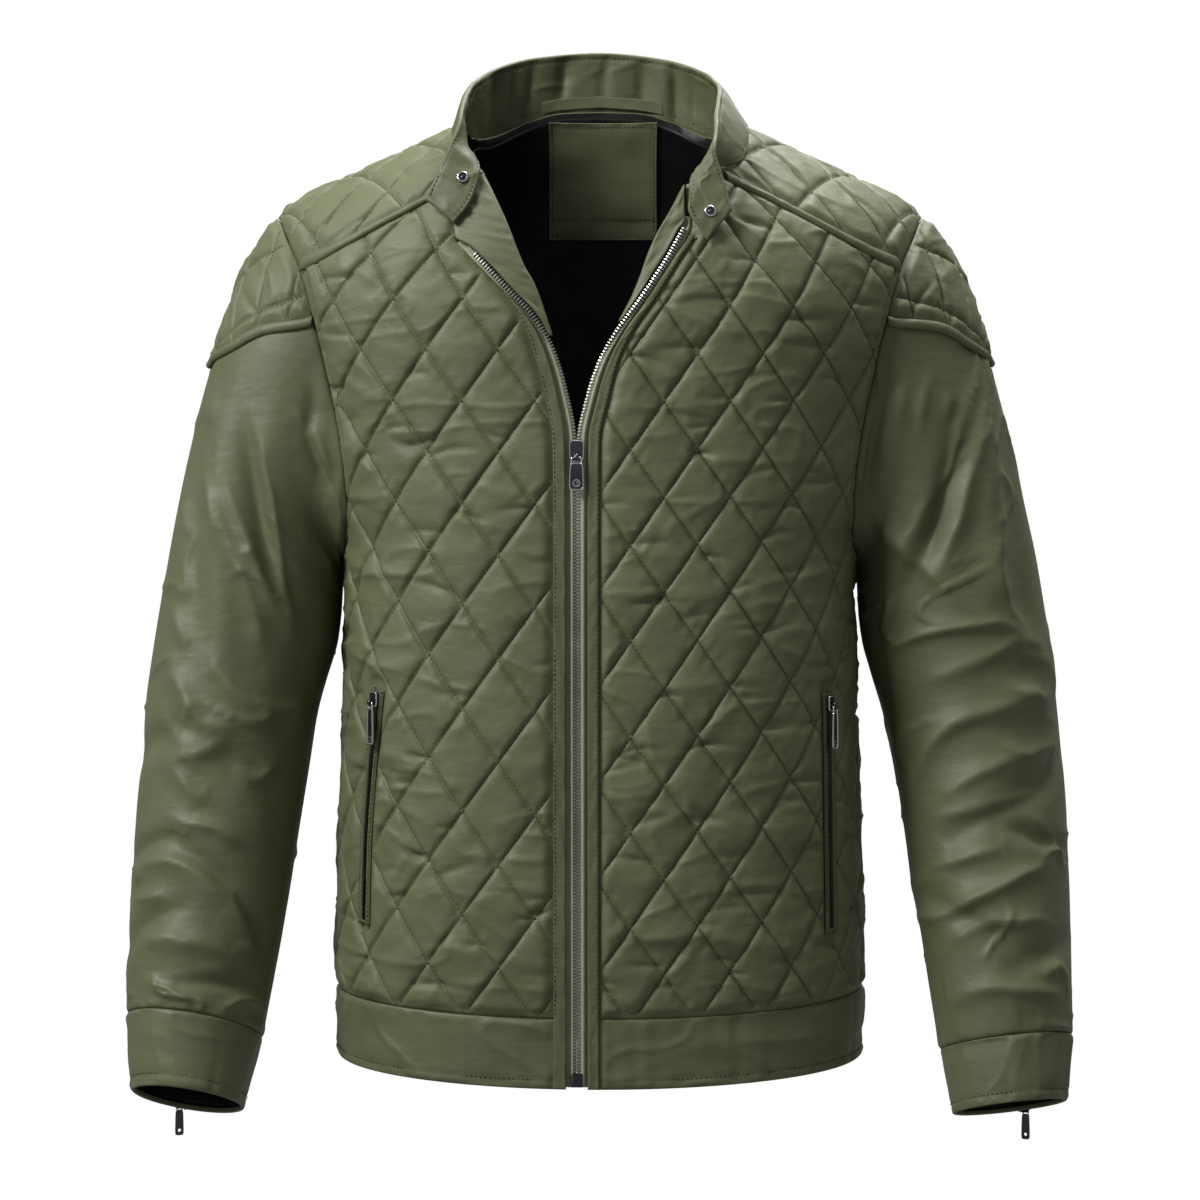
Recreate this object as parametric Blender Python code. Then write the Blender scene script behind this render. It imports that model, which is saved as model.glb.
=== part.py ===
"""Quilted zip jacket, filled out and empty, modelled piece by piece as it is cut and sewn.

Metres, +Z up, the wearer faces -Y.  "right" and "left" are the wearer's, so the right side is -X.
The origin is level with the sides of the neck, in the middle of the body.  Tables are in millimetres.
"""
import math

import bmesh
import bpy
import numpy as np
from mathutils import Matrix, Vector
from mathutils.geometry import delaunay_2d_cdt

for leftover in list(bpy.data.objects):
    bpy.data.objects.remove(leftover)

MM = 0.001
NAME = "quilted_jacket"

# ---------------------------------------------------------------- driving dimensions
SEAM_GAP = 0.3 * MM          # between two pieces that are sewn together
WALL = 2.5 * MM              # padded cloth, stitched flat
COLLAR_WALL = 3.6 * MM
LINING_WALL = 1.0 * MM
PUFF = 3.8 * MM              # rise of a quilted diamond over its stitch lines
PUFF_EXPONENT = 0.35         # below 1 the diamonds are flat on top and steep at the stitches
SEAM_FLAT = 3.2 * MM         # margin beside a seam that stays flat
SEAM_RAMP = 9.0 * MM         # over which the puff then reaches its full height

ROLL_START = -160 * MM       # height where the chest begins to roll over the shoulder
HEM_SIDE = -665 * MM         # lower edge at the side seams
HEM_CENTRE = -676 * MM       # lower edge at the centre front and back
HEM_BAND = 49 * MM
ROUNDNESS = 2.5              # exponent of the body's cross-section: 2 is an ellipse
YOKE_SEAM_SAMPLE = 4         # armhole sample where the yoke seams end
HEAD_SEAM_SAMPLE = 6         # armhole sample where the sleeve head ends
ARMHOLE_SAMPLES = 32
CHORD = 17 * MM              # longest straight run along a seam
YOKE_CHORD = 9 * MM          # the same where the yoke meets the fronts

# z, half_width, front_depth, back_depth
BODY_SECTIONS = (
    (-676, 188.5, 121, 113),
    (-630, 189.0, 123, 114),
    (-586, 188.0, 126, 114),
    (-528, 186.5, 129, 114),
    (-455, 184.0, 132, 115),
    (-411, 182.8, 134, 117),
    (-367, 182.3, 135, 120),
    (-330, 181.0, 136, 123),
    (-301, 182.0, 136, 125),
    (-275, 190.0, 136, 126),
    (-242, 198.5, 136, 127),
    (-208, 205.0, 136, 127),
    (-176, 213.0, 136, 126),
    (-150, 220.5, 136, 125),
    (-128, 228.0, 136, 125),
    (-102, 236.0, 136, 125),
    (-79, 244.0, 136, 125),
    (-56, 250.0, 136, 125),
)
# distance from the centre, ridge_z
SHOULDER_RIDGE = (
    (0, 85), (30, 80), (55, 68), (79, 38), (92, 16), (101, 4.5),
    (120, -4.5), (146, -16.8), (190, -37), (220, -51.5), (234, -59.5), (252, -71),
)
# distance from the centre, z on the front; the back has the same outline
ARMHOLE = (
    (234.5, -59.8), (230, -66), (224, -79), (213, -102), (205, -128), (199, -150), (193, -176),
    (186, -208), (180.5, -242), (178, -272), (179, -292), (182, -301),
)
# distance from the centre, z on the front
YOKE_FRONT_SEAM = ((80, -41.5), (100, -50), (122, -60.5), (146, -73), (170, -85), (193, -95.5), (212, -104))
# distance from the centre, z on the back
YOKE_BACK_SEAM = ((0, -88), (60, -88), (120, -90), (170, -94), (212, -104))
# distance from the centre, z on the front, from the shoulder ridge forward
NECK_FRONT = ((101, 4.5), (99.5, -4), (95, -18), (88, -31), (80, -41.5))
# the same on to the left front's edge, which ends lower than the right one's
NECK_CORNER = ((80, -41.5), (68, -47), (59.5, -51))
# distance from the centre, z on the back, from the middle out
NECK_BACK = ((0, 31), (30, 29.5), (55, 22), (75, 12), (88, 6), (97, 4), (101, 4.5))

# z, x of the quilted front's free edge: under the collar's foot, beside the teeth, beside the closed zip
FRONT_EDGE = {
    "right": ((-41.5, -80.2), (-48, -82.5), (-64, -87.5), (-80, -99), (-90, -99.3), (-98, -92.5),
              (-121.6, -70), (-145.5, -48.5), (-165.4, -38.5), (-194.8, -30), (-228.4, -24.3),
              (-300, -23.5), (-450, -23.5), (-676, -23.5)),
    "left": ((-51, 59.5), (-66, 59.8), (-78, 63.5), (-86, 62), (-99.3, 53.5), (-131.5, 33),
             (-155.1, 16.2), (-177, 5.0), (-203, -2.6), (-228.4, -7.8), (-300, -8.5), (-450, -8.5),
             (-676, -8.5)),
}
# z, x of the middle of each row of the zip's teeth
TEETH_LINE = {
    "right": ((-97.5, -87.6), (-121.6, -66), (-145.5, -44), (-165.4, -33), (-194.8, -24), (-228.4, -17.9),
              (-245, -17.6), (-676, -17.6)),
    "left": ((-81.3, 58.5), (-99.3, 49), (-131.5, 28.5), (-155.1, 11.4), (-177, -0.7), (-203, -9),
             (-228.4, -14.1), (-245, -14.4), (-676, -14.4)),
}
# z, x of the roll line (the edge of the neck opening) and of the lapel's outer edge beside the teeth
LAPEL = {
    "right": ((-44, -79.3, -79.9), (-50, -76.5, -82), (-64, -70, -86), (-80, -63, -97), (-88, -60, -94),
              (-96, -57, -84.6), (-108, -52, -75), (-121.6, -44.5, -62.8), (-145.5, -36, -41.0),
              (-157, -32.4, -34.8)),
    "left": ((-52, 57, 57.8), (-60, 53, 57.8), (-70, 48, 58), (-77, 44, 58.5), (-83, 40.5, 54.2),
             (-99.3, 33, 45.6), (-115, 27.5, 35.8), (-131.5, 20.7, 25.2), (-147, 12.4, 14.2)),
}
WELT_WIDTH = {
    # z, width of the plain welt beside the teeth
    "right": ((-128, 2.5), (-150, 5.5), (-175, 8.0), (-676, 8.4)),
    "left": ((-88, 4.0), (-131, 4.6), (-160, 5.5), (-200, 7.6), (-676, 7.8)),
}
LAPEL_LIFT = {"right": 3.4, "left": 2.6}     # how far the turned edge stands off the chest
LAPEL_RISE = (-178, -128)                    # heights between which the edge turns out
ZIP_BOTTOM = -664 * MM
TEETH_WIDTH = 2.9 * MM
ZIP_X = -16 * MM

# quilting: middle of one crossing and the full width and height of a diamond
# panel: s, t, width, height
QUILT = {
    "front_right": (-44.6, 474, 50.7, 71.1),
    "front_left": (43.9, 474, 46.0, 65.8),
    "back": (0, 474, 50.0, 70.0),
    "yoke": (0, 12, 50.0, 66.0),
    "sleeve_head": (0, 14, 48.0, 58.0),
}

# outer_x, outer_z, inner_x, inner_z: distances of the outline from the middle plane, seen from the front
# centre_y, half_depth, tilt_deg: the ring's middle, half its size front to back, how far its front is lifted
SLEEVE_SECTIONS = {
    "right": (
        (234, -60, 182, -301, 0, 75, 0),
        (261, -108, 187, -309, 0, 74, 0),
        (284, -175, 188.5, -322, -2, 72, 0),
        (295, -221, 189, -333, -3, 70, 0),
        (304, -264, 189.5, -345, -4, 68, 0),
        (313, -313, 192, -367, -6, 66, 0),
        (320.5, -360, 198.5, -390, -9, 64, 2),
        (327, -410, 206, -419, -14, 62, 4),
        (330.5, -460, 213, -465, -20, 60, 8),
        (333, -504, 219, -507, -28, 58, 12),
        (334.5, -539, 223.5, -540.5, -36, 55, 15),
        (334.5, -574, 229.5, -579, -46, 52, 18),
        (334.5, -612, 236, -619, -56, 48, 19),
        (333.5, -633, 241, -647, -62, 45.5, 20),
        (328.5, -685, 252.5, -695.5, -75, 41, 20),
    ),
    "left": (
        (234, -60, 182, -301, 0, 75, 0),
        (263, -105, 187, -309, 0, 74, 0),
        (285, -175, 188.5, -322, -2, 72, 0),
        (296, -218, 189, -333, -3, 70, 0),
        (307, -266, 189.5, -345, -4, 68, 0),
        (318, -318, 192, -367, -6, 66, 0),
        (324, -361, 198, -390, -9, 64, 2),
        (329.5, -418, 208, -425, -14, 62, 4),
        (333.5, -465, 216, -467, -20, 60, 7),
        (334.5, -507, 221.5, -507, -28, 58, 10),
        (335.5, -539, 225.5, -542, -35, 55, 12),
        (334.5, -574, 231, -575, -44, 52, 14),
        (334.5, -615, 236, -613, -54, 48, 15),
        (333.5, -647, 243, -656.5, -61, 45.5, 15),
        (328, -692, 250.5, -700.5, -72, 41, 15),
    ),
}
CUFF_ROW = 13                # sleeve section where the cuff is sewn on
RIM_ROW = 14
ARMHOLE_BLEND = 1.6          # sections over which the sleeve leaves the armhole's outline

# share of a turn from the top of the sleeve, distance down from the armhole
HEAD_SEAM = ((0.0, 118), (0.03, 117), (0.06, 105), (0.09, 92), (0.12, 74), (0.15, 42), (0.1875, 0))

# collar stations from the right front end round the back to the left front end
# foot_x, foot_z on the front (-1), ridge (0) or back (1) of the body; lift off it; top_x, top_y, top_z
COLLAR_STATIONS = (
    (-98, -81, -1, 8.0, -121, -115, -61),
    (-85, -64, -1, 8.0, -113, -113, -43),
    (-80, -43, -1, 7.0, -106, -112, -27),
    (-91.5, -25, -1, 5.0, -97.5, -100, -1),
    (-98.5, -7, -1, 4.0, -96, -64, 17),
    (-101, 4.5, 0, 4.0, -93, -8, 37),
    (-88, 6, 1, 4.0, -85, 40, 53),
    (-55, 22, 1, 4.0, -54, 67, 69),
    (0, 31, 1, 4.0, 0, 75, 75),
    (55, 22, 1, 4.0, 52, 67, 68),
    (88, 6, 1, 4.0, 82, 40, 51),
    (101, 4.5, 0, 4.0, 86, -8, 36),
    (98.5, -7, -1, 4.0, 83, -64, 16),
    (92, -26, -1, 5.5, 80, -101, -4),
    (64, -48, -1, 8.0, 80, -121, -27),
    (59, -70, -1, 8.0, 85, -124, -47),
    (72, -93, -1, 8.0, 91, -128, -70),
)
COLLAR_TUCKS = 9             # gathers along the nape
COLLAR_TUCK_DEPTH = 1.3 * MM

# pocket: z, x of the zip's line
POCKET_LINE = {
    "right": ((-400, -153.5), (-439, -157.5), (-466, -160), (-509, -163), (-566, -164.5)),
    "left": ((-403, 158), (-440, 159), (-509, 160), (-572, 161)),
}
POCKET_WELT_HALF = 5.6 * MM
MAIN_AXIS_Z = -241 * MM      # height of the main pull's axis
ZIP_BOX = (8.4 * MM, 3.2 * MM, 9.5 * MM)
CUFF_AXIS_SECTION = {"right": 13.93, "left": 13.95}
CUFF_ZIP_TURN = {"right": -0.207, "left": -0.19}      # place of the cuff's zip round the sleeve
# place of each snap on the collar: share along it from the right end, share up it
SNAP_PLACE = {"right": (0.09, 0.38), "left": (0.972, 0.42)}

# blank patch inside the back of the neck
PATCH_SIZE = (84 * MM, 86 * MM)
PATCH_MIDDLE = 2.5 * MM
PATCH_TOP = 25 * MM
PATCH_WALL = 1.2 * MM


# ---------------------------------------------------------------- reading tables
def knot_slopes(knots, values):
    """Slopes at the knots that bend smoothly and never overshoot a value."""
    steps = np.diff(values) / np.diff(knots)
    before, after = steps[:-1], steps[1:]
    same_way = before * after > 0
    total = np.where(same_way, before + after, 1.0)
    middle = np.where(same_way, 2 * before * after / total, 0.0)
    return np.concatenate([steps[:1], middle, steps[-1:]])


def read(table, column, at):
    """One column of a table against its first column, as a smooth curve, in the table's units."""
    rows = sorted(table, key=lambda row: row[0])
    knots = np.array([row[0] for row in rows], float)
    values = np.array([row[column] for row in rows], float)
    slopes = knot_slopes(knots, values)
    at = np.clip(np.asarray(at, float), knots[0], knots[-1])
    i = np.clip(np.searchsorted(knots, at) - 1, 0, len(knots) - 2)
    span = knots[i + 1] - knots[i]
    u = (at - knots[i]) / span
    first = (1 + 2 * u) * (1 - u) ** 2 * values[i] + u * (1 - u) ** 2 * span * slopes[i]
    second = u ** 2 * (3 - 2 * u) * values[i + 1] + u ** 2 * (u - 1) * span * slopes[i + 1]
    return first + second


def smoothstep(low, high, value):
    """0 below low, 1 above high and a smooth rise between them."""
    u = np.clip((value - low) / (high - low), 0, 1)
    return u * u * (3 - 2 * u)


def sign_of(side):
    """The side's direction along X."""
    return -1.0 if side == "right" else 1.0


# ---------------------------------------------------------------- the body's surface
FRONT, BACK = -1.0, 1.0


def shoulder_z(x):
    """Height of the shoulder ridge at a distance from the centre."""
    return read(SHOULDER_RIDGE, 1, np.abs(x) / MM) * MM


def superellipse_reach(angle):
    """Distance of the body's cross-section from its middle, for half sizes of 1."""
    return (np.abs(np.sin(angle)) ** ROUNDNESS + np.abs(np.cos(angle)) ** ROUNDNESS) ** (-1 / ROUNDNESS)


def hem_z(angle):
    """Height of the lower edge, round from the centre line to the side seam."""
    return HEM_SIDE + (HEM_CENTRE - HEM_SIDE) * np.cos(angle) ** 2


def torso_point(angle, row, face):
    """A point on the body: angle from the centre line to the side seam, row 0 the hem,
    1 where the shoulder starts to roll over, 2 the shoulder ridge; face is FRONT or BACK."""
    angle, row, face = np.broadcast_arrays(np.asarray(angle, float), row, face)
    roll = np.clip(row - 1, 0, 1) * math.pi / 2
    upright_z = hem_z(angle) + (ROLL_START - hem_z(angle)) * np.clip(row, 0, 1)
    across = np.sin(angle) * superellipse_reach(angle)
    z = upright_z
    for _ in range(16):
        x = read(BODY_SECTIONS, 1, z / MM) * MM * across
        z = np.where(roll > 0, ROLL_START + (shoulder_z(x) - ROLL_START) * np.sin(roll), upright_z)
    x = read(BODY_SECTIONS, 1, z / MM) * MM * across
    front, back = (read(BODY_SECTIONS, column, upright_z / MM) * MM for column in (2, 3))
    depth = np.where(face < 0, front, back)
    y = face * depth * np.cos(roll) * np.cos(angle) * superellipse_reach(angle)
    return np.stack([x, y, z], axis=-1)


def torso_at(x, z):
    """The angle and row of the body's surface at a place seen from the front or the back."""
    x, z = np.asarray(x, float), np.asarray(z, float)
    across = np.clip(x / (read(BODY_SECTIONS, 1, z / MM) * MM), -1, 1)
    along = (1 - np.abs(across) ** ROUNDNESS) ** (1 / ROUNDNESS)
    angle = np.arctan2(across, along)
    lift = np.clip((z - ROLL_START) / (shoulder_z(x) - ROLL_START), 0, 1)
    upright = (z - hem_z(angle)) / (ROLL_START - hem_z(angle))
    row = np.where(z > ROLL_START, 1 + np.arcsin(lift) * 2 / math.pi, upright)
    return angle, row


def over_shoulder(angle, row):
    """The body's surface with one row that runs up the front (-1 to 0) and down the back (0 to 1)."""
    return torso_point(angle, 2 - np.abs(row), np.where(np.asarray(row) < 0, FRONT, BACK))


# ---------------------------------------------------------------- charts
class Chart:
    """A stretch of cloth with s measured across it and t along it, in metres on its surface."""

    def __init__(self, surface, a_range, b_range, a_zero, b_zero, steps=(161, 161), outward=1.0):
        self.surface = surface
        self.a = np.linspace(*a_range, steps[0])
        self.b = np.linspace(*b_range, steps[1])
        self.outward = outward
        points = surface(*np.meshgrid(self.a, self.b, indexing="ij"))
        self.s = self.lengths(points, 0, np.abs(self.a - a_zero).argmin())
        self.t = self.lengths(points, 1, np.abs(self.b - b_zero).argmin())

    @staticmethod
    def lengths(points, axis, zero):
        steps = np.linalg.norm(np.diff(points, axis=axis), axis=-1)
        start = np.zeros_like(np.take(steps, [0], axis=axis))
        total = np.concatenate([start, np.cumsum(steps, axis=axis)], axis=axis)
        return total - np.take(total, [zero], axis=axis)

    def lookup(self, table, a, b):
        """Value and slopes of a table at (a, b)."""
        u = np.clip((a - self.a[0]) / (self.a[1] - self.a[0]), 0, len(self.a) - 1.000001)
        v = np.clip((b - self.b[0]) / (self.b[1] - self.b[0]), 0, len(self.b) - 1.000001)
        i, j = u.astype(int), v.astype(int)
        u, v = u - i, v - j
        low = table[i, j] * (1 - v) + table[i, j + 1] * v
        high = table[i + 1, j] * (1 - v) + table[i + 1, j + 1] * v
        near = table[i, j] * (1 - u) + table[i + 1, j] * u
        far = table[i, j + 1] * (1 - u) + table[i + 1, j + 1] * u
        slope_a = (high - low) / (self.a[1] - self.a[0])
        slope_b = (far - near) / (self.b[1] - self.b[0])
        return low * (1 - u) + high * u, slope_a, slope_b

    def flat(self, a, b):
        """Where the surface's own (a, b) lies on the flat cloth."""
        a, b = np.asarray(a, float), np.asarray(b, float)
        return np.stack([self.lookup(self.s, a, b)[0], self.lookup(self.t, a, b)[0]], axis=-1)

    def locate(self, flat):
        """The surface's (a, b) of points on the flat cloth."""
        flat = np.asarray(flat, float)
        a = np.full(flat.shape[:-1], (self.a[0] + self.a[-1]) / 2)
        b = np.full(flat.shape[:-1], (self.b[0] + self.b[-1]) / 2)
        for _ in range(40):
            s, s_a, _ = self.lookup(self.s, a, b)
            a = np.clip(a + (flat[..., 0] - s) / np.maximum(s_a, 1e-6), self.a[0], self.a[-1])
            t, _, t_b = self.lookup(self.t, a, b)
            b = np.clip(b + (flat[..., 1] - t) / np.maximum(t_b, 1e-6), self.b[0], self.b[-1])
        return a, b

    def normals(self, a, b):
        step_a = (self.a[-1] - self.a[0]) * 1e-3
        step_b = (self.b[-1] - self.b[0]) * 1e-3
        low_a, high_a = np.maximum(a - step_a, self.a[0]), np.minimum(a + step_a, self.a[-1])
        low_b, high_b = np.maximum(b - step_b, self.b[0]), np.minimum(b + step_b, self.b[-1])
        along_a = self.surface(high_a, b) - self.surface(low_a, b)
        along_b = self.surface(a, high_b) - self.surface(a, low_b)
        normal = np.cross(along_a, along_b) * self.outward
        return normal / np.linalg.norm(normal, axis=-1, keepdims=True)

    def place(self, flat, lift=0.0):
        """Points of the flat cloth in space, moved out by lift."""
        a, b = self.locate(flat)
        return self.surface(a, b) + self.normals(a, b) * np.asarray(lift, float)[..., None]


# ---------------------------------------------------------------- seams, as curves on the body
def resample(points, spacing):
    """The same curve with evenly spaced points no further apart than spacing."""
    points = np.asarray(points, float)
    run = np.concatenate([[0], np.cumsum(np.linalg.norm(np.diff(points, axis=0), axis=1))])
    count = max(1, math.ceil(run[-1] / spacing))
    at = np.linspace(0, run[-1], count + 1)
    return np.stack([np.interp(at, run, points[:, k]) for k in range(points.shape[1])], axis=1)


def armhole_xz(share):
    """Distance from the centre and height on the armhole, share 0 at the shoulder to 1 at the armpit."""
    fine = np.linspace(0, 1, 400)
    knots = np.linspace(0, 1, len(ARMHOLE))
    table = [(k, *row) for k, row in zip(knots, ARMHOLE)]
    x, z = read(table, 1, fine) * MM, read(table, 2, fine) * MM
    points = torso_point(*torso_at(x, z), FRONT)
    run = np.concatenate([[0], np.cumsum(np.linalg.norm(np.diff(points, axis=0), axis=1))])
    at = np.interp(share, run / run[-1], fine)
    return read(table, 1, at) * MM, read(table, 2, at) * MM


def armhole_share(turn):
    """Share of the way to the armpit for a share of a whole turn that starts at the shoulder."""
    return 1 - np.abs(1 - 2 * (np.asarray(turn, float) % 1.0))


def armhole_point(side, turn):
    """The armhole as a closed curve: turn 0 the shoulder, 0.25 the front, 0.5 the armpit, 0.75 the back."""
    turn = np.asarray(turn, float) % 1.0
    x, z = armhole_xz(armhole_share(turn))
    angle, row = torso_at(x * sign_of(side), z)
    return torso_point(angle, row, np.where(turn <= 0.5, FRONT, BACK))


def table_curve(table, spacing, sign=1.0):
    """A seam given as distance from the centre and height, as x and z."""
    knots = np.linspace(0, 1, len(table))
    keyed = [(k, row[0], row[1]) for k, row in zip(knots, table)]
    fine = np.linspace(0, 1, 120)
    points = np.stack([read(keyed, 1, fine) * MM * sign, read(keyed, 2, fine) * MM], axis=1)
    return resample(points, spacing)


def armhole_curve(first, last, sign):
    """x and z of the armhole samples from one to the other."""
    step = 1 if last > first else -1
    samples = np.arange(first, last + step, step) * 2 / ARMHOLE_SAMPLES
    x, z = armhole_xz(samples)
    return np.stack([x * sign, z], axis=1)


YOKE_END_SHARE = YOKE_SEAM_SAMPLE * 2 / ARMHOLE_SAMPLES
YOKE_END = [float(value) / MM for value in armhole_xz(YOKE_END_SHARE)]
YOKE_FRONT_SEAM = YOKE_FRONT_SEAM[:-1] + (tuple(YOKE_END),)
YOKE_BACK_SEAM = YOKE_BACK_SEAM[:-1] + (tuple(YOKE_END),)
ARMPIT_SAMPLE = ARMHOLE_SAMPLES // 2


# ---------------------------------------------------------------- flat outlines
def join(*curves, merge=1.0 * MM):
    """Curves end to end as one closed outline."""
    points = []
    for curve in curves:
        for point in curve:
            if not points or np.linalg.norm(np.subtract(point, points[-1])) > merge:
                points.append(np.asarray(point, float))
    if np.linalg.norm(points[0] - points[-1]) < merge:
        points.pop()
    return np.array(points)


def signed_area(outline):
    """Area of a closed outline, above 0 where it runs anticlockwise."""
    x, y = outline[:, 0], outline[:, 1]
    return 0.5 * float(np.sum(x * np.roll(y, -1) - np.roll(x, -1) * y))


def inset(outline, distance):
    """The outline moved inward by a distance, each corner mitred."""
    if signed_area(outline) < 0:
        outline = outline[::-1]
    before = outline - np.roll(outline, 1, axis=0)
    after = np.roll(outline, -1, axis=0) - outline
    left = [np.stack([-edge[:, 1], edge[:, 0]], axis=1) / np.linalg.norm(edge, axis=1, keepdims=True)
            for edge in (before, after)]
    cosine = np.sum(left[0] * left[1], axis=1, keepdims=True)
    return outline + (left[0] + left[1]) / np.maximum(1 + cosine, 0.12) * distance


def inside(outline, points):
    """Which of the points lie inside the outline."""
    x, y = points[:, 0][:, None], points[:, 1][:, None]
    x0, y0 = outline[:, 0][None], outline[:, 1][None]
    x1, y1 = np.roll(x0, -1, axis=1), np.roll(y0, -1, axis=1)
    spans = (y0 > y) != (y1 > y)
    rise = np.where(y1 == y0, 1e-12, y1 - y0)
    crossings = spans & (x < (x1 - x0) * (y - y0) / rise + x0)
    return crossings.sum(axis=1) % 2 == 1


def distance_to(outline, points, closed=True):
    """Distance of each point from a polyline."""
    start = outline if closed else outline[:-1]
    end = np.roll(outline, -1, axis=0) if closed else outline[1:]
    edge = end - start
    offset = points[:, None, :] - start[None]
    share = np.clip((offset * edge[None]).sum(-1) / np.maximum((edge ** 2).sum(-1), 1e-12)[None], 0, 1)
    return np.linalg.norm(offset - share[..., None] * edge[None], axis=-1).min(axis=1)


# ---------------------------------------------------------------- quilting
def quilt_phase(flat, quilt):
    """Which stitch lines a point lies between: whole numbers on the two sets of diagonal lines."""
    s, t, width, height = (value * MM for value in quilt)
    across = (flat[..., 0] - s) / width
    along = (flat[..., 1] - t) / height
    return across + along, across - along


def quilt_place(rising, falling, quilt):
    """The point on the flat cloth where two stitch lines cross."""
    s, t, width, height = (value * MM for value in quilt)
    across = (np.asarray(rising, float) + falling) / 2
    along = (np.asarray(rising, float) - falling) / 2
    return np.stack([s + across * width, t + along * height], axis=-1)


def puff_height(flat, quilt, clearance):
    """Rise of the padding: full in the middle of a diamond, none on its stitches and near a seam."""
    rising, falling = quilt_phase(flat, quilt)
    pillow = np.abs(np.sin(math.pi * rising) * np.sin(math.pi * falling)) ** PUFF_EXPONENT
    return PUFF * pillow * smoothstep(SEAM_FLAT, SEAM_FLAT + SEAM_RAMP, clearance)


def quilt_points(outline, quilt):
    """Stitch crossings, and the two high points of each diamond, that lie inside an outline."""
    rising, falling = quilt_phase(outline, quilt)
    low = np.floor([rising.min(), falling.min()]).astype(int) - 1
    high = np.ceil([rising.max(), falling.max()]).astype(int) + 1
    grid = np.stack(np.meshgrid(np.arange(low[0], high[0]), np.arange(low[1], high[1]), indexing="ij"), -1)
    grid = grid.reshape(-1, 2)
    crossings = quilt_place(grid[:, 0], grid[:, 1], quilt)
    tops = np.concatenate([
        quilt_place(grid[:, 0] + 0.5 + reach, grid[:, 1] + 0.5 - reach, quilt) for reach in (-0.17, 0.17)])

    def kept(points, margin):
        points = points[inside(outline, points)]
        return points[distance_to(outline, points) > margin]

    return kept(crossings, 4 * MM), kept(tops, 6 * MM)


def stitch_runs(outline, quilt):
    """Where the stitch lines meet the outline: (line set, line number, point on the outline, edge number)."""
    phases = quilt_phase(outline, quilt)
    meets = []
    for family, phase in enumerate(phases):
        after = np.roll(phase, -1)
        for edge, (start, end) in enumerate(zip(phase, after)):
            for line in range(math.ceil(min(start, end)), math.floor(max(start, end)) + 1):
                if abs(end - start) < 1e-9:
                    continue
                share = (line - start) / (end - start)
                point = outline[edge] * (1 - share) + outline[(edge + 1) % len(outline)] * share
                meets.append((family, line, point, edge, share))
    return meets


def outline_with_stitches(outline, quilt, merge=3.0 * MM):
    """The outline with a point wherever a stitch line runs into it."""
    added = {}
    for _, _, point, edge, share in stitch_runs(outline, quilt):
        ends = (outline[edge], outline[(edge + 1) % len(outline)])
        near = min(np.linalg.norm(point - end) for end in ends)
        others = added.setdefault(edge, [])
        if near > merge and all(np.linalg.norm(point - other) > merge for _, other in others):
            others.append((share, point))
    points = []
    for edge, corner in enumerate(outline):
        points.append(corner)
        points.extend(point for _, point in sorted(added.get(edge, []), key=lambda item: item[0]))
    return np.array(points)


def crossing_pairs(crossings, quilt, steps):
    """Pairs of crossings that lie a given step apart, counted in stitch lines."""
    rising, falling = quilt_phase(crossings, quilt)
    where = {(round(a), round(b)): i for i, (a, b) in enumerate(zip(rising, falling))}
    pairs = []
    for (a, b), i in where.items():
        for across, along in steps:
            neighbour = (a + across, b + along)
            if neighbour in where:
                pairs.append((i, where[neighbour]))
    return pairs


STITCHES = ((1, 0), (0, 1))          # steps from a crossing along the two stitch lines
UPRIGHT = ((1, -1),)                 # and up the long way across a diamond


def keep_clear(points, lines, margin):
    """The points that are not close to any of the lines."""
    for line in lines:
        points = points[distance_to(line, points, False) > margin]
    return points


def clear_pairs(points, pairs, lines):
    """The pairs whose straight run stays off the lines."""
    shares = np.linspace(0, 1, 17)[:, None]
    kept = []
    for a, b in pairs:
        run = points[a] * (1 - shares) + points[b] * shares
        if len(keep_clear(run, lines, 2.5 * MM)) == len(run):
            kept.append((a, b))
    return kept


def line_edges(lines, first):
    """Pairs of neighbours along each line, when the lines' points are numbered on from first."""
    pairs = []
    for line in lines:
        pairs += [(first + i, first + i + 1) for i in range(len(line) - 1)]
        first += len(line)
    return pairs


def triangulate(outline, extra, edges=()):
    """Triangles over an outline and the points in it; the outline keeps its numbers, then come the others."""
    points = [Vector(p) for p in outline] + [Vector(p) for p in extra]
    shifted = [(a + len(outline), b + len(outline)) for a, b in edges]
    result = delaunay_2d_cdt(points, shifted, [list(range(len(outline)))], 1, 1e-7)
    original = [sources[0] for sources in result[3]]
    return [tuple(original[i] for i in face) for face in result[2]]


# ---------------------------------------------------------------- objects and materials
COLOURS = {
    # name: colour, roughness, metallic
    "shell_quilted": ((0.112, 0.135, 0.064), 0.55, 0.0),
    "shell_plain": ((0.100, 0.122, 0.058), 0.48, 0.0),
    "lining": ((0.006, 0.006, 0.008), 0.45, 0.0),
    "zip_tape": ((0.120, 0.130, 0.085), 0.80, 0.0),
    "zip_metal": ((0.110, 0.110, 0.120), 0.32, 1.0),
    "zip_teeth": ((0.260, 0.260, 0.250), 0.38, 1.0),
}


def material(node, finish):
    """A material of the node's own, with the finish's colour."""
    colour, roughness, metallic = COLOURS[finish]
    made = bpy.data.materials.new(node)
    made.use_nodes = True
    shader = made.node_tree.nodes["Principled BSDF"]
    shader.inputs["Base Color"].default_value = (*colour, 1)
    shader.inputs["Roughness"].default_value = roughness
    shader.inputs["Metallic"].default_value = metallic
    made.diffuse_color = (*colour, 1)
    return made


def collection(name):
    """A new collection in the scene."""
    made = bpy.data.collections.new(name)
    bpy.context.scene.collection.children.link(made)
    return made


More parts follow.
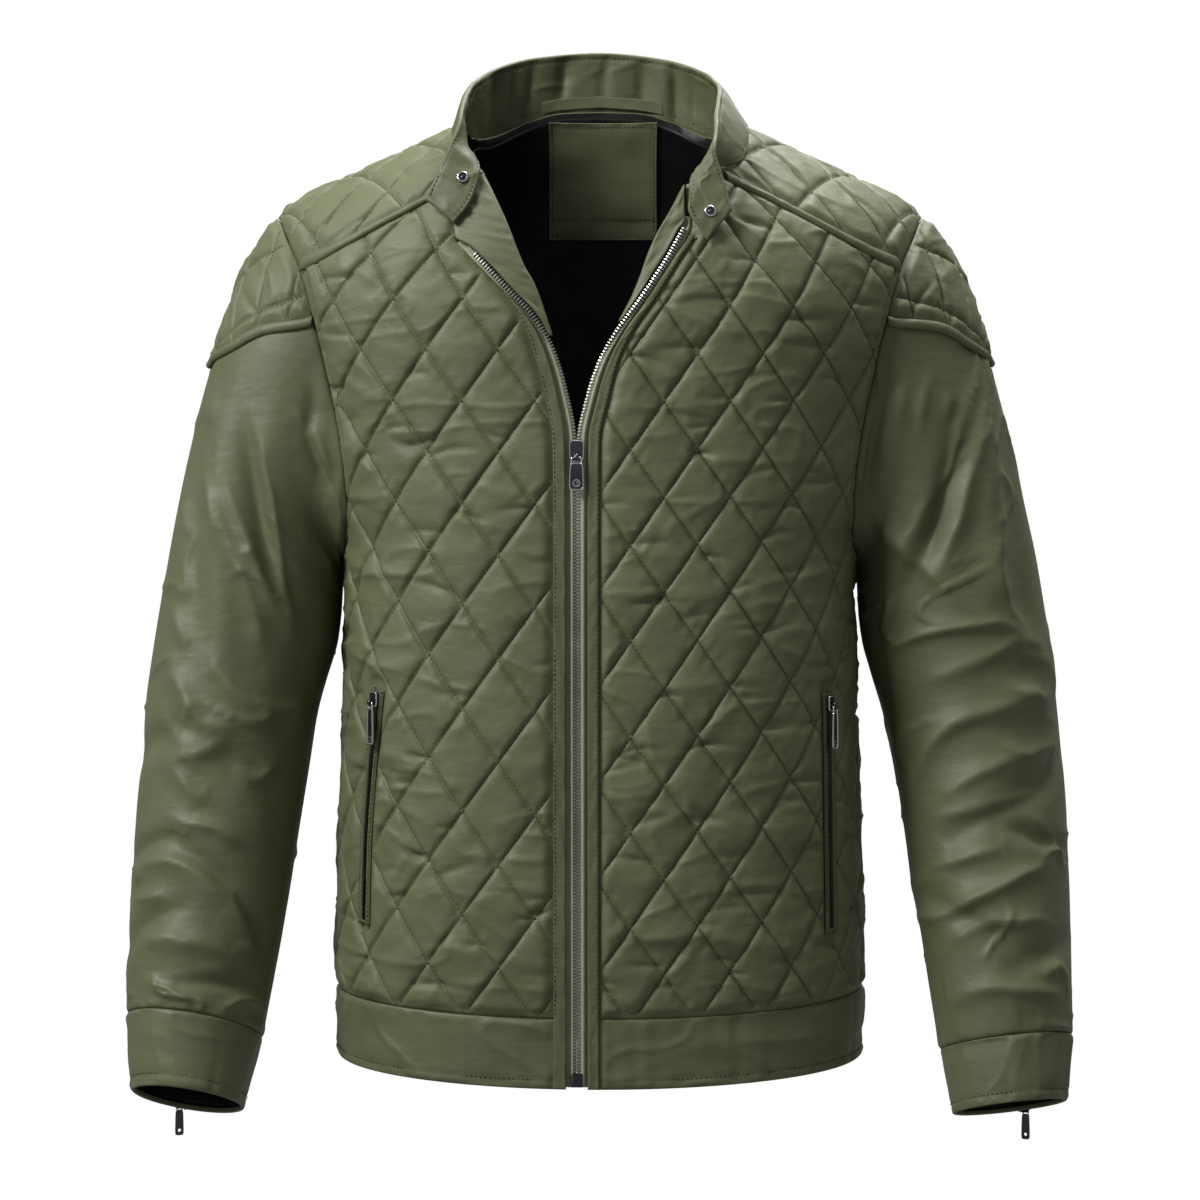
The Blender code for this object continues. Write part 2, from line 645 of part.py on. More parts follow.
def add_mesh(name, vertices, faces, finish, smooth_angle=40):
    """A closed body from its points and faces, wound outward."""
    mesh = bpy.data.meshes.new(name)
    mesh.from_pydata([tuple(map(float, p)) for p in vertices], [], faces)
    body = bmesh.new()
    body.from_mesh(mesh)
    bmesh.ops.recalc_face_normals(body, faces=body.faces)
    body.to_mesh(mesh)
    body.free()
    mesh.shade_smooth()
    mesh.set_sharp_from_angle(angle=math.radians(smooth_angle))
    made = bpy.data.objects.new(name, mesh)
    made.data.materials.append(material(name, finish))
    PARTS.objects.link(made)
    return made


def wall(name, outer, inner, finish, closed):
    """A cloth wall between two grids of points; closed joins the last column to the first."""
    rows, columns = outer.shape[:2]
    count = rows * columns
    vertices = np.concatenate([outer.reshape(-1, 3), inner.reshape(-1, 3)])
    faces = []
    last = columns if closed else columns - 1
    for i in range(rows - 1):
        for j in range(last):
            k = (j + 1) % columns
            quad = (i * columns + j, i * columns + k, (i + 1) * columns + k, (i + 1) * columns + j)
            faces.append(quad)
            faces.append(tuple(count + corner for corner in reversed(quad)))
    for row in (0, (rows - 1) * columns):
        for j in range(last):
            k = (j + 1) % columns
            faces.append((row + j, row + k, count + row + k, count + row + j))
    if not closed:
        for column in (0, columns - 1):
            for i in range(rows - 1):
                a, b = i * columns + column, (i + 1) * columns + column
                faces.append((a, b, count + b, count + a))
    return add_mesh(name, vertices, faces, finish)


def bar(name, sections, finish, smooth_angle=40):
    """A body swept through closed sections of equal point count, capped at both ends."""
    sections = np.asarray(sections, float)
    count, sides = sections.shape[:2]
    faces = [tuple(range(sides)), tuple((count - 1) * sides + k for k in reversed(range(sides)))]
    for i in range(count - 1):
        for k in range(sides):
            m = (k + 1) % sides
            faces.append((i * sides + k, (i + 1) * sides + k, (i + 1) * sides + m, i * sides + m))
    return add_mesh(name, sections.reshape(-1, 3), faces, finish, smooth_angle)


def quilted_wall(name, chart, outline, quilt, finish, clearance, edge_normals, flat_lines=()):
    """A quilted piece: puffed outside, plain inside, its rim 0.15 mm short of each seam.
    The cloth lies flat on flat_lines, which something else covers."""
    rim = outline_with_stitches(inset(outline, SEAM_GAP / 2), quilt)
    flats = [line[inside(rim, line) & (distance_to(rim, line) > 2 * MM)] for line in flat_lines]
    crossings, tops = (keep_clear(points, flats, 4 * MM) for points in quilt_points(rim, quilt))
    stitches = clear_pairs(crossings, crossing_pairs(crossings, quilt, STITCHES), flats)
    uprights = crossing_pairs(crossings, quilt, UPRIGHT)
    outside = np.concatenate([crossings, tops, *flats])
    outer_flat = np.concatenate([rim, outside])
    rise = puff_height(outer_flat, quilt, clearance(outer_flat, rim))
    rise[:len(rim)] = 0
    rise[len(outer_flat) - sum(map(len, flats)):] = 0
    a, b = chart.locate(outer_flat)
    middle = chart.surface(a, b)
    normals = chart.normals(a, b)
    normals[:len(rim)] = edge_normals(middle[:len(rim)], normals[:len(rim)])
    within = len(rim) + len(crossings)
    inner = middle[:within] - normals[:within] * (WALL / 2)
    outer = middle + normals * (WALL / 2 + rise)[:, None]
    outer_faces = triangulate(rim, outside, stitches + line_edges(flats, len(crossings) + len(tops)))
    inner_faces = triangulate(rim, crossings, stitches + uprights)
    count = len(outer)
    faces = list(outer_faces) + [tuple(count + i for i in reversed(face)) for face in inner_faces]
    for i in range(len(rim)):
        j = (i + 1) % len(rim)
        faces.append((i, count + i, count + j))
        faces.append((i, count + j, j))
    return add_mesh(name, np.concatenate([outer, inner]), faces, finish, 60)


# ---------------------------------------------------------------- the sleeves' surface
def sleeve_ring(side, turn, section):
    """A point on the sleeve's sections, before the armhole's outline is blended in."""
    table = [(i, *row) for i, row in enumerate(SLEEVE_SECTIONS[side])]
    columns = (read(table, k, section) * MM for k in range(1, 7))
    outer_x, outer_z, inner_x, inner_z, centre_y, half_depth = columns
    tilt = np.radians(read(table, 7, section))
    around = 2 * math.pi * np.asarray(turn, float)
    swing = np.cos(around)
    forward = np.sin(around)
    x = (outer_x + inner_x) / 2 + (outer_x - inner_x) / 2 * swing
    y = centre_y - half_depth * forward
    z = (outer_z + inner_z) / 2 + (outer_z - inner_z) / 2 * swing + half_depth * np.tan(tilt) * forward
    return np.stack([x * sign_of(side), y, z], axis=-1)


def sleeve_point(side, turn, section):
    """A point on the sleeve: turn 0 is the top, 0.25 the front; section 0 the armhole, 14 the rim."""
    turn, section = np.broadcast_arrays(np.asarray(turn, float), np.asarray(section, float))
    ring = sleeve_ring(side, turn, section)
    hold = 1 - smoothstep(0, ARMHOLE_BLEND, section)
    missing = armhole_point(side, turn) - sleeve_ring(side, turn, np.zeros_like(section))
    return ring + missing * hold[..., None]


# side, turn, section at the two ends, width and depth: a ridge where depth is above 0, else a trough
SLEEVE_FOLDS = {
    "right": (
        (0.20, 1.6, 0.31, 4.2, 26, -9),
        (0.14, 2.2, 0.24, 6.2, 22, 4),
        (0.07, 2.4, 0.18, 6.0, 24, -3.5),
        (0.03, 7.8, 0.20, 7.4, 20, -5),
        (0.22, 7.6, 0.40, 8.6, 20, -4.5),
        (0.04, 9.6, 0.18, 9.3, 18, -5),
        (0.18, 9.4, 0.42, 11.2, 20, -5),
        (0.03, 11.4, 0.22, 10.8, 18, -4),
        (0.24, 12.2, 0.42, 12.0, 16, -3.5),
        (0.62, 2.0, 0.72, 5.6, 26, -6),
        (0.60, 8.2, 0.86, 7.4, 22, -5),
        (0.66, 10.4, 0.90, 9.6, 22, -5),
        (0.62, 12.0, 0.84, 11.4, 18, -4),
    ),
    "left": (
        (0.20, 1.8, 0.32, 4.0, 26, -9),
        (0.13, 2.4, 0.20, 5.0, 22, 4),
        (0.08, 2.6, 0.15, 6.4, 24, -3.5),
        (0.10, 7.8, 0.34, 9.2, 20, -5),
        (0.04, 7.6, 0.20, 8.6, 20, -4.5),
        (0.06, 9.4, 0.24, 9.0, 18, -5),
        (0.22, 11.6, 0.42, 10.4, 20, -5),
        (0.05, 11.2, 0.24, 11.8, 18, -4),
        (0.60, 2.2, 0.70, 5.2, 26, -6),
        (0.62, 8.0, 0.88, 7.6, 22, -5),
        (0.64, 10.2, 0.88, 9.8, 22, -5),
        (0.62, 11.8, 0.82, 11.6, 18, -4),
    ),
}
SLEEVE_GIRTH = 400 * MM      # mean girth and mean distance between sections, to measure folds with
SECTION_STEP = 42 * MM


def sleeve_fold(side, turn, section):
    """How far the cloth stands out of the plain sleeve at a place."""
    rise = np.zeros(np.broadcast(turn, section).shape)
    for turn_a, section_a, turn_b, section_b, width, depth in SLEEVE_FOLDS[side]:
        start = np.array([turn_a * SLEEVE_GIRTH, section_a * SECTION_STEP])
        reach = np.array([turn_b * SLEEVE_GIRTH, section_b * SECTION_STEP]) - start
        offset = np.stack([turn * SLEEVE_GIRTH - start[0], section * SECTION_STEP - start[1]], axis=-1)
        share = np.clip(offset @ reach / (reach @ reach), 0, 1)
        gap = np.linalg.norm(offset - share[..., None] * reach, axis=-1)
        taper = np.sin(math.pi * (0.12 + 0.76 * share))
        rise = rise + depth * MM * taper * np.exp(-(gap / (width * MM / 2)) ** 2)
    return rise


def sleeve_chart(side):
    """The sleeve as flat cloth: s round it from its top, t down from the armhole."""
    return Chart(lambda turn, section: sleeve_point(side, turn, section), (-0.5, 0.5), (0, RIM_ROW), 0, 0,
                 (161, 281), sign_of(side))


def head_depth(turn):
    """Depth of the sleeve head at a share of a turn either way from the top."""
    return np.maximum(read(HEAD_SEAM, 1, np.abs(turn)), 0) * MM


def section_at(chart, turn, depth):
    """The sleeve section that lies a given distance down from the armhole."""
    section = np.full(np.shape(turn), 1.0)
    for _ in range(40):
        t, _, slope = chart.lookup(chart.t, np.asarray(turn, float), section)
        section = np.clip(section + (depth - t) / np.maximum(slope, 1e-6), 0, RIM_ROW)
    return section


def armhole_normals(side, turn, sleeve):
    """Directions halfway between the body's cloth and the sleeve's at the armhole."""
    share = armhole_share(turn)
    x, z = armhole_xz(share)
    angle, row = torso_at(x * sign_of(side), z)
    face = np.where(np.asarray(turn) % 1.0 <= 0.5, FRONT, BACK)
    body = np.where(face[..., None] < 0, FRONT_CHART.normals(angle, row), BACK_CHART.normals(angle, row))
    near_ridge = YOKE_CHART.normals(angle, np.where(face < 0, row - 2, 2 - row))
    body = np.where(row[..., None] > 1.02, near_ridge, body)
    signed_turn = (np.asarray(turn, float) + 0.5) % 1.0 - 0.5
    both = body + sleeve.normals(signed_turn, np.full(np.shape(turn), 0.02))
    return both / np.linalg.norm(both, axis=-1, keepdims=True)


def seam_normals(sleeves):
    """For a body panel: the rim on the armhole leans halfway to the sleeve, the rest stands square."""
    turns = np.arange(ARMHOLE_SAMPLES * 8) / (ARMHOLE_SAMPLES * 8)
    places, leans = [], []
    for side in ("right", "left"):
        places.append(armhole_point(side, turns))
        leans.append(armhole_normals(side, turns, sleeves[side]))
    places, leans = np.concatenate(places), np.concatenate(leans)

    def lean(points, normals):
        gaps = np.linalg.norm(points[:, None] - places[None], axis=-1)
        nearest = gaps.argmin(axis=1)
        close = gaps.min(axis=1) < 2.5 * MM
        return np.where(close[:, None], leans[nearest], normals)

    return lean


# ---------------------------------------------------------------- collections and charts
PARTS = collection(NAME)
CUTTERS = collection("cutters")

QUARTER = math.pi / 2
HALF_ROUND = (-QUARTER, QUARTER)
BODY_STEPS = (181, 241)
FRONT_CHART = Chart(lambda a, b: torso_point(a, b, FRONT), HALF_ROUND, (0, 1.98), 0, 0, BODY_STEPS)
BACK_CHART = Chart(lambda a, b: torso_point(a, b, BACK), HALF_ROUND, (0, 1.98), 0, 0, BODY_STEPS, -1.0)
YOKE_CHART = Chart(over_shoulder, HALF_ROUND, (-1, 1), 0, 0, BODY_STEPS)
SLEEVE_CHARTS = {side: sleeve_chart(side) for side in ("right", "left")}


# ---------------------------------------------------------------- places on the body
CURVED_ZIP_END = -250 * MM       # below this the zip runs straight down


def zip_heights(top, bottom, spacing):
    """Heights down the zip: closely spaced where its edges curve, wide apart where they run straight."""
    curved_steps = max(1, math.ceil((top - CURVED_ZIP_END) / spacing))
    straight_steps = max(1, math.ceil((CURVED_ZIP_END - bottom) / (2.6 * spacing)))
    curved = np.linspace(top, CURVED_ZIP_END, curved_steps + 1)
    straight = np.linspace(CURVED_ZIP_END, bottom, straight_steps + 1)
    return np.concatenate([curved, straight[1:]])


def on_front(x, z):
    """Where a place seen from the front lies on the front's flat cloth."""
    return FRONT_CHART.flat(*torso_at(x, z))


def on_back(x, z):
    """Where a place seen from behind lies on the back's flat cloth."""
    return BACK_CHART.flat(*torso_at(x, z))


def on_yoke(x, z, face):
    """Where a place lies on the yoke's flat cloth."""
    angle, row = torso_at(x, z)
    return YOKE_CHART.flat(angle, np.where(np.asarray(face) < 0, row - 2, 2 - row))


def edge_x(table, side, z, column=1):
    """A side's curve from a table of heights and places."""
    return read(table[side], column, np.asarray(z) / MM) * MM


def lapel_lift(side, z):
    """How far the turned front edge stands off the chest at a height."""
    low, high = LAPEL_RISE
    return LAPEL_LIFT[side] * MM * smoothstep(low, high, np.asarray(z) / MM)


def side_seam(chart, sign, low, high, spacing=CHORD * 2):
    """The side seam on the flat cloth between two rows."""
    rows = np.linspace(low, high, max(2, math.ceil(0.5 * abs(high - low) / spacing) + 1))
    return chart.flat(np.full(rows.shape, sign * QUARTER), rows)


HEM_ROW = float(FRONT_CHART.locate(np.array([[0.3, HEM_BAND]]))[1][0])
ARMPIT_ROW = float(torso_at(ARMHOLE[-1][0] * MM, ARMHOLE[-1][1] * MM)[1])


def front_outline(side):
    """The front's closed outline: hem, side seam, armhole, yoke seam, neck and free edge."""
    sign = sign_of(side)
    armhole = armhole_curve(ARMPIT_SAMPLE, YOKE_SEAM_SAMPLE, sign)
    yoke_seam = table_curve(YOKE_FRONT_SEAM, YOKE_CHORD, sign)[::-1]
    top = FRONT_EDGE[side][0][0] * MM
    stretches = ((top, -0.10, 7), (-0.11, -0.23, 9), (-0.26, -0.62, 14))
    z = np.concatenate([np.linspace(*stretch) for stretch in stretches])
    free_edge = on_front(edge_x(FRONT_EDGE, side, z), z)
    lower_end = FRONT_CHART.flat(*torso_at(edge_x(FRONT_EDGE, side, -0.627), -0.627))
    hem = np.array([[lower_end[0], HEM_BAND], [side_seam(FRONT_CHART, sign, HEM_ROW, 1)[0][0], HEM_BAND]])
    neck = table_curve(NECK_CORNER, CHORD, sign)[:-1] if side == "left" else []
    curves = [resample(hem, CHORD), side_seam(FRONT_CHART, sign, HEM_ROW, ARMPIT_ROW),
              on_front(armhole[:, 0], armhole[:, 1]), on_front(yoke_seam[:, 0], yoke_seam[:, 1])]
    if len(neck):
        curves.append(on_front(neck[:, 0], neck[:, 1]))
    return join(*curves, free_edge)


def back_outline():
    """The back's closed outline, from the hem up both sides to the yoke seam."""
    halves = []
    for side in ("left", "right"):
        sign = sign_of(side)
        armhole = armhole_curve(ARMPIT_SAMPLE, YOKE_SEAM_SAMPLE, sign)
        yoke_seam = table_curve(YOKE_BACK_SEAM, CHORD, sign)[::-1]
        halves.append(join(side_seam(BACK_CHART, sign, HEM_ROW, ARMPIT_ROW),
                           on_back(armhole[:, 0], armhole[:, 1]), on_back(yoke_seam[:, 0], yoke_seam[:, 1])))
    hem = resample(np.array([halves[1][0], halves[0][0]]), CHORD)
    return join(hem, halves[0], halves[1][::-1])


def back_yoke_seam(spacing):
    """x and z of the yoke's seam across the whole back."""
    half = table_curve(YOKE_BACK_SEAM, spacing)
    return np.concatenate([half[::-1] * (-1, 1), half[1:]])


def yoke_outline():
    """From the left back armhole over the left shoulder, round the neck, over the right one and back."""
    curves = []
    for side in ("left", "right"):
        sign = sign_of(side)
        hole = armhole_curve(YOKE_SEAM_SAMPLE, 0, sign)
        seam = table_curve(YOKE_FRONT_SEAM, YOKE_CHORD, sign)[::-1]
        neck = table_curve(NECK_FRONT, CHORD / 4, sign)[::-1]
        nape = table_curve(NECK_BACK, CHORD / 4, sign)[::-1]
        whole_neck = join(on_yoke(neck[:, 0], neck[:, 1], FRONT), on_yoke(nape[:, 0], nape[:, 1], BACK))
        half = join(on_yoke(hole[:, 0], hole[:, 1], BACK), on_yoke(hole[::-1, 0], hole[::-1, 1], FRONT),
                    on_yoke(seam[:, 0], seam[:, 1], FRONT), resample(whole_neck, CHORD))
        curves.append(half if side == "left" else half[::-1])
    lower = back_yoke_seam(CHORD)
    return join(*curves, on_yoke(lower[:, 0], lower[:, 1], BACK))


# ---------------------------------------------------------------- quilted pieces
def edge_clearance(flat, rim):
    """Distance from the piece's own edges."""
    return distance_to(rim, flat)


def welt_line(side, beyond, spacing):
    """The welt's outer edge on the front's flat cloth, moved out by a distance."""
    z = zip_heights(WELT_WIDTH[side][0][0] * MM, HEM_CENTRE + HEM_BAND + 3 * MM, spacing)
    x = edge_x(FRONT_EDGE, side, z) + sign_of(side) * (read(WELT_WIDTH[side], 1, z / MM) * MM + beyond)
    return on_front(x, z)


def pocket_line(side, count):
    """The pocket's zip on the front's flat cloth, from its top down."""
    z = np.linspace(POCKET_LINE[side][0][0] * MM, POCKET_LINE[side][-1][0] * MM, count)
    return on_front(edge_x(POCKET_LINE, side, z), z)


def front_clearance(side):
    """Distance from the edges, the welt beside the zip and the pocket, where the cloth stays flat."""
    sign = sign_of(side)
    welt, pocket = welt_line(side, 0, 10 * MM), pocket_line(side, 12)

    def clearance(flat, rim):
        past_welt = (flat[:, 0] - np.interp(flat[:, 1], welt[::-1, 1], welt[::-1, 0])) * sign
        from_welt = np.where(past_welt > 0, distance_to(welt, flat, False), 0)
        from_pocket = distance_to(pocket, flat, False) - POCKET_WELT_HALF
        return np.minimum(np.minimum(distance_to(rim, flat), from_welt + 1.0 * MM), from_pocket + 1.0 * MM)

    return clearance


def front_flat_lines(side):
    """Lines beside the welt and round the pocket that hold the cloth flat."""
    pocket = pocket_line(side, 7)
    reach = POCKET_WELT_HALF + 1.2 * MM
    longer = np.concatenate([[pocket[0] + (0, reach)], pocket[1:-1], [pocket[-1] - (0, reach)]])
    near, far = beside(longer, reach), beside(longer, -reach)
    return [welt_line(side, 0.8 * MM, 26 * MM), np.concatenate([near, far[::-1], near[:1] + (0, 0.5 * MM)])]


def make_body_panels(lean):
    """The two fronts, the back and the yoke."""
    for side in ("right", "left"):
        quilted_wall("front_" + side, FRONT_CHART, front_outline(side), QUILT["front_" + side],
                     "shell_quilted", front_clearance(side), lean, front_flat_lines(side))
    quilted_wall("back", BACK_CHART, back_outline(), QUILT["back"], "shell_quilted", edge_clearance, lean)
    quilted_wall("yoke", YOKE_CHART, yoke_outline(), QUILT["yoke"], "shell_quilted", edge_clearance, lean)


HEAD_EASE = 0.35 * MM        # more room between the sleeve head and the body's panels


def make_sleeve_heads(lean):
    """The quilted caps between the armhole and the plain sleeve."""
    turns = np.arange(-HEAD_SEAM_SAMPLE, HEAD_SEAM_SAMPLE + 1) / ARMHOLE_SAMPLES
    for side, chart in SLEEVE_CHARTS.items():
        top = chart.flat(turns, np.zeros_like(turns)) + (0, HEAD_EASE)
        lower = chart.flat(turns, section_at(chart, turns, head_depth(turns)))
        quilted_wall("sleeve_head_" + side, chart, join(top, lower[::-1]), QUILT["sleeve_head"],
                     "shell_quilted", edge_clearance, lean)


# ---------------------------------------------------------------- plain pieces
SLEEVE_ROWS = 11
UNDERARM_GAP = 1.1 * MM      # more room where the sleeve folds back against the body


def sleeve_grid(side, sections, lift, lean_top=False):
    """Points of the sleeve's cloth on rows of sections, moved out by lift from the middle of the wall."""
    chart = SLEEVE_CHARTS[side]
    turns = np.broadcast_to(np.arange(ARMHOLE_SAMPLES) / ARMHOLE_SAMPLES, sections.shape)
    folds = sleeve_fold(side, turns % 1.0, sections) * smoothstep(0.3, 1.2, sections)
    folds = folds * smoothstep(0, 0.5, CUFF_ROW - sections)
    signed = (turns + 0.5) % 1.0 - 0.5
    points = chart.surface(signed, sections)
    normals = chart.normals(signed, sections)
    if lean_top:
        at_armhole = head_depth(signed[0]) < 0.1 * MM
        normals[0] = np.where(at_armhole[:, None], armhole_normals(side, turns[0], chart), normals[0])
    return points + normals * (lift + folds)[..., None]


def make_sleeves():
    """The plain sleeves, from the sleeve head and the armhole down to the cuff."""
    turns = np.arange(ARMHOLE_SAMPLES) / ARMHOLE_SAMPLES
    signed = (turns + 0.5) % 1.0 - 0.5
    for side, chart in SLEEVE_CHARTS.items():
        steps = head_depth(signed + 1 / 256) - head_depth(signed - 1 / 256)
        slope = steps / (2 / 256 * SLEEVE_GIRTH)
        gap = SEAM_GAP * np.sqrt(1 + slope ** 2) + UNDERARM_GAP * smoothstep(0.28, 0.42, np.abs(signed))
        top = section_at(chart, signed, head_depth(signed) + gap)
        share = np.linspace(0, 1, SLEEVE_ROWS + 1)[:, None]
        bottom = CUFF_ROW - SEAM_GAP / 2 / SECTION_STEP
        sections = top + (bottom - top) * share
        wall("sleeve_" + side, sleeve_grid(side, sections, WALL / 2, True),
             sleeve_grid(side, sections, -WALL / 2, True), "shell_plain", True)


def make_cuffs():
    """The cuffs and the black linings inside them."""
    around = np.zeros(ARMHOLE_SAMPLES)
    for side in ("right", "left"):
        start = CUFF_ROW + SEAM_GAP / 2 / SECTION_STEP
        sections = np.linspace(start, RIM_ROW, 3)[:, None] + around
        wall("cuff_" + side, sleeve_grid(side, sections, WALL / 2), sleeve_grid(side, sections, -WALL / 2),
             "shell_plain", True)
        sections = np.linspace(CUFF_ROW + 0.15, RIM_ROW - 0.06, 2)[:, None] + around
        outside = -(WALL / 2 + SEAM_GAP)
        wall("cuff_lining_" + side, sleeve_grid(side, sections, outside),
             sleeve_grid(side, sections, outside - LINING_WALL), "lining", True)


def make_hem():
    """The plain band round the hem, open at the centre front."""
    thick = 3.0 * MM
    rows = np.linspace(0, HEM_BAND - SEAM_GAP / 2, 3)
    pieces = {
        "hem_band_right": (FRONT_CHART, -1.0),
        "hem_band_left": (FRONT_CHART, 1.0),
        "hem_band_back": (BACK_CHART, 0),
    }
    for name, (chart, sign) in pieces.items():
        end_row = chart.locate(np.stack([np.full(rows.shape, 0.29), rows], axis=1))[1]
        ends = chart.flat(np.full(rows.shape, QUARTER), end_row)[:, 0] - SEAM_GAP / 2
        starts = -ends
        if sign:
            z = np.interp(rows, [0, HEM_BAND], [HEM_CENTRE, HEM_CENTRE + HEM_BAND])
            side = "right" if sign < 0 else "left"
            starts = on_front(edge_x(FRONT_EDGE, side, z), z)[:, 0]
            ends = ends * sign
        across = np.linspace(0, 1, 17 if sign else 33)
        s = starts[:, None] + (ends - starts)[:, None] * across
        flat = np.stack([s, np.broadcast_to(rows[:, None], s.shape)], axis=-1)
        wall(name, chart.place(flat, thick / 2), chart.place(flat, -thick / 2), "shell_plain", False)


# ---------------------------------------------------------------- strips laid on the cloth
def strip(name, chart, left, right, profile, finish, lift=0.0, smooth_angle=40):
    """A strip between two flat curves; the profile gives the share across and the height of each corner."""
    profile = np.asarray(profile, float)
    share, height = profile[:, 0], profile[:, 1]
    flat = left[:, None] + (right - left)[:, None] * share[None, :, None]
    heights = height[None, :] + np.broadcast_to(lift, (len(left),))[:, None]
    return bar(name, chart.place(flat, heights), finish, smooth_angle)


def beside(curve, distance):
    """A flat curve moved sideways to its left."""
    along = np.gradient(curve, axis=0)
    along /= np.linalg.norm(along, axis=1, keepdims=True)
    return curve + np.stack([-along[:, 1], along[:, 0]], axis=1) * distance


LAID = WALL / 2 + SEAM_GAP   # lowest face of what lies on a panel
PIPING_WIDTH = 5.2 * MM
PIPING_RISE = 2.0 * MM
PIPING_FOOT = LAID + 0.8 * MM    # it rides on the padding on both sides of its seam
PIPING_PROFILE = ((0.08, PIPING_FOOT), (0, PIPING_FOOT + 0.8 * MM), (0.5, PIPING_FOOT + PIPING_RISE),
                  (1, PIPING_FOOT + 0.8 * MM), (0.92, PIPING_FOOT))


def trim(curve, start, end):
    """The curve without a length at each end."""
    run = np.concatenate([[0], np.cumsum(np.linalg.norm(np.diff(curve, axis=0), axis=1))])
    at = np.linspace(start, run[-1] - end, len(curve))
    return np.stack([np.interp(at, run, curve[:, k]) for k in range(2)], axis=1)


def piping(name, chart, curve):
    """One covered cord along a seam."""
    strip(name, chart, beside(curve, PIPING_WIDTH / 2), beside(curve, -PIPING_WIDTH / 2), PIPING_PROFILE,
          "shell_plain")


def make_piping():
    """The pipings in the yoke seams and under the sleeve heads."""
    for side in ("right", "left"):
        seam = table_curve(YOKE_FRONT_SEAM, 12 * MM, sign_of(side))
        seam = trim(on_yoke(seam[:, 0], seam[:, 1], FRONT), 12 * MM, 7 * MM)
        piping("yoke_piping_" + side, YOKE_CHART, seam)
        chart = SLEEVE_CHARTS[side]
        turns = np.linspace(-0.172, 0.172, 23)
        piping("head_piping_" + side, chart, chart.flat(turns, section_at(chart, turns, head_depth(turns))))
    seam = back_yoke_seam(CHORD)
    piping("yoke_piping_back", YOKE_CHART, trim(on_yoke(seam[:, 0], seam[:, 1], BACK), 7 * MM, 7 * MM))


TEETH_BASE = -WALL / 2
TEETH_TOP = 1.0 * MM
TAPE_THICKNESS = 0.8 * MM
LAPEL_HALF = 1.5 * MM


def make_front_edges():
    """Along each free edge: the zip's teeth, its tape, the plain welt and the turned facing."""
    for side in ("right", "left"):
        sign = sign_of(side)
        teeth_top = TEETH_LINE[side][0][0] * MM

        z = zip_heights(teeth_top, ZIP_BOTTOM, 13 * MM)
        middle = on_front(edge_x(TEETH_LINE, side, z), z)
        half = TEETH_WIDTH / 2
        profile = ((0, TEETH_BASE), (0, TEETH_TOP), (1, TEETH_TOP), (1, TEETH_BASE))
        strip("zip_teeth_" + side, FRONT_CHART, beside(middle, half), beside(middle, -half), profile,
              "zip_teeth", lapel_lift(side, z))

        under = -(WALL / 2 + SEAM_GAP + 0.4 * MM)
        z = zip_heights(teeth_top - 2 * MM, ZIP_BOTTOM, 16 * MM)
        inner = on_front(edge_x(TEETH_LINE, side, z) - sign * 1.4 * MM, z)
        outer = on_front(edge_x(FRONT_EDGE, side, z) + sign * 6 * MM, z)
        strip("zip_tape_" + side, FRONT_CHART, inner, outer,
              ((0, under - TAPE_THICKNESS), (0, under), (1, under), (1, under - TAPE_THICKNESS)), "zip_tape")

        z = zip_heights(WELT_WIDTH[side][0][0] * MM, HEM_CENTRE + 1 * MM, 15 * MM)
        edge = edge_x(FRONT_EDGE, side, z)
        width = read(WELT_WIDTH[side], 1, z / MM) * MM
        inner, outer = on_front(edge, z), on_front(edge + sign * width, z)
        low = LAID + 0.35 * MM
        strip("welt_" + side, FRONT_CHART, inner, outer,
              ((0, low), (0, low + 1.6 * MM), (1, low + 1.2 * MM), (1, low)), "shell_plain")

        z = np.linspace(LAPEL[side][0][0] * MM, LAPEL[side][-1][0] * MM, 15)
        roll = on_front(read(LAPEL[side], 1, z / MM) * MM, z)
        outer = on_front(read(LAPEL[side], 2, z / MM) * MM, z)
        shares = (0, 0.35, 0.7, 1)
        under = [(u, -LAPEL_HALF) for u in shares]
        over = [(u, LAPEL_HALF) for u in reversed(shares)]
        profile = np.array(under + over)
        flat = roll[:, None] + (outer - roll)[:, None] * profile[None, :, :1]
        heights = profile[None, :, 1] + lapel_lift(side, z)[:, None] * profile[None, :, 0]
        bar("facing_" + side, FRONT_CHART.place(flat, heights), "shell_plain")


# ---------------------------------------------------------------- collar
COLLAR_COLUMNS = 50
COLLAR_ROWS = 3


def collar_middle(along, up):
    """A point in the middle of the collar's wall: along 0 to 1 from the right end to the left, up 0 to 1."""
    along, up = np.broadcast_arrays(np.asarray(along, float), up)
    table = []
    for i, (x, z, face, lift, top_x, top_y, top_z) in enumerate(COLLAR_STATIONS):
        angle, row = torso_at(x * MM, z * MM)
        table.append((i, float(angle), float(face) * (2 - float(row)), lift, top_x, top_y, top_z))
    at = along * (len(table) - 1)
    angle, row = read(table, 1, at), read(table, 2, at)
    foot = over_shoulder(angle, row) + YOKE_CHART.normals(angle, row) * (read(table, 3, at) * MM)[..., None]
    top = np.stack([read(table, column, at) * MM for column in (4, 5, 6)], axis=-1)
    return foot + (top - foot) * up[..., None]


def collar_normals(along, up):
    """Directions out of the collar's inner face."""
    step = 1e-3
    across = collar_middle(np.minimum(along + step, 1), up) - collar_middle(np.maximum(along - step, 0), up)
    rise = collar_middle(along, np.minimum(up + step, 1)) - collar_middle(along, np.maximum(up - step, 0))
    normal = np.cross(across, rise)
    return normal / np.linalg.norm(normal, axis=-1, keepdims=True)


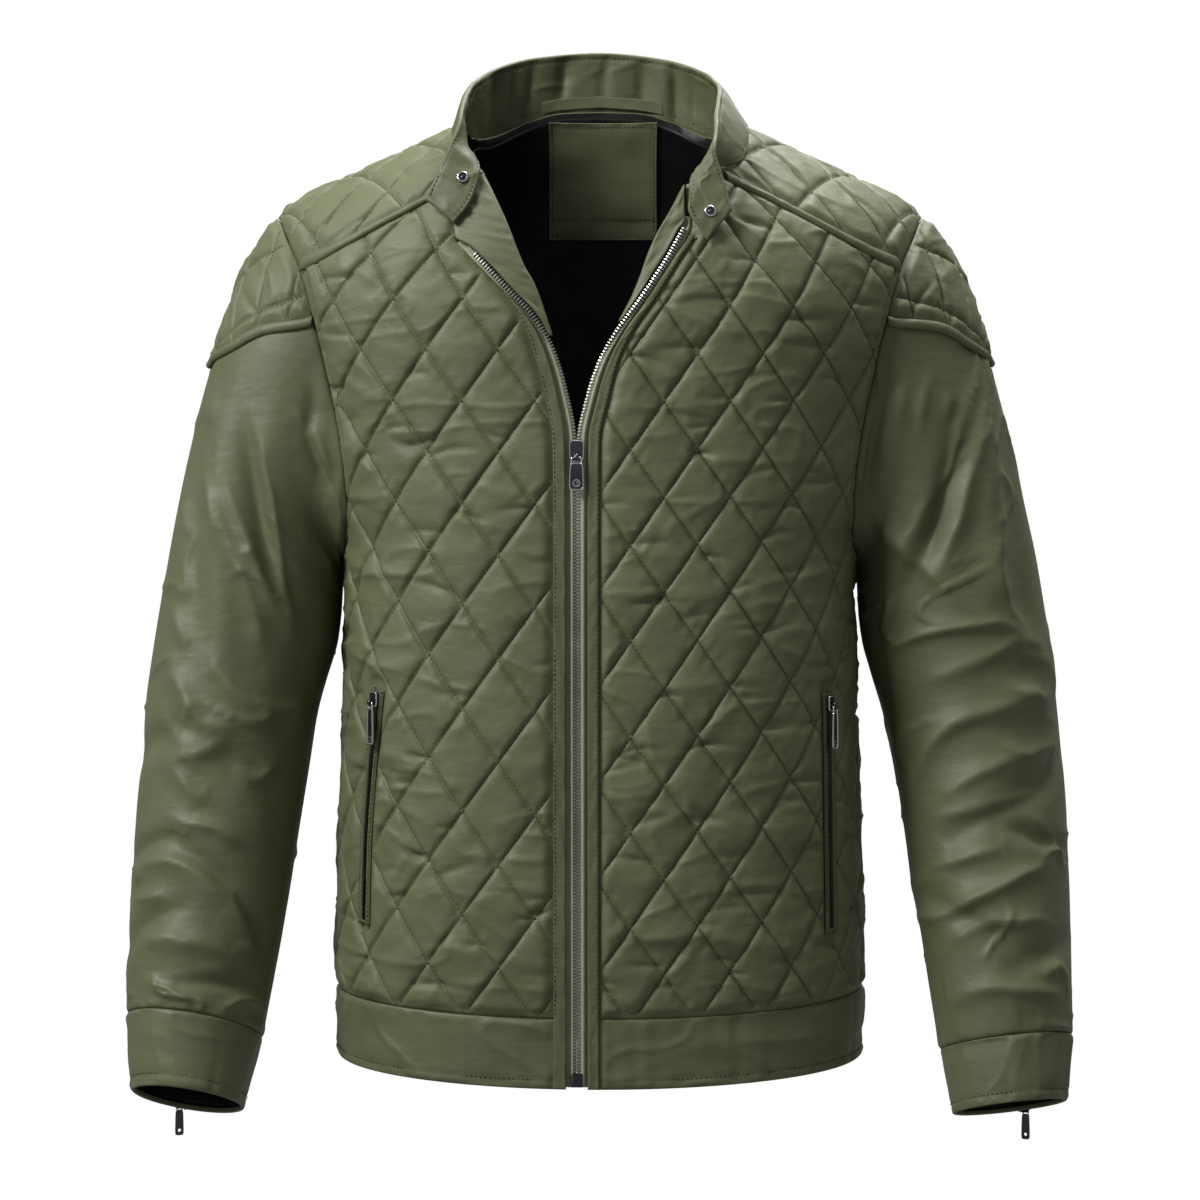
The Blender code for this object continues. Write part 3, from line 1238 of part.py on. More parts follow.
def make_collar():
    """The stand collar, gathered on its inner face at the nape."""
    along, up = np.meshgrid(np.linspace(0, 1, COLLAR_COLUMNS + 1), np.linspace(0, 1, COLLAR_ROWS + 1))
    middle, normal = collar_middle(along, up), collar_normals(along, up)
    nape = smoothstep(0.36, 0.42, along) * smoothstep(0.64, 0.58, along)
    tuck = np.cos((along - 0.5) * math.pi * 2 * COLLAR_TUCKS / 0.26) * nape * np.sin(math.pi * up)
    inner = middle + normal * (COLLAR_WALL / 2 + COLLAR_TUCK_DEPTH * 0.5 * tuck)[..., None]
    outer = middle - normal * (COLLAR_WALL / 2 + 0.8 * MM * np.sin(math.pi * up))[..., None]
    wall("collar", outer, inner, "shell_plain", False)


# ---------------------------------------------------------------- what lies inside the neck
# distance below the neck seam, offset from the body's cloth
LINING_LIFT = ((0, -2.0), (12, -3.4), (30, -5.0), (400, -5.0))
LINING_HALF = 104 * MM
LINING_LOW = -262 * MM


def inside_back(x, z, extra=0.0):
    """Places inside the back of the body, on the lining or a distance further in."""
    angle, row = torso_at(x, z)
    seam = read([(row[0], row[1]) for row in NECK_BACK], 1, np.abs(x) / MM)
    lift = read(LINING_LIFT, 1, seam - z / MM) * MM - 2.0 * MM * smoothstep(0.05, 0.09, np.abs(x)) - extra
    return BACK_CHART.surface(angle, row) + BACK_CHART.normals(angle, row) * lift[..., None]


def make_back_lining():
    """The black lining that the neck opening shows."""
    x = np.linspace(-LINING_HALF, LINING_HALF, 13)
    seam = read([(row[0], row[1]) for row in NECK_BACK], 1, np.abs(x) / MM) * MM
    top = np.minimum(seam, shoulder_z(x) - 6 * MM) - 3 * MM
    share = np.linspace(0, 1, 10)[:, None] ** 1.3
    z = top + (LINING_LOW - top) * share
    x = np.broadcast_to(x, z.shape)
    wall("back_lining", inside_back(x, z, LINING_WALL), inside_back(x, z), "lining", False)


def make_neck_patch():
    """The blank patch sewn on the lining."""
    width, height = PATCH_SIZE
    across, down = np.linspace(-width / 2, width / 2, 8), np.linspace(0, height, 7)
    x, z = np.meshgrid(PATCH_MIDDLE + across, PATCH_TOP - down)
    near = LINING_WALL + SEAM_GAP + 1.0 * MM
    wall("neck_patch", inside_back(x, z, near + PATCH_WALL), inside_back(x, z, near), "shell_plain", False)


def make_neck_tape():
    """The tape over the collar's seam at the nape."""
    along, up = np.meshgrid(np.linspace(0.452, 0.552, 11), np.linspace(0.04, 0.24, 3))
    middle, normal = collar_middle(along, up), collar_normals(along, up)
    near = COLLAR_WALL / 2 + 1.0 * MM
    wall("neck_tape", middle + normal * (near + 0.8 * MM), middle + normal * near, "shell_plain", False)


# ---------------------------------------------------------------- pockets and cuff zips
POCKET_LIP = 3.6 * MM        # top of the pocket's two lips over the cloth
POCKET_FLOOR = 2.1 * MM
POCKET_ZIP_HALF = 2.2 * MM
CUFF_ZIP_HALF = 3.0 * MM
CUFF_ZIP_TOP = LAID + 1.8 * MM


def make_pockets():
    """The two lips of each pocket and the zip between them."""
    low, shoulder = LAID + 0.3 * MM, POCKET_LIP - 0.5 * MM
    edge = POCKET_LIP - 0.3 * MM
    lips = ((0, low), (0.04, shoulder), (0.15, POCKET_LIP), (0.25, edge), (0.26, POCKET_FLOOR),
            (0.74, POCKET_FLOOR), (0.75, edge), (0.85, POCKET_LIP), (0.96, shoulder), (1, low))
    bottom, top = POCKET_FLOOR + 0.3 * MM, POCKET_FLOOR + 1.2 * MM
    chain = ((0, bottom), (0, top), (1, top), (1, bottom))
    for side in ("right", "left"):
        line = pocket_line(side, 9)
        left, right = beside(line, POCKET_WELT_HALF), beside(line, -POCKET_WELT_HALF)
        strip("pocket_welt_" + side, FRONT_CHART, left, right, lips, "shell_plain")
        line = trim(line, 2.5 * MM, 2.5 * MM)
        left, right = beside(line, POCKET_ZIP_HALF), beside(line, -POCKET_ZIP_HALF)
        strip("pocket_zip_" + side, FRONT_CHART, left, right, chain, "zip_teeth")


def make_cuff_zips():
    """The short zip at the back of each cuff."""
    bottom = LAID + 0.7 * MM
    profile = ((0, bottom), (0, CUFF_ZIP_TOP), (1, CUFF_ZIP_TOP), (1, bottom))
    for side, chart in SLEEVE_CHARTS.items():
        line = chart.flat(np.full(6, CUFF_ZIP_TURN[side]), np.linspace(CUFF_ROW + 0.12, RIM_ROW - 0.05, 6))
        left, right = beside(line, CUFF_ZIP_HALF), beside(line, -CUFF_ZIP_HALF)
        strip("cuff_zip_" + side, chart, left, right, profile, "zip_teeth")


# ---------------------------------------------------------------- metal hardware
# Each piece is made in a frame of its own: X across the zip, Y out of the cloth, Z up, origin on the axis.
# width, thickness and height of the slider's body
SLIDER = {"main": (10.0, 3.0, 15.5), "pocket": (7.6, 2.4, 11.0), "cuff": (7.6, 2.2, 9.0)}
# width, length and thickness of the pull's tab, radius of its hole, height of the hole over the tab's end
PULL = {
    "main": (10.8, 19.0, 1.6, 2.1, 5.0),
    "pocket": (7.0, 26.0, 1.5, 1.3, 4.0),
    "cuff": (6.4, 18.5, 1.5, 1.2, 3.6),
}
AXIS_OVER = 2.1 * MM         # the pull's axis over the slider's body
AXIS_FROM_END = 3.0 * MM     # and over its lower end
EAR_GAP, EAR = 4.6 * MM, 1.2 * MM
PIN_RADIUS, BORE_RADIUS, BARREL_RADIUS, BARREL = 0.7 * MM, 1.05 * MM, 1.7 * MM, 4.0 * MM
NECK_LENGTH = 3.2 * MM


def upright(across, out):
    """Rotation whose X runs across, Y points out and Z stands up."""
    out = Vector(out).normalized()
    across = Vector(across)
    across = (across - out * across.dot(out)).normalized()
    return Matrix((across, out, across.cross(out))).transposed().to_4x4()


def front_metal_place(kind, x, axis_z, base):
    """Frame of a slider and its pull on the front, the slider's body standing a height over the cloth."""
    angle, row = torso_at(x, axis_z)
    out = Vector(FRONT_CHART.normals(angle, row))
    out.z = 0
    out.normalize()
    origin = Vector(FRONT_CHART.surface(angle, row)) + out * (base + SLIDER[kind][1] * MM + AXIS_OVER)
    return Matrix.Translation(origin) @ upright(out.cross(Vector((0, 0, 1))), out)


def pocket_metal_place(side):
    """Frame of a pocket's slider and pull."""
    z = POCKET_LINE[side][0][0] * MM - 10 * MM
    return front_metal_place("pocket", float(edge_x(POCKET_LINE, side, z)), z, POCKET_LIP + SEAM_GAP)


def main_metal_place():
    """Frame of the main zip's slider and pull."""
    return front_metal_place("main", ZIP_X, MAIN_AXIS_Z, TEETH_TOP + SEAM_GAP)


def cuff_metal_places(side):
    """Frames of the cuff's slider and of its pull, which hangs straight down."""
    chart = SLEEVE_CHARTS[side]
    turn, section = np.array(CUFF_ZIP_TURN[side]), CUFF_AXIS_SECTION[side]
    out = Vector(chart.normals(turn, section))
    height = CUFF_ZIP_TOP + SEAM_GAP + SLIDER["cuff"][1] * MM + AXIS_OVER
    origin = Vector(chart.surface(turn, section)) + out * height
    across = out.cross(Vector((0, 0, 1)))
    level = Vector((out.x, out.y, 0))
    return [Matrix.Translation(origin) @ upright(across, way) for way in (out, level)]


def snap_place(side):
    """Frame of a snap on the collar's inner face."""
    along, up = SNAP_PLACE[side]
    out = Vector(collar_normals(along, up))
    origin = Vector(collar_middle(along, up)) + out * (COLLAR_WALL / 2 + SEAM_GAP + 0.35 * MM)
    return Matrix.Translation(origin) @ upright((1, 0, 0), out)


def finished_shape(body, transform):
    """A temporary object from a bmesh shape, moved into its place."""
    body.transform(transform)
    mesh = bpy.data.meshes.new("shape")
    body.to_mesh(mesh)
    body.free()
    made = bpy.data.objects.new("shape", mesh)
    CUTTERS.objects.link(made)
    return made


def box(size, centre, corner=0.0):
    """A box; corner rounds the four edges that run along Y."""
    body = bmesh.new()
    bmesh.ops.create_cube(body, size=1.0)
    bmesh.ops.scale(body, vec=size, verts=body.verts)
    if corner:
        ways = {edge: (edge.verts[0].co - edge.verts[1].co).normalized() for edge in body.edges}
        edges = [edge for edge, way in ways.items() if abs(way.y) > 0.9]
        bmesh.ops.bevel(body, geom=edges, offset=corner, segments=2, affect="EDGES", profile=0.5)
    return finished_shape(body, Matrix.Translation(centre))


def rod(radius, length, centre, along, sides=16):
    """A cylinder along X or Y."""
    body = bmesh.new()
    bmesh.ops.create_cone(body, segments=sides, radius1=radius, radius2=radius, depth=length, cap_ends=True)
    turn = Matrix.Rotation(QUARTER, 4, "Y") if along == "X" else Matrix.Rotation(QUARTER, 4, "X")
    return finished_shape(body, Matrix.Translation(centre) @ turn)


def assemble(name, finish, placed, base, added=(), removed=()):
    """One body from a base shape, shapes joined to it and shapes cut out of it."""
    for shape, operation in [(one, "UNION") for one in added] + [(one, "DIFFERENCE") for one in removed]:
        cut = base.modifiers.new(operation.lower(), "BOOLEAN")
        cut.operation = operation
        cut.solver = "EXACT"
        cut.object = shape
    bpy.context.view_layer.update()
    mesh = bpy.data.meshes.new_from_object(base.evaluated_get(bpy.context.evaluated_depsgraph_get()))
    mesh.shade_smooth()
    mesh.set_sharp_from_angle(angle=math.radians(35))
    for shape in (base, *added, *removed):
        bpy.data.objects.remove(shape)
    made = bpy.data.objects.new(name, mesh)
    made.matrix_world = placed
    made.data.materials.clear()
    made.data.materials.append(material(name, finish))
    PARTS.objects.link(made)


def make_slider(name, kind, placed):
    """A slider's body with two ears and the pin between them."""
    width, thick, height = (value * MM for value in SLIDER[kind])
    low = -AXIS_OVER - thick
    body = box((width, thick, height), (0, low + thick / 2, height / 2 - AXIS_FROM_END), 1.8 * MM)
    ear_low = -AXIS_OVER - 0.5 * MM
    ear_top = 1.3 * MM
    size = (EAR, ear_top - ear_low, 4.4 * MM)
    across = EAR_GAP / 2 + EAR / 2
    ears = [box(size, (way * across, (ear_low + ear_top) / 2, 0), 0) for way in (-1, 1)]
    pin = rod(PIN_RADIUS, EAR_GAP + EAR, (0, 0, 0), "X")
    assemble(name, "zip_metal", placed, body, [*ears, pin])


def make_pull(name, kind, placed):
    """A pull: a barrel round the pin, a neck and a tab with an eye."""
    width, length, thick, hole, hole_height = (value * MM for value in PULL[kind])
    barrel = rod(BARREL_RADIUS, BARREL, (0, 0, 0), "X")
    neck = box((3.6 * MM, 1.1 * MM, NECK_LENGTH), (0, 0, -NECK_LENGTH / 2 - 0.9 * MM))
    tab = box((width, thick, length), (0, 0, -NECK_LENGTH - length / 2), 1.6 * MM)
    bore = rod(BORE_RADIUS, BARREL * 2, (0, 0, 0), "X")
    eye = rod(hole, thick * 3, (0, 0, -NECK_LENGTH - length + hole_height), "Y")
    assemble(name, "zip_metal", placed, barrel, [neck, tab], [bore, eye])


def make_snap(side):
    """The socket half of a snap: a cap, a ring and its recess."""
    cap = rod(4.2 * MM, 0.9 * MM, (0, 0.45 * MM, 0), "Y", 20)
    ring = rod(2.7 * MM, 1.2 * MM, (0, 1.1 * MM, 0), "Y")
    recess = rod(1.5 * MM, 2.0 * MM, (0, 1.8 * MM, 0), "Y")
    assemble("snap_" + side, "zip_metal", snap_place(side), cap, [ring], [recess])


def make_zip_box():
    """The box at the foot of the main zip."""
    x, z = ZIP_X, ZIP_BOTTOM - SEAM_GAP - 0.2 * MM - ZIP_BOX[2] / 2
    angle, row = torso_at(x, z)
    turned = upright((-1, 0, 0), FRONT_CHART.normals(angle, row))
    placed = Matrix.Translation(FRONT_CHART.surface(angle, row)) @ turned
    block = box(ZIP_BOX, (0, 0.2 * MM, 0), 1.0 * MM)
    groove = box((0.8 * MM, 1.0 * MM, ZIP_BOX[2] * 0.7), (0, 0.2 * MM + ZIP_BOX[1] / 2, ZIP_BOX[2] * 0.2))
    assemble("zip_box", "zip_metal", placed, block, (), [groove])


# ---------------------------------------------------------------- start of the build
def make_cloth():
    """Every piece of cloth and the zips sewn to it."""
    lean = seam_normals(SLEEVE_CHARTS)
    make_body_panels(lean)
    make_sleeve_heads(lean)
    make_sleeves()
    make_cuffs()
    make_hem()
    make_piping()
    make_front_edges()
    make_collar()
    make_back_lining()
    make_neck_patch()
    make_neck_tape()
    make_pockets()
    make_cuff_zips()


def make_hardware():
    """Every metal piece."""
    make_slider("main_slider", "main", main_metal_place())
    make_pull("main_pull", "main", main_metal_place())
    for side in ("right", "left"):
        make_slider("pocket_slider_" + side, "pocket", pocket_metal_place(side))
        make_pull("pocket_pull_" + side, "pocket", pocket_metal_place(side))
        slider_place, pull_place = cuff_metal_places(side)
        make_slider("cuff_slider_" + side, "cuff", slider_place)
        make_pull("cuff_pull_" + side, "cuff", pull_place)
        make_snap(side)
    make_zip_box()


make_cloth()
make_hardware()
bpy.data.collections.remove(CUTTERS)
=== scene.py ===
"""Dressed scene of the quilted zip jacket: every cloth piece made fine over its solid, with its quilting,
creases, stitches, zip teeth and materials, a pale backdrop, soft studio light and the camera.

Metres, +Z up, the wearer faces -Y; "right" and "left" are the wearer's, so the right side is -X.
Tables are in millimetres.
"""
import math

import bmesh
import bpy
import numpy as np
from mathutils import Matrix, Vector
from mathutils.geometry import delaunay_2d_cdt


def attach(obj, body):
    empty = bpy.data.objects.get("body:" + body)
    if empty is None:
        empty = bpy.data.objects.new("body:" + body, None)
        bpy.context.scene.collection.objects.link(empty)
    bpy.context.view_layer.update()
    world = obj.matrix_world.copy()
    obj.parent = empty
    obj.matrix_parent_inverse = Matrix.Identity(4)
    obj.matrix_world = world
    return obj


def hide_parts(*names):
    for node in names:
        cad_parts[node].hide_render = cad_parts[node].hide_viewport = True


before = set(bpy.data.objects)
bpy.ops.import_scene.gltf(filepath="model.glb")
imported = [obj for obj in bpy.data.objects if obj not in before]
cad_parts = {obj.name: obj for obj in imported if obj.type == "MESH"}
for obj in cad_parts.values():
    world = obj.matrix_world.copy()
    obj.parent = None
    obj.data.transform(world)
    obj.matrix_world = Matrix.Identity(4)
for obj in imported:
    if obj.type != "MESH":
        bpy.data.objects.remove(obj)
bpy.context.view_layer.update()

MM = 0.001

# ---------------------------------------------------------------- driving dimensions
SEAM_GAP = 0.3 * MM          # between two pieces that are sewn together
WALL = 2.5 * MM              # padded cloth, stitched flat
COLLAR_WALL = 3.6 * MM
LINING_WALL = 1.0 * MM

ROLL_START = -160 * MM       # height where the chest begins to roll over the shoulder
HEM_SIDE = -665 * MM         # lower edge at the side seams
HEM_CENTRE = -676 * MM       # lower edge at the centre front and back
HEM_BAND = 49 * MM
ROUNDNESS = 2.5              # exponent of the body's cross-section: 2 is an ellipse
YOKE_SEAM_SAMPLE = 4         # armhole sample where the yoke seams end
HEAD_SEAM_SAMPLE = 6         # armhole sample where the sleeve head ends
ARMHOLE_SAMPLES = 32
CHORD = 17 * MM              # longest straight run along a seam
YOKE_CHORD = 9 * MM          # the same where the yoke meets the fronts

# z, half_width, front_depth, back_depth
BODY_SECTIONS = (
    (-676, 188.5, 121, 113),
    (-630, 189.0, 123, 114),
    (-586, 188.0, 126, 114),
    (-528, 186.5, 129, 114),
    (-455, 184.0, 132, 115),
    (-411, 182.8, 134, 117),
    (-367, 182.3, 135, 120),
    (-330, 181.0, 136, 123),
    (-301, 182.0, 136, 125),
    (-275, 190.0, 136, 126),
    (-242, 198.5, 136, 127),
    (-208, 205.0, 136, 127),
    (-176, 213.0, 136, 126),
    (-150, 220.5, 136, 125),
    (-128, 228.0, 136, 125),
    (-102, 236.0, 136, 125),
    (-79, 244.0, 136, 125),
    (-56, 250.0, 136, 125),
)
# distance from the centre, ridge_z
SHOULDER_RIDGE = (
    (0, 85), (30, 80), (55, 68), (79, 38), (92, 16), (101, 4.5),
    (120, -4.5), (146, -16.8), (190, -37), (220, -51.5), (234, -59.5), (252, -71),
)
# distance from the centre, z on the front; the back has the same outline
ARMHOLE = (
    (234.5, -59.8), (230, -66), (224, -79), (213, -102), (205, -128), (199, -150), (193, -176),
    (186, -208), (180.5, -242), (178, -272), (179, -292), (182, -301),
)
# distance from the centre, z on the front
YOKE_FRONT_SEAM = ((80, -41.5), (100, -50), (122, -60.5), (146, -73), (170, -85), (193, -95.5), (212, -104))
# distance from the centre, z on the back
YOKE_BACK_SEAM = ((0, -88), (60, -88), (120, -90), (170, -94), (212, -104))
# distance from the centre, z on the front, from the shoulder ridge forward
NECK_FRONT = ((101, 4.5), (99.5, -4), (95, -18), (88, -31), (80, -41.5))
# the same on to the left front's edge, which ends lower than the right one's
NECK_CORNER = ((80, -41.5), (68, -47), (59.5, -51))
# distance from the centre, z on the back, from the middle out
NECK_BACK = ((0, 31), (30, 29.5), (55, 22), (75, 12), (88, 6), (97, 4), (101, 4.5))

# z, x of the quilted front's free edge: under the collar's foot, beside the teeth, beside the closed zip
FRONT_EDGE = {
    "right": ((-41.5, -80.2), (-48, -82.5), (-64, -87.5), (-80, -99), (-90, -99.3), (-98, -92.5),
              (-121.6, -70), (-145.5, -48.5), (-165.4, -38.5), (-194.8, -30), (-228.4, -24.3),
              (-300, -23.5), (-450, -23.5), (-676, -23.5)),
    "left": ((-51, 59.5), (-66, 59.8), (-78, 63.5), (-86, 62), (-99.3, 53.5), (-131.5, 33),
             (-155.1, 16.2), (-177, 5.0), (-203, -2.6), (-228.4, -7.8), (-300, -8.5), (-450, -8.5),
             (-676, -8.5)),
}
# z, x of the middle of each row of the zip's teeth
TEETH_LINE = {
    "right": ((-97.5, -87.6), (-121.6, -66), (-145.5, -44), (-165.4, -33), (-194.8, -24), (-228.4, -17.9),
              (-245, -17.6), (-676, -17.6)),
    "left": ((-81.3, 58.5), (-99.3, 49), (-131.5, 28.5), (-155.1, 11.4), (-177, -0.7), (-203, -9),
             (-228.4, -14.1), (-245, -14.4), (-676, -14.4)),
}
# z, x of the roll line (the edge of the neck opening) and of the lapel's outer edge beside the teeth
LAPEL = {
    "right": ((-44, -79.3, -79.9), (-50, -76.5, -82), (-64, -70, -86), (-80, -63, -97), (-88, -60, -94),
              (-96, -57, -84.6), (-108, -52, -75), (-121.6, -44.5, -62.8), (-145.5, -36, -41.0),
              (-157, -32.4, -34.8)),
    "left": ((-52, 57, 57.8), (-60, 53, 57.8), (-70, 48, 58), (-77, 44, 58.5), (-83, 40.5, 54.2),
             (-99.3, 33, 45.6), (-115, 27.5, 35.8), (-131.5, 20.7, 25.2), (-147, 12.4, 14.2)),
}
WELT_WIDTH = {
    # z, width of the plain welt beside the teeth
    "right": ((-128, 2.5), (-150, 5.5), (-175, 8.0), (-676, 8.4)),
    "left": ((-88, 4.0), (-131, 4.6), (-160, 5.5), (-200, 7.6), (-676, 7.8)),
}
LAPEL_LIFT = {"right": 3.4, "left": 2.6}     # how far the turned edge stands off the chest
LAPEL_RISE = (-178, -128)                    # heights between which the edge turns out
ZIP_BOTTOM = -664 * MM
ZIP_X = -16 * MM

# quilting: middle of one crossing and the full width and height of a diamond
# panel: s, t, width, height
QUILT = {
    "front_right": (-44.6, 474, 50.7, 71.1),
    "front_left": (43.9, 474, 46.0, 65.8),
    "back": (0, 474, 50.0, 70.0),
    "yoke": (0, 12, 50.0, 66.0),
    "sleeve_head": (0, 14, 48.0, 58.0),
}

# outer_x, outer_z, inner_x, inner_z: distances of the outline from the middle plane, seen from the front
# centre_y, half_depth, tilt_deg: the ring's middle, half its size front to back, how far its front is lifted
SLEEVE_SECTIONS = {
    "right": (
        (234, -60, 182, -301, 0, 75, 0),
        (261, -108, 187, -309, 0, 74, 0),
        (284, -175, 188.5, -322, -2, 72, 0),
        (295, -221, 189, -333, -3, 70, 0),
        (304, -264, 189.5, -345, -4, 68, 0),
        (313, -313, 192, -367, -6, 66, 0),
        (320.5, -360, 198.5, -390, -9, 64, 2),
        (327, -410, 206, -419, -14, 62, 4),
        (330.5, -460, 213, -465, -20, 60, 8),
        (333, -504, 219, -507, -28, 58, 12),
        (334.5, -539, 223.5, -540.5, -36, 55, 15),
        (334.5, -574, 229.5, -579, -46, 52, 18),
        (334.5, -612, 236, -619, -56, 48, 19),
        (333.5, -633, 241, -647, -62, 45.5, 20),
        (328.5, -685, 252.5, -695.5, -75, 41, 20),
    ),
    "left": (
        (234, -60, 182, -301, 0, 75, 0),
        (263, -105, 187, -309, 0, 74, 0),
        (285, -175, 188.5, -322, -2, 72, 0),
        (296, -218, 189, -333, -3, 70, 0),
        (307, -266, 189.5, -345, -4, 68, 0),
        (318, -318, 192, -367, -6, 66, 0),
        (324, -361, 198, -390, -9, 64, 2),
        (329.5, -418, 208, -425, -14, 62, 4),
        (333.5, -465, 216, -467, -20, 60, 7),
        (334.5, -507, 221.5, -507, -28, 58, 10),
        (335.5, -539, 225.5, -542, -35, 55, 12),
        (334.5, -574, 231, -575, -44, 52, 14),
        (334.5, -615, 236, -613, -54, 48, 15),
        (333.5, -647, 243, -656.5, -61, 45.5, 15),
        (328, -692, 250.5, -700.5, -72, 41, 15),
    ),
}
CUFF_ROW = 13                # sleeve section where the cuff is sewn on
RIM_ROW = 14
ARMHOLE_BLEND = 1.6          # sections over which the sleeve leaves the armhole's outline

# share of a turn from the top of the sleeve, distance down from the armhole
HEAD_SEAM = ((0.0, 118), (0.03, 117), (0.06, 105), (0.09, 92), (0.12, 74), (0.15, 42), (0.1875, 0))

# collar stations from the right front end round the back to the left front end
# foot_x, foot_z on the front (-1), ridge (0) or back (1) of the body; lift off it; top_x, top_y, top_z
COLLAR_STATIONS = (
    (-98, -81, -1, 8.0, -121, -115, -61),
    (-85, -64, -1, 8.0, -113, -113, -43),
    (-80, -43, -1, 7.0, -106, -112, -27),
    (-91.5, -25, -1, 5.0, -97.5, -100, -1),
    (-98.5, -7, -1, 4.0, -96, -64, 17),
    (-101, 4.5, 0, 4.0, -93, -8, 37),
    (-88, 6, 1, 4.0, -85, 40, 53),
    (-55, 22, 1, 4.0, -54, 67, 69),
    (0, 31, 1, 4.0, 0, 75, 75),
    (55, 22, 1, 4.0, 52, 67, 68),
    (88, 6, 1, 4.0, 82, 40, 51),
    (101, 4.5, 0, 4.0, 86, -8, 36),
    (98.5, -7, -1, 4.0, 83, -64, 16),
    (92, -26, -1, 5.5, 80, -101, -4),
    (64, -48, -1, 8.0, 80, -121, -27),
    (59, -70, -1, 8.0, 85, -124, -47),
    (72, -93, -1, 8.0, 91, -128, -70),
)

# pocket: z, x of the zip's line
POCKET_LINE = {
    "right": ((-400, -153.5), (-439, -157.5), (-466, -160), (-509, -163), (-566, -164.5)),
    "left": ((-403, 158), (-440, 159), (-509, 160), (-572, 161)),
}
POCKET_WELT_HALF = 5.6 * MM
MAIN_AXIS_Z = -241 * MM      # height of the main pull's axis
CUFF_AXIS_SECTION = {"right": 13.93, "left": 13.95}
CUFF_ZIP_TURN = {"right": -0.207, "left": -0.19}      # place of the cuff's zip round the sleeve
# place of each snap on the collar: share along it from the right end, share up it
SNAP_PLACE = {"right": (0.09, 0.38), "left": (0.972, 0.42)}

# blank patch inside the back of the neck
PATCH_SIZE = (84 * MM, 86 * MM)
PATCH_MIDDLE = 2.5 * MM
PATCH_TOP = 25 * MM
PATCH_WALL = 1.2 * MM


# ---------------------------------------------------------------- reading tables
def knot_slopes(knots, values):
    """Slopes at the knots that bend smoothly and never overshoot a value."""
    steps = np.diff(values) / np.diff(knots)
    before, after = steps[:-1], steps[1:]
    same_way = before * after > 0
    total = np.where(same_way, before + after, 1.0)
    middle = np.where(same_way, 2 * before * after / total, 0.0)
    return np.concatenate([steps[:1], middle, steps[-1:]])


def read(table, column, at):
    """One column of a table against its first column, as a smooth curve, in the table's units."""
    rows = sorted(table, key=lambda row: row[0])
    knots = np.array([row[0] for row in rows], float)
    values = np.array([row[column] for row in rows], float)
    slopes = knot_slopes(knots, values)
    at = np.clip(np.asarray(at, float), knots[0], knots[-1])
    i = np.clip(np.searchsorted(knots, at) - 1, 0, len(knots) - 2)
    span = knots[i + 1] - knots[i]
    u = (at - knots[i]) / span
    first = (1 + 2 * u) * (1 - u) ** 2 * values[i] + u * (1 - u) ** 2 * span * slopes[i]
    second = u ** 2 * (3 - 2 * u) * values[i + 1] + u ** 2 * (u - 1) * span * slopes[i + 1]
    return first + second


def smoothstep(low, high, value):
    """0 below low, 1 above high and a smooth rise between them."""
    u = np.clip((value - low) / (high - low), 0, 1)
    return u * u * (3 - 2 * u)


def sign_of(side):
    """The side's direction along X."""
    return -1.0 if side == "right" else 1.0


# ---------------------------------------------------------------- the body's surface
FRONT, BACK = -1.0, 1.0


def shoulder_z(x):
    """Height of the shoulder ridge at a distance from the centre."""
    return read(SHOULDER_RIDGE, 1, np.abs(x) / MM) * MM


def superellipse_reach(angle):
    """Distance of the body's cross-section from its middle, for half sizes of 1."""
    return (np.abs(np.sin(angle)) ** ROUNDNESS + np.abs(np.cos(angle)) ** ROUNDNESS) ** (-1 / ROUNDNESS)


def hem_z(angle):
    """Height of the lower edge, round from the centre line to the side seam."""
    return HEM_SIDE + (HEM_CENTRE - HEM_SIDE) * np.cos(angle) ** 2


def torso_point(angle, row, face):
    """A point on the body: angle from the centre line to the side seam, row 0 the hem,
    1 where the shoulder starts to roll over, 2 the shoulder ridge; face is FRONT or BACK."""
    angle, row, face = np.broadcast_arrays(np.asarray(angle, float), row, face)
    roll = np.clip(row - 1, 0, 1) * math.pi / 2
    upright_z = hem_z(angle) + (ROLL_START - hem_z(angle)) * np.clip(row, 0, 1)
    across = np.sin(angle) * superellipse_reach(angle)
    z = upright_z
    for _ in range(16):
        x = read(BODY_SECTIONS, 1, z / MM) * MM * across
        z = np.where(roll > 0, ROLL_START + (shoulder_z(x) - ROLL_START) * np.sin(roll), upright_z)
    x = read(BODY_SECTIONS, 1, z / MM) * MM * across
    front, back = (read(BODY_SECTIONS, column, upright_z / MM) * MM for column in (2, 3))
    depth = np.where(face < 0, front, back)
    y = face * depth * np.cos(roll) * np.cos(angle) * superellipse_reach(angle)
    return np.stack([x, y, z], axis=-1)


def torso_at(x, z):
    """The angle and row of the body's surface at a place seen from the front or the back."""
    x, z = np.asarray(x, float), np.asarray(z, float)
    across = np.clip(x / (read(BODY_SECTIONS, 1, z / MM) * MM), -1, 1)
    along = (1 - np.abs(across) ** ROUNDNESS) ** (1 / ROUNDNESS)
    angle = np.arctan2(across, along)
    lift = np.clip((z - ROLL_START) / (shoulder_z(x) - ROLL_START), 0, 1)
    upright = (z - hem_z(angle)) / (ROLL_START - hem_z(angle))
    row = np.where(z > ROLL_START, 1 + np.arcsin(lift) * 2 / math.pi, upright)
    return angle, row


def over_shoulder(angle, row):
    """The body's surface with one row that runs up the front (-1 to 0) and down the back (0 to 1)."""
    return torso_point(angle, 2 - np.abs(row), np.where(np.asarray(row) < 0, FRONT, BACK))


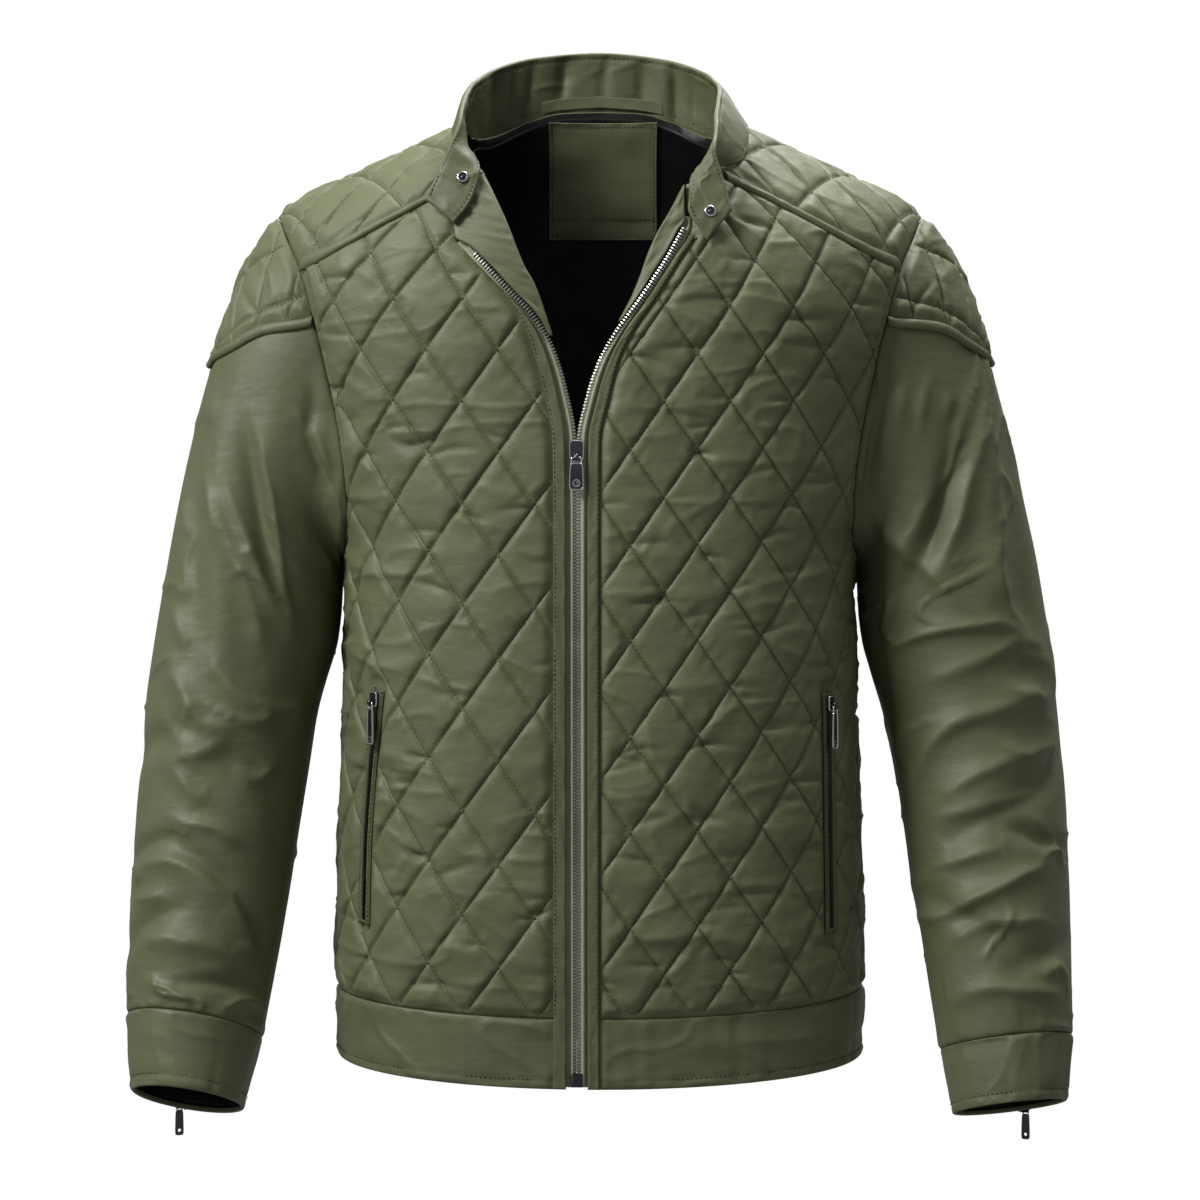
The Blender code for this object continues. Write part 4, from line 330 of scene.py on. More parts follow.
# ---------------------------------------------------------------- charts
class Chart:
    """A stretch of cloth with s measured across it and t along it, in metres on its surface."""

    def __init__(self, surface, a_range, b_range, a_zero, b_zero, steps=(161, 161), outward=1.0):
        """Samples the surface; flat sizes are measured from a_zero across and from b_zero along."""
        self.surface = surface
        self.a = np.linspace(*a_range, steps[0])
        self.b = np.linspace(*b_range, steps[1])
        self.outward = outward
        points = surface(*np.meshgrid(self.a, self.b, indexing="ij"))
        self.s = self.lengths(points, 0, np.abs(self.a - a_zero).argmin())
        self.t = self.lengths(points, 1, np.abs(self.b - b_zero).argmin())

    @staticmethod
    def lengths(points, axis, zero):
        """Run along an axis of the sampled points, counted from one sample."""
        steps = np.linalg.norm(np.diff(points, axis=axis), axis=-1)
        start = np.zeros_like(np.take(steps, [0], axis=axis))
        total = np.concatenate([start, np.cumsum(steps, axis=axis)], axis=axis)
        return total - np.take(total, [zero], axis=axis)

    def lookup(self, table, a, b):
        """Value and slopes of a table at (a, b)."""
        u = np.clip((a - self.a[0]) / (self.a[1] - self.a[0]), 0, len(self.a) - 1.000001)
        v = np.clip((b - self.b[0]) / (self.b[1] - self.b[0]), 0, len(self.b) - 1.000001)
        i, j = u.astype(int), v.astype(int)
        u, v = u - i, v - j
        low = table[i, j] * (1 - v) + table[i, j + 1] * v
        high = table[i + 1, j] * (1 - v) + table[i + 1, j + 1] * v
        near = table[i, j] * (1 - u) + table[i + 1, j] * u
        far = table[i, j + 1] * (1 - u) + table[i + 1, j + 1] * u
        slope_a = (high - low) / (self.a[1] - self.a[0])
        slope_b = (far - near) / (self.b[1] - self.b[0])
        return low * (1 - u) + high * u, slope_a, slope_b

    def flat(self, a, b):
        """Where the surface's own (a, b) lies on the flat cloth."""
        a, b = np.asarray(a, float), np.asarray(b, float)
        return np.stack([self.lookup(self.s, a, b)[0], self.lookup(self.t, a, b)[0]], axis=-1)

    def locate(self, flat):
        """The surface's (a, b) of points on the flat cloth."""
        flat = np.asarray(flat, float)
        a = np.full(flat.shape[:-1], (self.a[0] + self.a[-1]) / 2)
        b = np.full(flat.shape[:-1], (self.b[0] + self.b[-1]) / 2)
        for _ in range(40):
            s, s_a, _ = self.lookup(self.s, a, b)
            a = np.clip(a + (flat[..., 0] - s) / np.maximum(s_a, 1e-6), self.a[0], self.a[-1])
            t, _, t_b = self.lookup(self.t, a, b)
            b = np.clip(b + (flat[..., 1] - t) / np.maximum(t_b, 1e-6), self.b[0], self.b[-1])
        return a, b

    def normals(self, a, b):
        """Directions out of the surface."""
        step_a = (self.a[-1] - self.a[0]) * 1e-3
        step_b = (self.b[-1] - self.b[0]) * 1e-3
        low_a, high_a = np.maximum(a - step_a, self.a[0]), np.minimum(a + step_a, self.a[-1])
        low_b, high_b = np.maximum(b - step_b, self.b[0]), np.minimum(b + step_b, self.b[-1])
        along_a = self.surface(high_a, b) - self.surface(low_a, b)
        along_b = self.surface(a, high_b) - self.surface(a, low_b)
        normal = np.cross(along_a, along_b) * self.outward
        return normal / np.linalg.norm(normal, axis=-1, keepdims=True)

    def place(self, flat, lift=0.0):
        """Points of the flat cloth in space, moved out by lift."""
        a, b = self.locate(flat)
        return self.surface(a, b) + self.normals(a, b) * np.asarray(lift, float)[..., None]


# ---------------------------------------------------------------- seams, as curves on the body
def resample(points, spacing):
    """The same curve with evenly spaced points no further apart than spacing."""
    points = np.asarray(points, float)
    run = np.concatenate([[0], np.cumsum(np.linalg.norm(np.diff(points, axis=0), axis=1))])
    count = max(1, math.ceil(run[-1] / spacing))
    at = np.linspace(0, run[-1], count + 1)
    return np.stack([np.interp(at, run, points[:, k]) for k in range(points.shape[1])], axis=1)


def armhole_xz(share):
    """Distance from the centre and height on the armhole, share 0 at the shoulder to 1 at the armpit."""
    fine = np.linspace(0, 1, 400)
    knots = np.linspace(0, 1, len(ARMHOLE))
    table = [(k, *row) for k, row in zip(knots, ARMHOLE)]
    x, z = read(table, 1, fine) * MM, read(table, 2, fine) * MM
    points = torso_point(*torso_at(x, z), FRONT)
    run = np.concatenate([[0], np.cumsum(np.linalg.norm(np.diff(points, axis=0), axis=1))])
    at = np.interp(share, run / run[-1], fine)
    return read(table, 1, at) * MM, read(table, 2, at) * MM


def armhole_share(turn):
    """Share of the way to the armpit for a share of a whole turn that starts at the shoulder."""
    return 1 - np.abs(1 - 2 * (np.asarray(turn, float) % 1.0))


def armhole_point(side, turn):
    """The armhole as a closed curve: turn 0 the shoulder, 0.25 the front, 0.5 the armpit, 0.75 the back."""
    turn = np.asarray(turn, float) % 1.0
    x, z = armhole_xz(armhole_share(turn))
    angle, row = torso_at(x * sign_of(side), z)
    return torso_point(angle, row, np.where(turn <= 0.5, FRONT, BACK))


def table_curve(table, spacing, sign=1.0):
    """A seam given as distance from the centre and height, as x and z."""
    knots = np.linspace(0, 1, len(table))
    keyed = [(k, row[0], row[1]) for k, row in zip(knots, table)]
    fine = np.linspace(0, 1, 120)
    points = np.stack([read(keyed, 1, fine) * MM * sign, read(keyed, 2, fine) * MM], axis=1)
    return resample(points, spacing)


def armhole_curve(first, last, sign):
    """x and z of the armhole samples from one to the other."""
    step = 1 if last > first else -1
    samples = np.arange(first, last + step, step) * 2 / ARMHOLE_SAMPLES
    x, z = armhole_xz(samples)
    return np.stack([x * sign, z], axis=1)


YOKE_END_SHARE = YOKE_SEAM_SAMPLE * 2 / ARMHOLE_SAMPLES
YOKE_END = [float(value) / MM for value in armhole_xz(YOKE_END_SHARE)]
YOKE_FRONT_SEAM = YOKE_FRONT_SEAM[:-1] + (tuple(YOKE_END),)
YOKE_BACK_SEAM = YOKE_BACK_SEAM[:-1] + (tuple(YOKE_END),)
ARMPIT_SAMPLE = ARMHOLE_SAMPLES // 2


# ---------------------------------------------------------------- flat outlines
def join(*curves, merge=1.0 * MM):
    """Curves end to end as one closed outline."""
    points = []
    for curve in curves:
        for point in curve:
            if not points or np.linalg.norm(np.subtract(point, points[-1])) > merge:
                points.append(np.asarray(point, float))
    if np.linalg.norm(points[0] - points[-1]) < merge:
        points.pop()
    return np.array(points)


def signed_area(outline):
    """Area of a closed outline, above 0 where it runs anticlockwise."""
    x, y = outline[:, 0], outline[:, 1]
    return 0.5 * float(np.sum(x * np.roll(y, -1) - np.roll(x, -1) * y))


def inset(outline, distance):
    """The outline moved inward by a distance, each corner mitred."""
    if signed_area(outline) < 0:
        outline = outline[::-1]
    before = outline - np.roll(outline, 1, axis=0)
    after = np.roll(outline, -1, axis=0) - outline
    left = [np.stack([-edge[:, 1], edge[:, 0]], axis=1) / np.linalg.norm(edge, axis=1, keepdims=True)
            for edge in (before, after)]
    cosine = np.sum(left[0] * left[1], axis=1, keepdims=True)
    return outline + (left[0] + left[1]) / np.maximum(1 + cosine, 0.12) * distance


def inside(outline, points):
    """Which of the points lie inside the outline."""
    x, y = points[:, 0][:, None], points[:, 1][:, None]
    x0, y0 = outline[:, 0][None], outline[:, 1][None]
    x1, y1 = np.roll(x0, -1, axis=1), np.roll(y0, -1, axis=1)
    spans = (y0 > y) != (y1 > y)
    rise = np.where(y1 == y0, 1e-12, y1 - y0)
    crossings = spans & (x < (x1 - x0) * (y - y0) / rise + x0)
    return crossings.sum(axis=1) % 2 == 1


def distance_to(outline, points, closed=True):
    """Distance of each point from a polyline."""
    start = outline if closed else outline[:-1]
    end = np.roll(outline, -1, axis=0) if closed else outline[1:]
    edge = end - start
    offset = points[:, None, :] - start[None]
    share = np.clip((offset * edge[None]).sum(-1) / np.maximum((edge ** 2).sum(-1), 1e-12)[None], 0, 1)
    return np.linalg.norm(offset - share[..., None] * edge[None], axis=-1).min(axis=1)


# ---------------------------------------------------------------- quilting
def quilt_phase(flat, quilt):
    """Which stitch lines a point lies between: whole numbers on the two sets of diagonal lines."""
    s, t, width, height = (value * MM for value in quilt)
    across = (flat[..., 0] - s) / width
    along = (flat[..., 1] - t) / height
    return across + along, across - along


def quilt_place(rising, falling, quilt):
    """The point on the flat cloth where two stitch lines cross."""
    s, t, width, height = (value * MM for value in quilt)
    across = (np.asarray(rising, float) + falling) / 2
    along = (np.asarray(rising, float) - falling) / 2
    return np.stack([s + across * width, t + along * height], axis=-1)


def quilt_points(outline, quilt):
    """Stitch crossings, and the two high points of each diamond, that lie inside an outline."""
    rising, falling = quilt_phase(outline, quilt)
    low = np.floor([rising.min(), falling.min()]).astype(int) - 1
    high = np.ceil([rising.max(), falling.max()]).astype(int) + 1
    grid = np.stack(np.meshgrid(np.arange(low[0], high[0]), np.arange(low[1], high[1]), indexing="ij"), -1)
    grid = grid.reshape(-1, 2)
    crossings = quilt_place(grid[:, 0], grid[:, 1], quilt)
    tops = np.concatenate([
        quilt_place(grid[:, 0] + 0.5 + reach, grid[:, 1] + 0.5 - reach, quilt) for reach in (-0.17, 0.17)])

    def kept(points, margin):
        points = points[inside(outline, points)]
        return points[distance_to(outline, points) > margin]

    return kept(crossings, 4 * MM), kept(tops, 6 * MM)


def triangulate(outline, extra):
    """Triangles over an outline and the points in it; the outline keeps its numbers, then come the others."""
    points = [Vector(p) for p in outline] + [Vector(p) for p in extra]
    result = delaunay_2d_cdt(points, [], [list(range(len(outline)))], 1, 1e-7)
    original = [sources[0] for sources in result[3]]
    return [tuple(original[i] for i in face) for face in result[2]]


# ---------------------------------------------------------------- the sleeves' surface
def sleeve_ring(side, turn, section):
    """A point on the sleeve's sections, before the armhole's outline is blended in."""
    table = [(i, *row) for i, row in enumerate(SLEEVE_SECTIONS[side])]
    columns = (read(table, k, section) * MM for k in range(1, 7))
    outer_x, outer_z, inner_x, inner_z, centre_y, half_depth = columns
    tilt = np.radians(read(table, 7, section))
    around = 2 * math.pi * np.asarray(turn, float)
    swing = np.cos(around)
    forward = np.sin(around)
    x = (outer_x + inner_x) / 2 + (outer_x - inner_x) / 2 * swing
    y = centre_y - half_depth * forward
    z = (outer_z + inner_z) / 2 + (outer_z - inner_z) / 2 * swing + half_depth * np.tan(tilt) * forward
    return np.stack([x * sign_of(side), y, z], axis=-1)


def sleeve_point(side, turn, section):
    """A point on the sleeve: turn 0 is the top, 0.25 the front; section 0 the armhole, 14 the rim."""
    turn, section = np.broadcast_arrays(np.asarray(turn, float), np.asarray(section, float))
    ring = sleeve_ring(side, turn, section)
    hold = 1 - smoothstep(0, ARMHOLE_BLEND, section)
    missing = armhole_point(side, turn) - sleeve_ring(side, turn, np.zeros_like(section))
    return ring + missing * hold[..., None]


# side, turn, section at the two ends, width and depth: a ridge where depth is above 0, else a trough
SLEEVE_FOLDS = {
    "right": (
        (0.20, 1.6, 0.31, 4.2, 26, -9),
        (0.14, 2.2, 0.24, 6.2, 22, 4),
        (0.07, 2.4, 0.18, 6.0, 24, -3.5),
        (0.03, 7.8, 0.20, 7.4, 20, -5),
        (0.22, 7.6, 0.40, 8.6, 20, -4.5),
        (0.04, 9.6, 0.18, 9.3, 18, -5),
        (0.18, 9.4, 0.42, 11.2, 20, -5),
        (0.03, 11.4, 0.22, 10.8, 18, -4),
        (0.24, 12.2, 0.42, 12.0, 16, -3.5),
        (0.62, 2.0, 0.72, 5.6, 26, -6),
        (0.60, 8.2, 0.86, 7.4, 22, -5),
        (0.66, 10.4, 0.90, 9.6, 22, -5),
        (0.62, 12.0, 0.84, 11.4, 18, -4),
    ),
    "left": (
        (0.20, 1.8, 0.32, 4.0, 26, -9),
        (0.13, 2.4, 0.20, 5.0, 22, 4),
        (0.08, 2.6, 0.15, 6.4, 24, -3.5),
        (0.10, 7.8, 0.34, 9.2, 20, -5),
        (0.04, 7.6, 0.20, 8.6, 20, -4.5),
        (0.06, 9.4, 0.24, 9.0, 18, -5),
        (0.22, 11.6, 0.42, 10.4, 20, -5),
        (0.05, 11.2, 0.24, 11.8, 18, -4),
        (0.60, 2.2, 0.70, 5.2, 26, -6),
        (0.62, 8.0, 0.88, 7.6, 22, -5),
        (0.64, 10.2, 0.88, 9.8, 22, -5),
        (0.62, 11.8, 0.82, 11.6, 18, -4),
    ),
}
SLEEVE_GIRTH = 400 * MM      # mean girth and mean distance between sections, to measure folds with
SECTION_STEP = 42 * MM


def sleeve_fold(side, turn, section):
    """How far the cloth stands out of the plain sleeve at a place."""
    rise = np.zeros(np.broadcast(turn, section).shape)
    for turn_a, section_a, turn_b, section_b, width, depth in SLEEVE_FOLDS[side]:
        start = np.array([turn_a * SLEEVE_GIRTH, section_a * SECTION_STEP])
        reach = np.array([turn_b * SLEEVE_GIRTH, section_b * SECTION_STEP]) - start
        offset = np.stack([turn * SLEEVE_GIRTH - start[0], section * SECTION_STEP - start[1]], axis=-1)
        share = np.clip(offset @ reach / (reach @ reach), 0, 1)
        gap = np.linalg.norm(offset - share[..., None] * reach, axis=-1)
        taper = np.sin(math.pi * (0.12 + 0.76 * share))
        rise = rise + depth * MM * taper * np.exp(-(gap / (width * MM / 2)) ** 2)
    return rise


def sleeve_chart(side):
    """The sleeve as flat cloth: s round it from its top, t down from the armhole."""
    return Chart(lambda turn, section: sleeve_point(side, turn, section), (-0.5, 0.5), (0, RIM_ROW), 0, 0,
                 (161, 281), sign_of(side))


def head_depth(turn):
    """Depth of the sleeve head at a share of a turn either way from the top."""
    return np.maximum(read(HEAD_SEAM, 1, np.abs(turn)), 0) * MM


def section_at(chart, turn, depth):
    """The sleeve section that lies a given distance down from the armhole."""
    section = np.full(np.shape(turn), 1.0)
    for _ in range(40):
        t, _, slope = chart.lookup(chart.t, np.asarray(turn, float), section)
        section = np.clip(section + (depth - t) / np.maximum(slope, 1e-6), 0, RIM_ROW)
    return section


def armhole_normals(side, turn, sleeve):
    """Directions halfway between the body's cloth and the sleeve's at the armhole."""
    share = armhole_share(turn)
    x, z = armhole_xz(share)
    angle, row = torso_at(x * sign_of(side), z)
    face = np.where(np.asarray(turn) % 1.0 <= 0.5, FRONT, BACK)
    body = np.where(face[..., None] < 0, FRONT_CHART.normals(angle, row), BACK_CHART.normals(angle, row))
    near_ridge = YOKE_CHART.normals(angle, np.where(face < 0, row - 2, 2 - row))
    body = np.where(row[..., None] > 1.02, near_ridge, body)
    signed_turn = (np.asarray(turn, float) + 0.5) % 1.0 - 0.5
    both = body + sleeve.normals(signed_turn, np.full(np.shape(turn), 0.02))
    return both / np.linalg.norm(both, axis=-1, keepdims=True)


def seam_normals(sleeves):
    """For a body panel: the rim on the armhole leans halfway to the sleeve, the rest stands square."""
    turns = np.arange(ARMHOLE_SAMPLES * 8) / (ARMHOLE_SAMPLES * 8)
    places, leans = [], []
    for side in ("right", "left"):
        places.append(armhole_point(side, turns))
        leans.append(armhole_normals(side, turns, sleeves[side]))
    places, leans = np.concatenate(places), np.concatenate(leans)

    def lean(points, normals):
        gaps = np.linalg.norm(points[:, None] - places[None], axis=-1)
        nearest = gaps.argmin(axis=1)
        close = gaps.min(axis=1) < 2.5 * MM
        return np.where(close[:, None], leans[nearest], normals)

    return lean


QUARTER = math.pi / 2
HALF_ROUND = (-QUARTER, QUARTER)
BODY_STEPS = (181, 241)
FRONT_CHART = Chart(lambda a, b: torso_point(a, b, FRONT), HALF_ROUND, (0, 1.98), 0, 0, BODY_STEPS)
BACK_CHART = Chart(lambda a, b: torso_point(a, b, BACK), HALF_ROUND, (0, 1.98), 0, 0, BODY_STEPS, -1.0)
YOKE_CHART = Chart(over_shoulder, HALF_ROUND, (-1, 1), 0, 0, BODY_STEPS)
SLEEVE_CHARTS = {side: sleeve_chart(side) for side in ("right", "left")}


# ---------------------------------------------------------------- places on the body
CURVED_ZIP_END = -250 * MM       # below this the zip runs straight down


def zip_heights(top, bottom, spacing):
    """Heights down the zip: closely spaced where its edges curve, wide apart where they run straight."""
    curved_steps = max(1, math.ceil((top - CURVED_ZIP_END) / spacing))
    straight_steps = max(1, math.ceil((CURVED_ZIP_END - bottom) / (2.6 * spacing)))
    curved = np.linspace(top, CURVED_ZIP_END, curved_steps + 1)
    straight = np.linspace(CURVED_ZIP_END, bottom, straight_steps + 1)
    return np.concatenate([curved, straight[1:]])


def on_front(x, z):
    """Where a place seen from the front lies on the front's flat cloth."""
    return FRONT_CHART.flat(*torso_at(x, z))


def on_back(x, z):
    """Where a place seen from behind lies on the back's flat cloth."""
    return BACK_CHART.flat(*torso_at(x, z))


def on_yoke(x, z, face):
    """Where a place lies on the yoke's flat cloth."""
    angle, row = torso_at(x, z)
    return YOKE_CHART.flat(angle, np.where(np.asarray(face) < 0, row - 2, 2 - row))


def edge_x(table, side, z, column=1):
    """A side's curve from a table of heights and places."""
    return read(table[side], column, np.asarray(z) / MM) * MM


def lapel_lift(side, z):
    """How far the turned front edge stands off the chest at a height."""
    low, high = LAPEL_RISE
    return LAPEL_LIFT[side] * MM * smoothstep(low, high, np.asarray(z) / MM)


def side_seam(chart, sign, low, high, spacing=CHORD * 2):
    """The side seam on the flat cloth between two rows."""
    rows = np.linspace(low, high, max(2, math.ceil(0.5 * abs(high - low) / spacing) + 1))
    return chart.flat(np.full(rows.shape, sign * QUARTER), rows)


HEM_ROW = float(FRONT_CHART.locate(np.array([[0.3, HEM_BAND]]))[1][0])
ARMPIT_ROW = float(torso_at(ARMHOLE[-1][0] * MM, ARMHOLE[-1][1] * MM)[1])


def front_outline(side):
    """The front's closed outline: hem, side seam, armhole, yoke seam, neck and free edge."""
    sign = sign_of(side)
    armhole = armhole_curve(ARMPIT_SAMPLE, YOKE_SEAM_SAMPLE, sign)
    yoke_seam = table_curve(YOKE_FRONT_SEAM, YOKE_CHORD, sign)[::-1]
    top = FRONT_EDGE[side][0][0] * MM
    stretches = ((top, -0.10, 7), (-0.11, -0.23, 9), (-0.26, -0.62, 14))
    z = np.concatenate([np.linspace(*stretch) for stretch in stretches])
    free_edge = on_front(edge_x(FRONT_EDGE, side, z), z)
    lower_end = FRONT_CHART.flat(*torso_at(edge_x(FRONT_EDGE, side, -0.627), -0.627))
    hem = np.array([[lower_end[0], HEM_BAND], [side_seam(FRONT_CHART, sign, HEM_ROW, 1)[0][0], HEM_BAND]])
    neck = table_curve(NECK_CORNER, CHORD, sign)[:-1] if side == "left" else []
    curves = [resample(hem, CHORD), side_seam(FRONT_CHART, sign, HEM_ROW, ARMPIT_ROW),
              on_front(armhole[:, 0], armhole[:, 1]), on_front(yoke_seam[:, 0], yoke_seam[:, 1])]
    if len(neck):
        curves.append(on_front(neck[:, 0], neck[:, 1]))
    return join(*curves, free_edge)


def back_outline():
    """The back's closed outline, from the hem up both sides to the yoke seam."""
    halves = []
    for side in ("left", "right"):
        sign = sign_of(side)
        armhole = armhole_curve(ARMPIT_SAMPLE, YOKE_SEAM_SAMPLE, sign)
        yoke_seam = table_curve(YOKE_BACK_SEAM, CHORD, sign)[::-1]
        halves.append(join(side_seam(BACK_CHART, sign, HEM_ROW, ARMPIT_ROW),
                           on_back(armhole[:, 0], armhole[:, 1]), on_back(yoke_seam[:, 0], yoke_seam[:, 1])))
    hem = resample(np.array([halves[1][0], halves[0][0]]), CHORD)
    return join(hem, halves[0], halves[1][::-1])


def back_yoke_seam(spacing):
    """x and z of the yoke's seam across the whole back."""
    half = table_curve(YOKE_BACK_SEAM, spacing)
    return np.concatenate([half[::-1] * (-1, 1), half[1:]])


def yoke_outline():
    """From the left back armhole over the left shoulder, round the neck, over the right one and back."""
    curves = []
    for side in ("left", "right"):
        sign = sign_of(side)
        hole = armhole_curve(YOKE_SEAM_SAMPLE, 0, sign)
        seam = table_curve(YOKE_FRONT_SEAM, YOKE_CHORD, sign)[::-1]
        neck = table_curve(NECK_FRONT, CHORD / 4, sign)[::-1]
        nape = table_curve(NECK_BACK, CHORD / 4, sign)[::-1]
        whole_neck = join(on_yoke(neck[:, 0], neck[:, 1], FRONT), on_yoke(nape[:, 0], nape[:, 1], BACK))
        half = join(on_yoke(hole[:, 0], hole[:, 1], BACK), on_yoke(hole[::-1, 0], hole[::-1, 1], FRONT),
                    on_yoke(seam[:, 0], seam[:, 1], FRONT), resample(whole_neck, CHORD))
        curves.append(half if side == "left" else half[::-1])
    lower = back_yoke_seam(CHORD)
    return join(*curves, on_yoke(lower[:, 0], lower[:, 1], BACK))


def edge_clearance(flat, rim):
    """Distance from the piece's own edges."""
    return distance_to(rim, flat)


def welt_line(side, beyond, spacing):
    """The welt's outer edge on the front's flat cloth, moved out by a distance."""
    z = zip_heights(WELT_WIDTH[side][0][0] * MM, HEM_CENTRE + HEM_BAND + 3 * MM, spacing)
    x = edge_x(FRONT_EDGE, side, z) + sign_of(side) * (read(WELT_WIDTH[side], 1, z / MM) * MM + beyond)
    return on_front(x, z)


def pocket_line(side, count):
    """The pocket's zip on the front's flat cloth, from its top down."""
    z = np.linspace(POCKET_LINE[side][0][0] * MM, POCKET_LINE[side][-1][0] * MM, count)
    return on_front(edge_x(POCKET_LINE, side, z), z)


def front_clearance(side):
    """Distance from the edges, the welt beside the zip and the pocket, where the cloth stays flat."""
    sign = sign_of(side)
    welt, pocket = welt_line(side, 0, 10 * MM), pocket_line(side, 12)

    def clearance(flat, rim):
        past_welt = (flat[:, 0] - np.interp(flat[:, 1], welt[::-1, 1], welt[::-1, 0])) * sign
        from_welt = np.where(past_welt > 0, distance_to(welt, flat, False), 0)
        from_pocket = distance_to(pocket, flat, False) - POCKET_WELT_HALF
        return np.minimum(np.minimum(distance_to(rim, flat), from_welt + 1.0 * MM), from_pocket + 1.0 * MM)

    return clearance


def beside(curve, distance):
    """A flat curve moved sideways to its left."""
    along = np.gradient(curve, axis=0)
    along /= np.linalg.norm(along, axis=1, keepdims=True)
    return curve + np.stack([-along[:, 1], along[:, 0]], axis=1) * distance


LAID = WALL / 2 + SEAM_GAP   # lowest face of what lies on a panel


def trim(curve, start, end):
    """The curve without a length at each end."""
    run = np.concatenate([[0], np.cumsum(np.linalg.norm(np.diff(curve, axis=0), axis=1))])
    at = np.linspace(start, run[-1] - end, len(curve))
    return np.stack([np.interp(at, run, curve[:, k]) for k in range(2)], axis=1)


def collar_middle(along, up):
    """A point in the middle of the collar's wall: along 0 to 1 from the right end to the left, up 0 to 1."""
    along, up = np.broadcast_arrays(np.asarray(along, float), up)
    table = []
    for i, (x, z, face, lift, top_x, top_y, top_z) in enumerate(COLLAR_STATIONS):
        angle, row = torso_at(x * MM, z * MM)
        table.append((i, float(angle), float(face) * (2 - float(row)), lift, top_x, top_y, top_z))
    at = along * (len(table) - 1)
    angle, row = read(table, 1, at), read(table, 2, at)
    foot = over_shoulder(angle, row) + YOKE_CHART.normals(angle, row) * (read(table, 3, at) * MM)[..., None]
    top = np.stack([read(table, column, at) * MM for column in (4, 5, 6)], axis=-1)
    return foot + (top - foot) * up[..., None]


def collar_normals(along, up):
    """Directions out of the collar's inner face."""
    step = 1e-3
    across = collar_middle(np.minimum(along + step, 1), up) - collar_middle(np.maximum(along - step, 0), up)
    rise = collar_middle(along, np.minimum(up + step, 1)) - collar_middle(along, np.maximum(up - step, 0))
    normal = np.cross(across, rise)
    return normal / np.linalg.norm(normal, axis=-1, keepdims=True)


LINING_LIFT = ((0, -2.0), (12, -3.4), (30, -5.0), (400, -5.0))
LINING_HALF = 104 * MM
LINING_LOW = -262 * MM


def inside_back(x, z, extra=0.0):
    """Places inside the back of the body, on the lining or a distance further in."""
    angle, row = torso_at(x, z)
    seam = read([(row[0], row[1]) for row in NECK_BACK], 1, np.abs(x) / MM)
    lift = read(LINING_LIFT, 1, seam - z / MM) * MM - 2.0 * MM * smoothstep(0.05, 0.09, np.abs(x)) - extra
    return BACK_CHART.surface(angle, row) + BACK_CHART.normals(angle, row) * lift[..., None]


POCKET_LIP = 3.6 * MM        # top of the pocket's two lips over the cloth
POCKET_FLOOR = 2.1 * MM
POCKET_ZIP_HALF = 2.2 * MM
CUFF_ZIP_HALF = 3.0 * MM
CUFF_ZIP_TOP = LAID + 1.8 * MM


TEETH_TOP = 1.0 * MM
# width, thickness and height of the slider's body
SLIDER = {"main": (10.0, 3.0, 15.5), "pocket": (7.6, 2.4, 11.0), "cuff": (7.6, 2.2, 9.0)}
# width, length and thickness of the pull's tab, radius of its hole, height of the hole over the tab's end
PULL = {
    "main": (10.8, 19.0, 1.6, 2.1, 5.0),
    "pocket": (7.0, 26.0, 1.5, 1.3, 4.0),
    "cuff": (6.4, 18.5, 1.5, 1.2, 3.6),
}
AXIS_OVER = 2.1 * MM         # the pull's axis over the slider's body
AXIS_FROM_END = 3.0 * MM     # and over its lower end
NECK_LENGTH = 3.2 * MM


def upright(across, out):
    """Rotation whose X runs across, Y points out and Z stands up."""
    out = Vector(out).normalized()
    across = Vector(across)
    across = (across - out * across.dot(out)).normalized()
    return Matrix((across, out, across.cross(out))).transposed().to_4x4()


def front_metal_place(kind, x, axis_z, base):
    """Frame of a slider and its pull on the front, the slider's body standing a height over the cloth."""
    angle, row = torso_at(x, axis_z)
    out = Vector(FRONT_CHART.normals(angle, row))
    out.z = 0
    out.normalize()
    origin = Vector(FRONT_CHART.surface(angle, row)) + out * (base + SLIDER[kind][1] * MM + AXIS_OVER)
    return Matrix.Translation(origin) @ upright(out.cross(Vector((0, 0, 1))), out)


def pocket_metal_place(side):
    """Frame of a pocket's slider and pull."""
    z = POCKET_LINE[side][0][0] * MM - 10 * MM
    return front_metal_place("pocket", float(edge_x(POCKET_LINE, side, z)), z, POCKET_LIP + SEAM_GAP)


def main_metal_place():
    """Frame of the main zip's slider and pull."""
    return front_metal_place("main", ZIP_X, MAIN_AXIS_Z, TEETH_TOP + SEAM_GAP)


def cuff_metal_places(side):
    """Frames of the cuff's slider and of its pull, which hangs straight down."""
    chart = SLEEVE_CHARTS[side]
    turn, section = np.array(CUFF_ZIP_TURN[side]), CUFF_AXIS_SECTION[side]
    out = Vector(chart.normals(turn, section))
    height = CUFF_ZIP_TOP + SEAM_GAP + SLIDER["cuff"][1] * MM + AXIS_OVER
    origin = Vector(chart.surface(turn, section)) + out * height
    across = out.cross(Vector((0, 0, 1)))
    level = Vector((out.x, out.y, 0))
    return [Matrix.Translation(origin) @ upright(across, way) for way in (out, level)]


def snap_place(side):
    """Frame of a snap on the collar's inner face."""
    along, up = SNAP_PLACE[side]
    out = Vector(collar_normals(along, up))
    origin = Vector(collar_middle(along, up)) + out * (COLLAR_WALL / 2 + SEAM_GAP + 0.35 * MM)
    return Matrix.Translation(origin) @ upright((1, 0, 0), out)


# ---------------------------------------------------------------- helpers for fine cloth
def spread(measure, points, chunk=4000):
    """A measure of many points, taken a part at a time."""
    return np.concatenate([measure(points[i:i + chunk]) for i in range(0, len(points), chunk)])


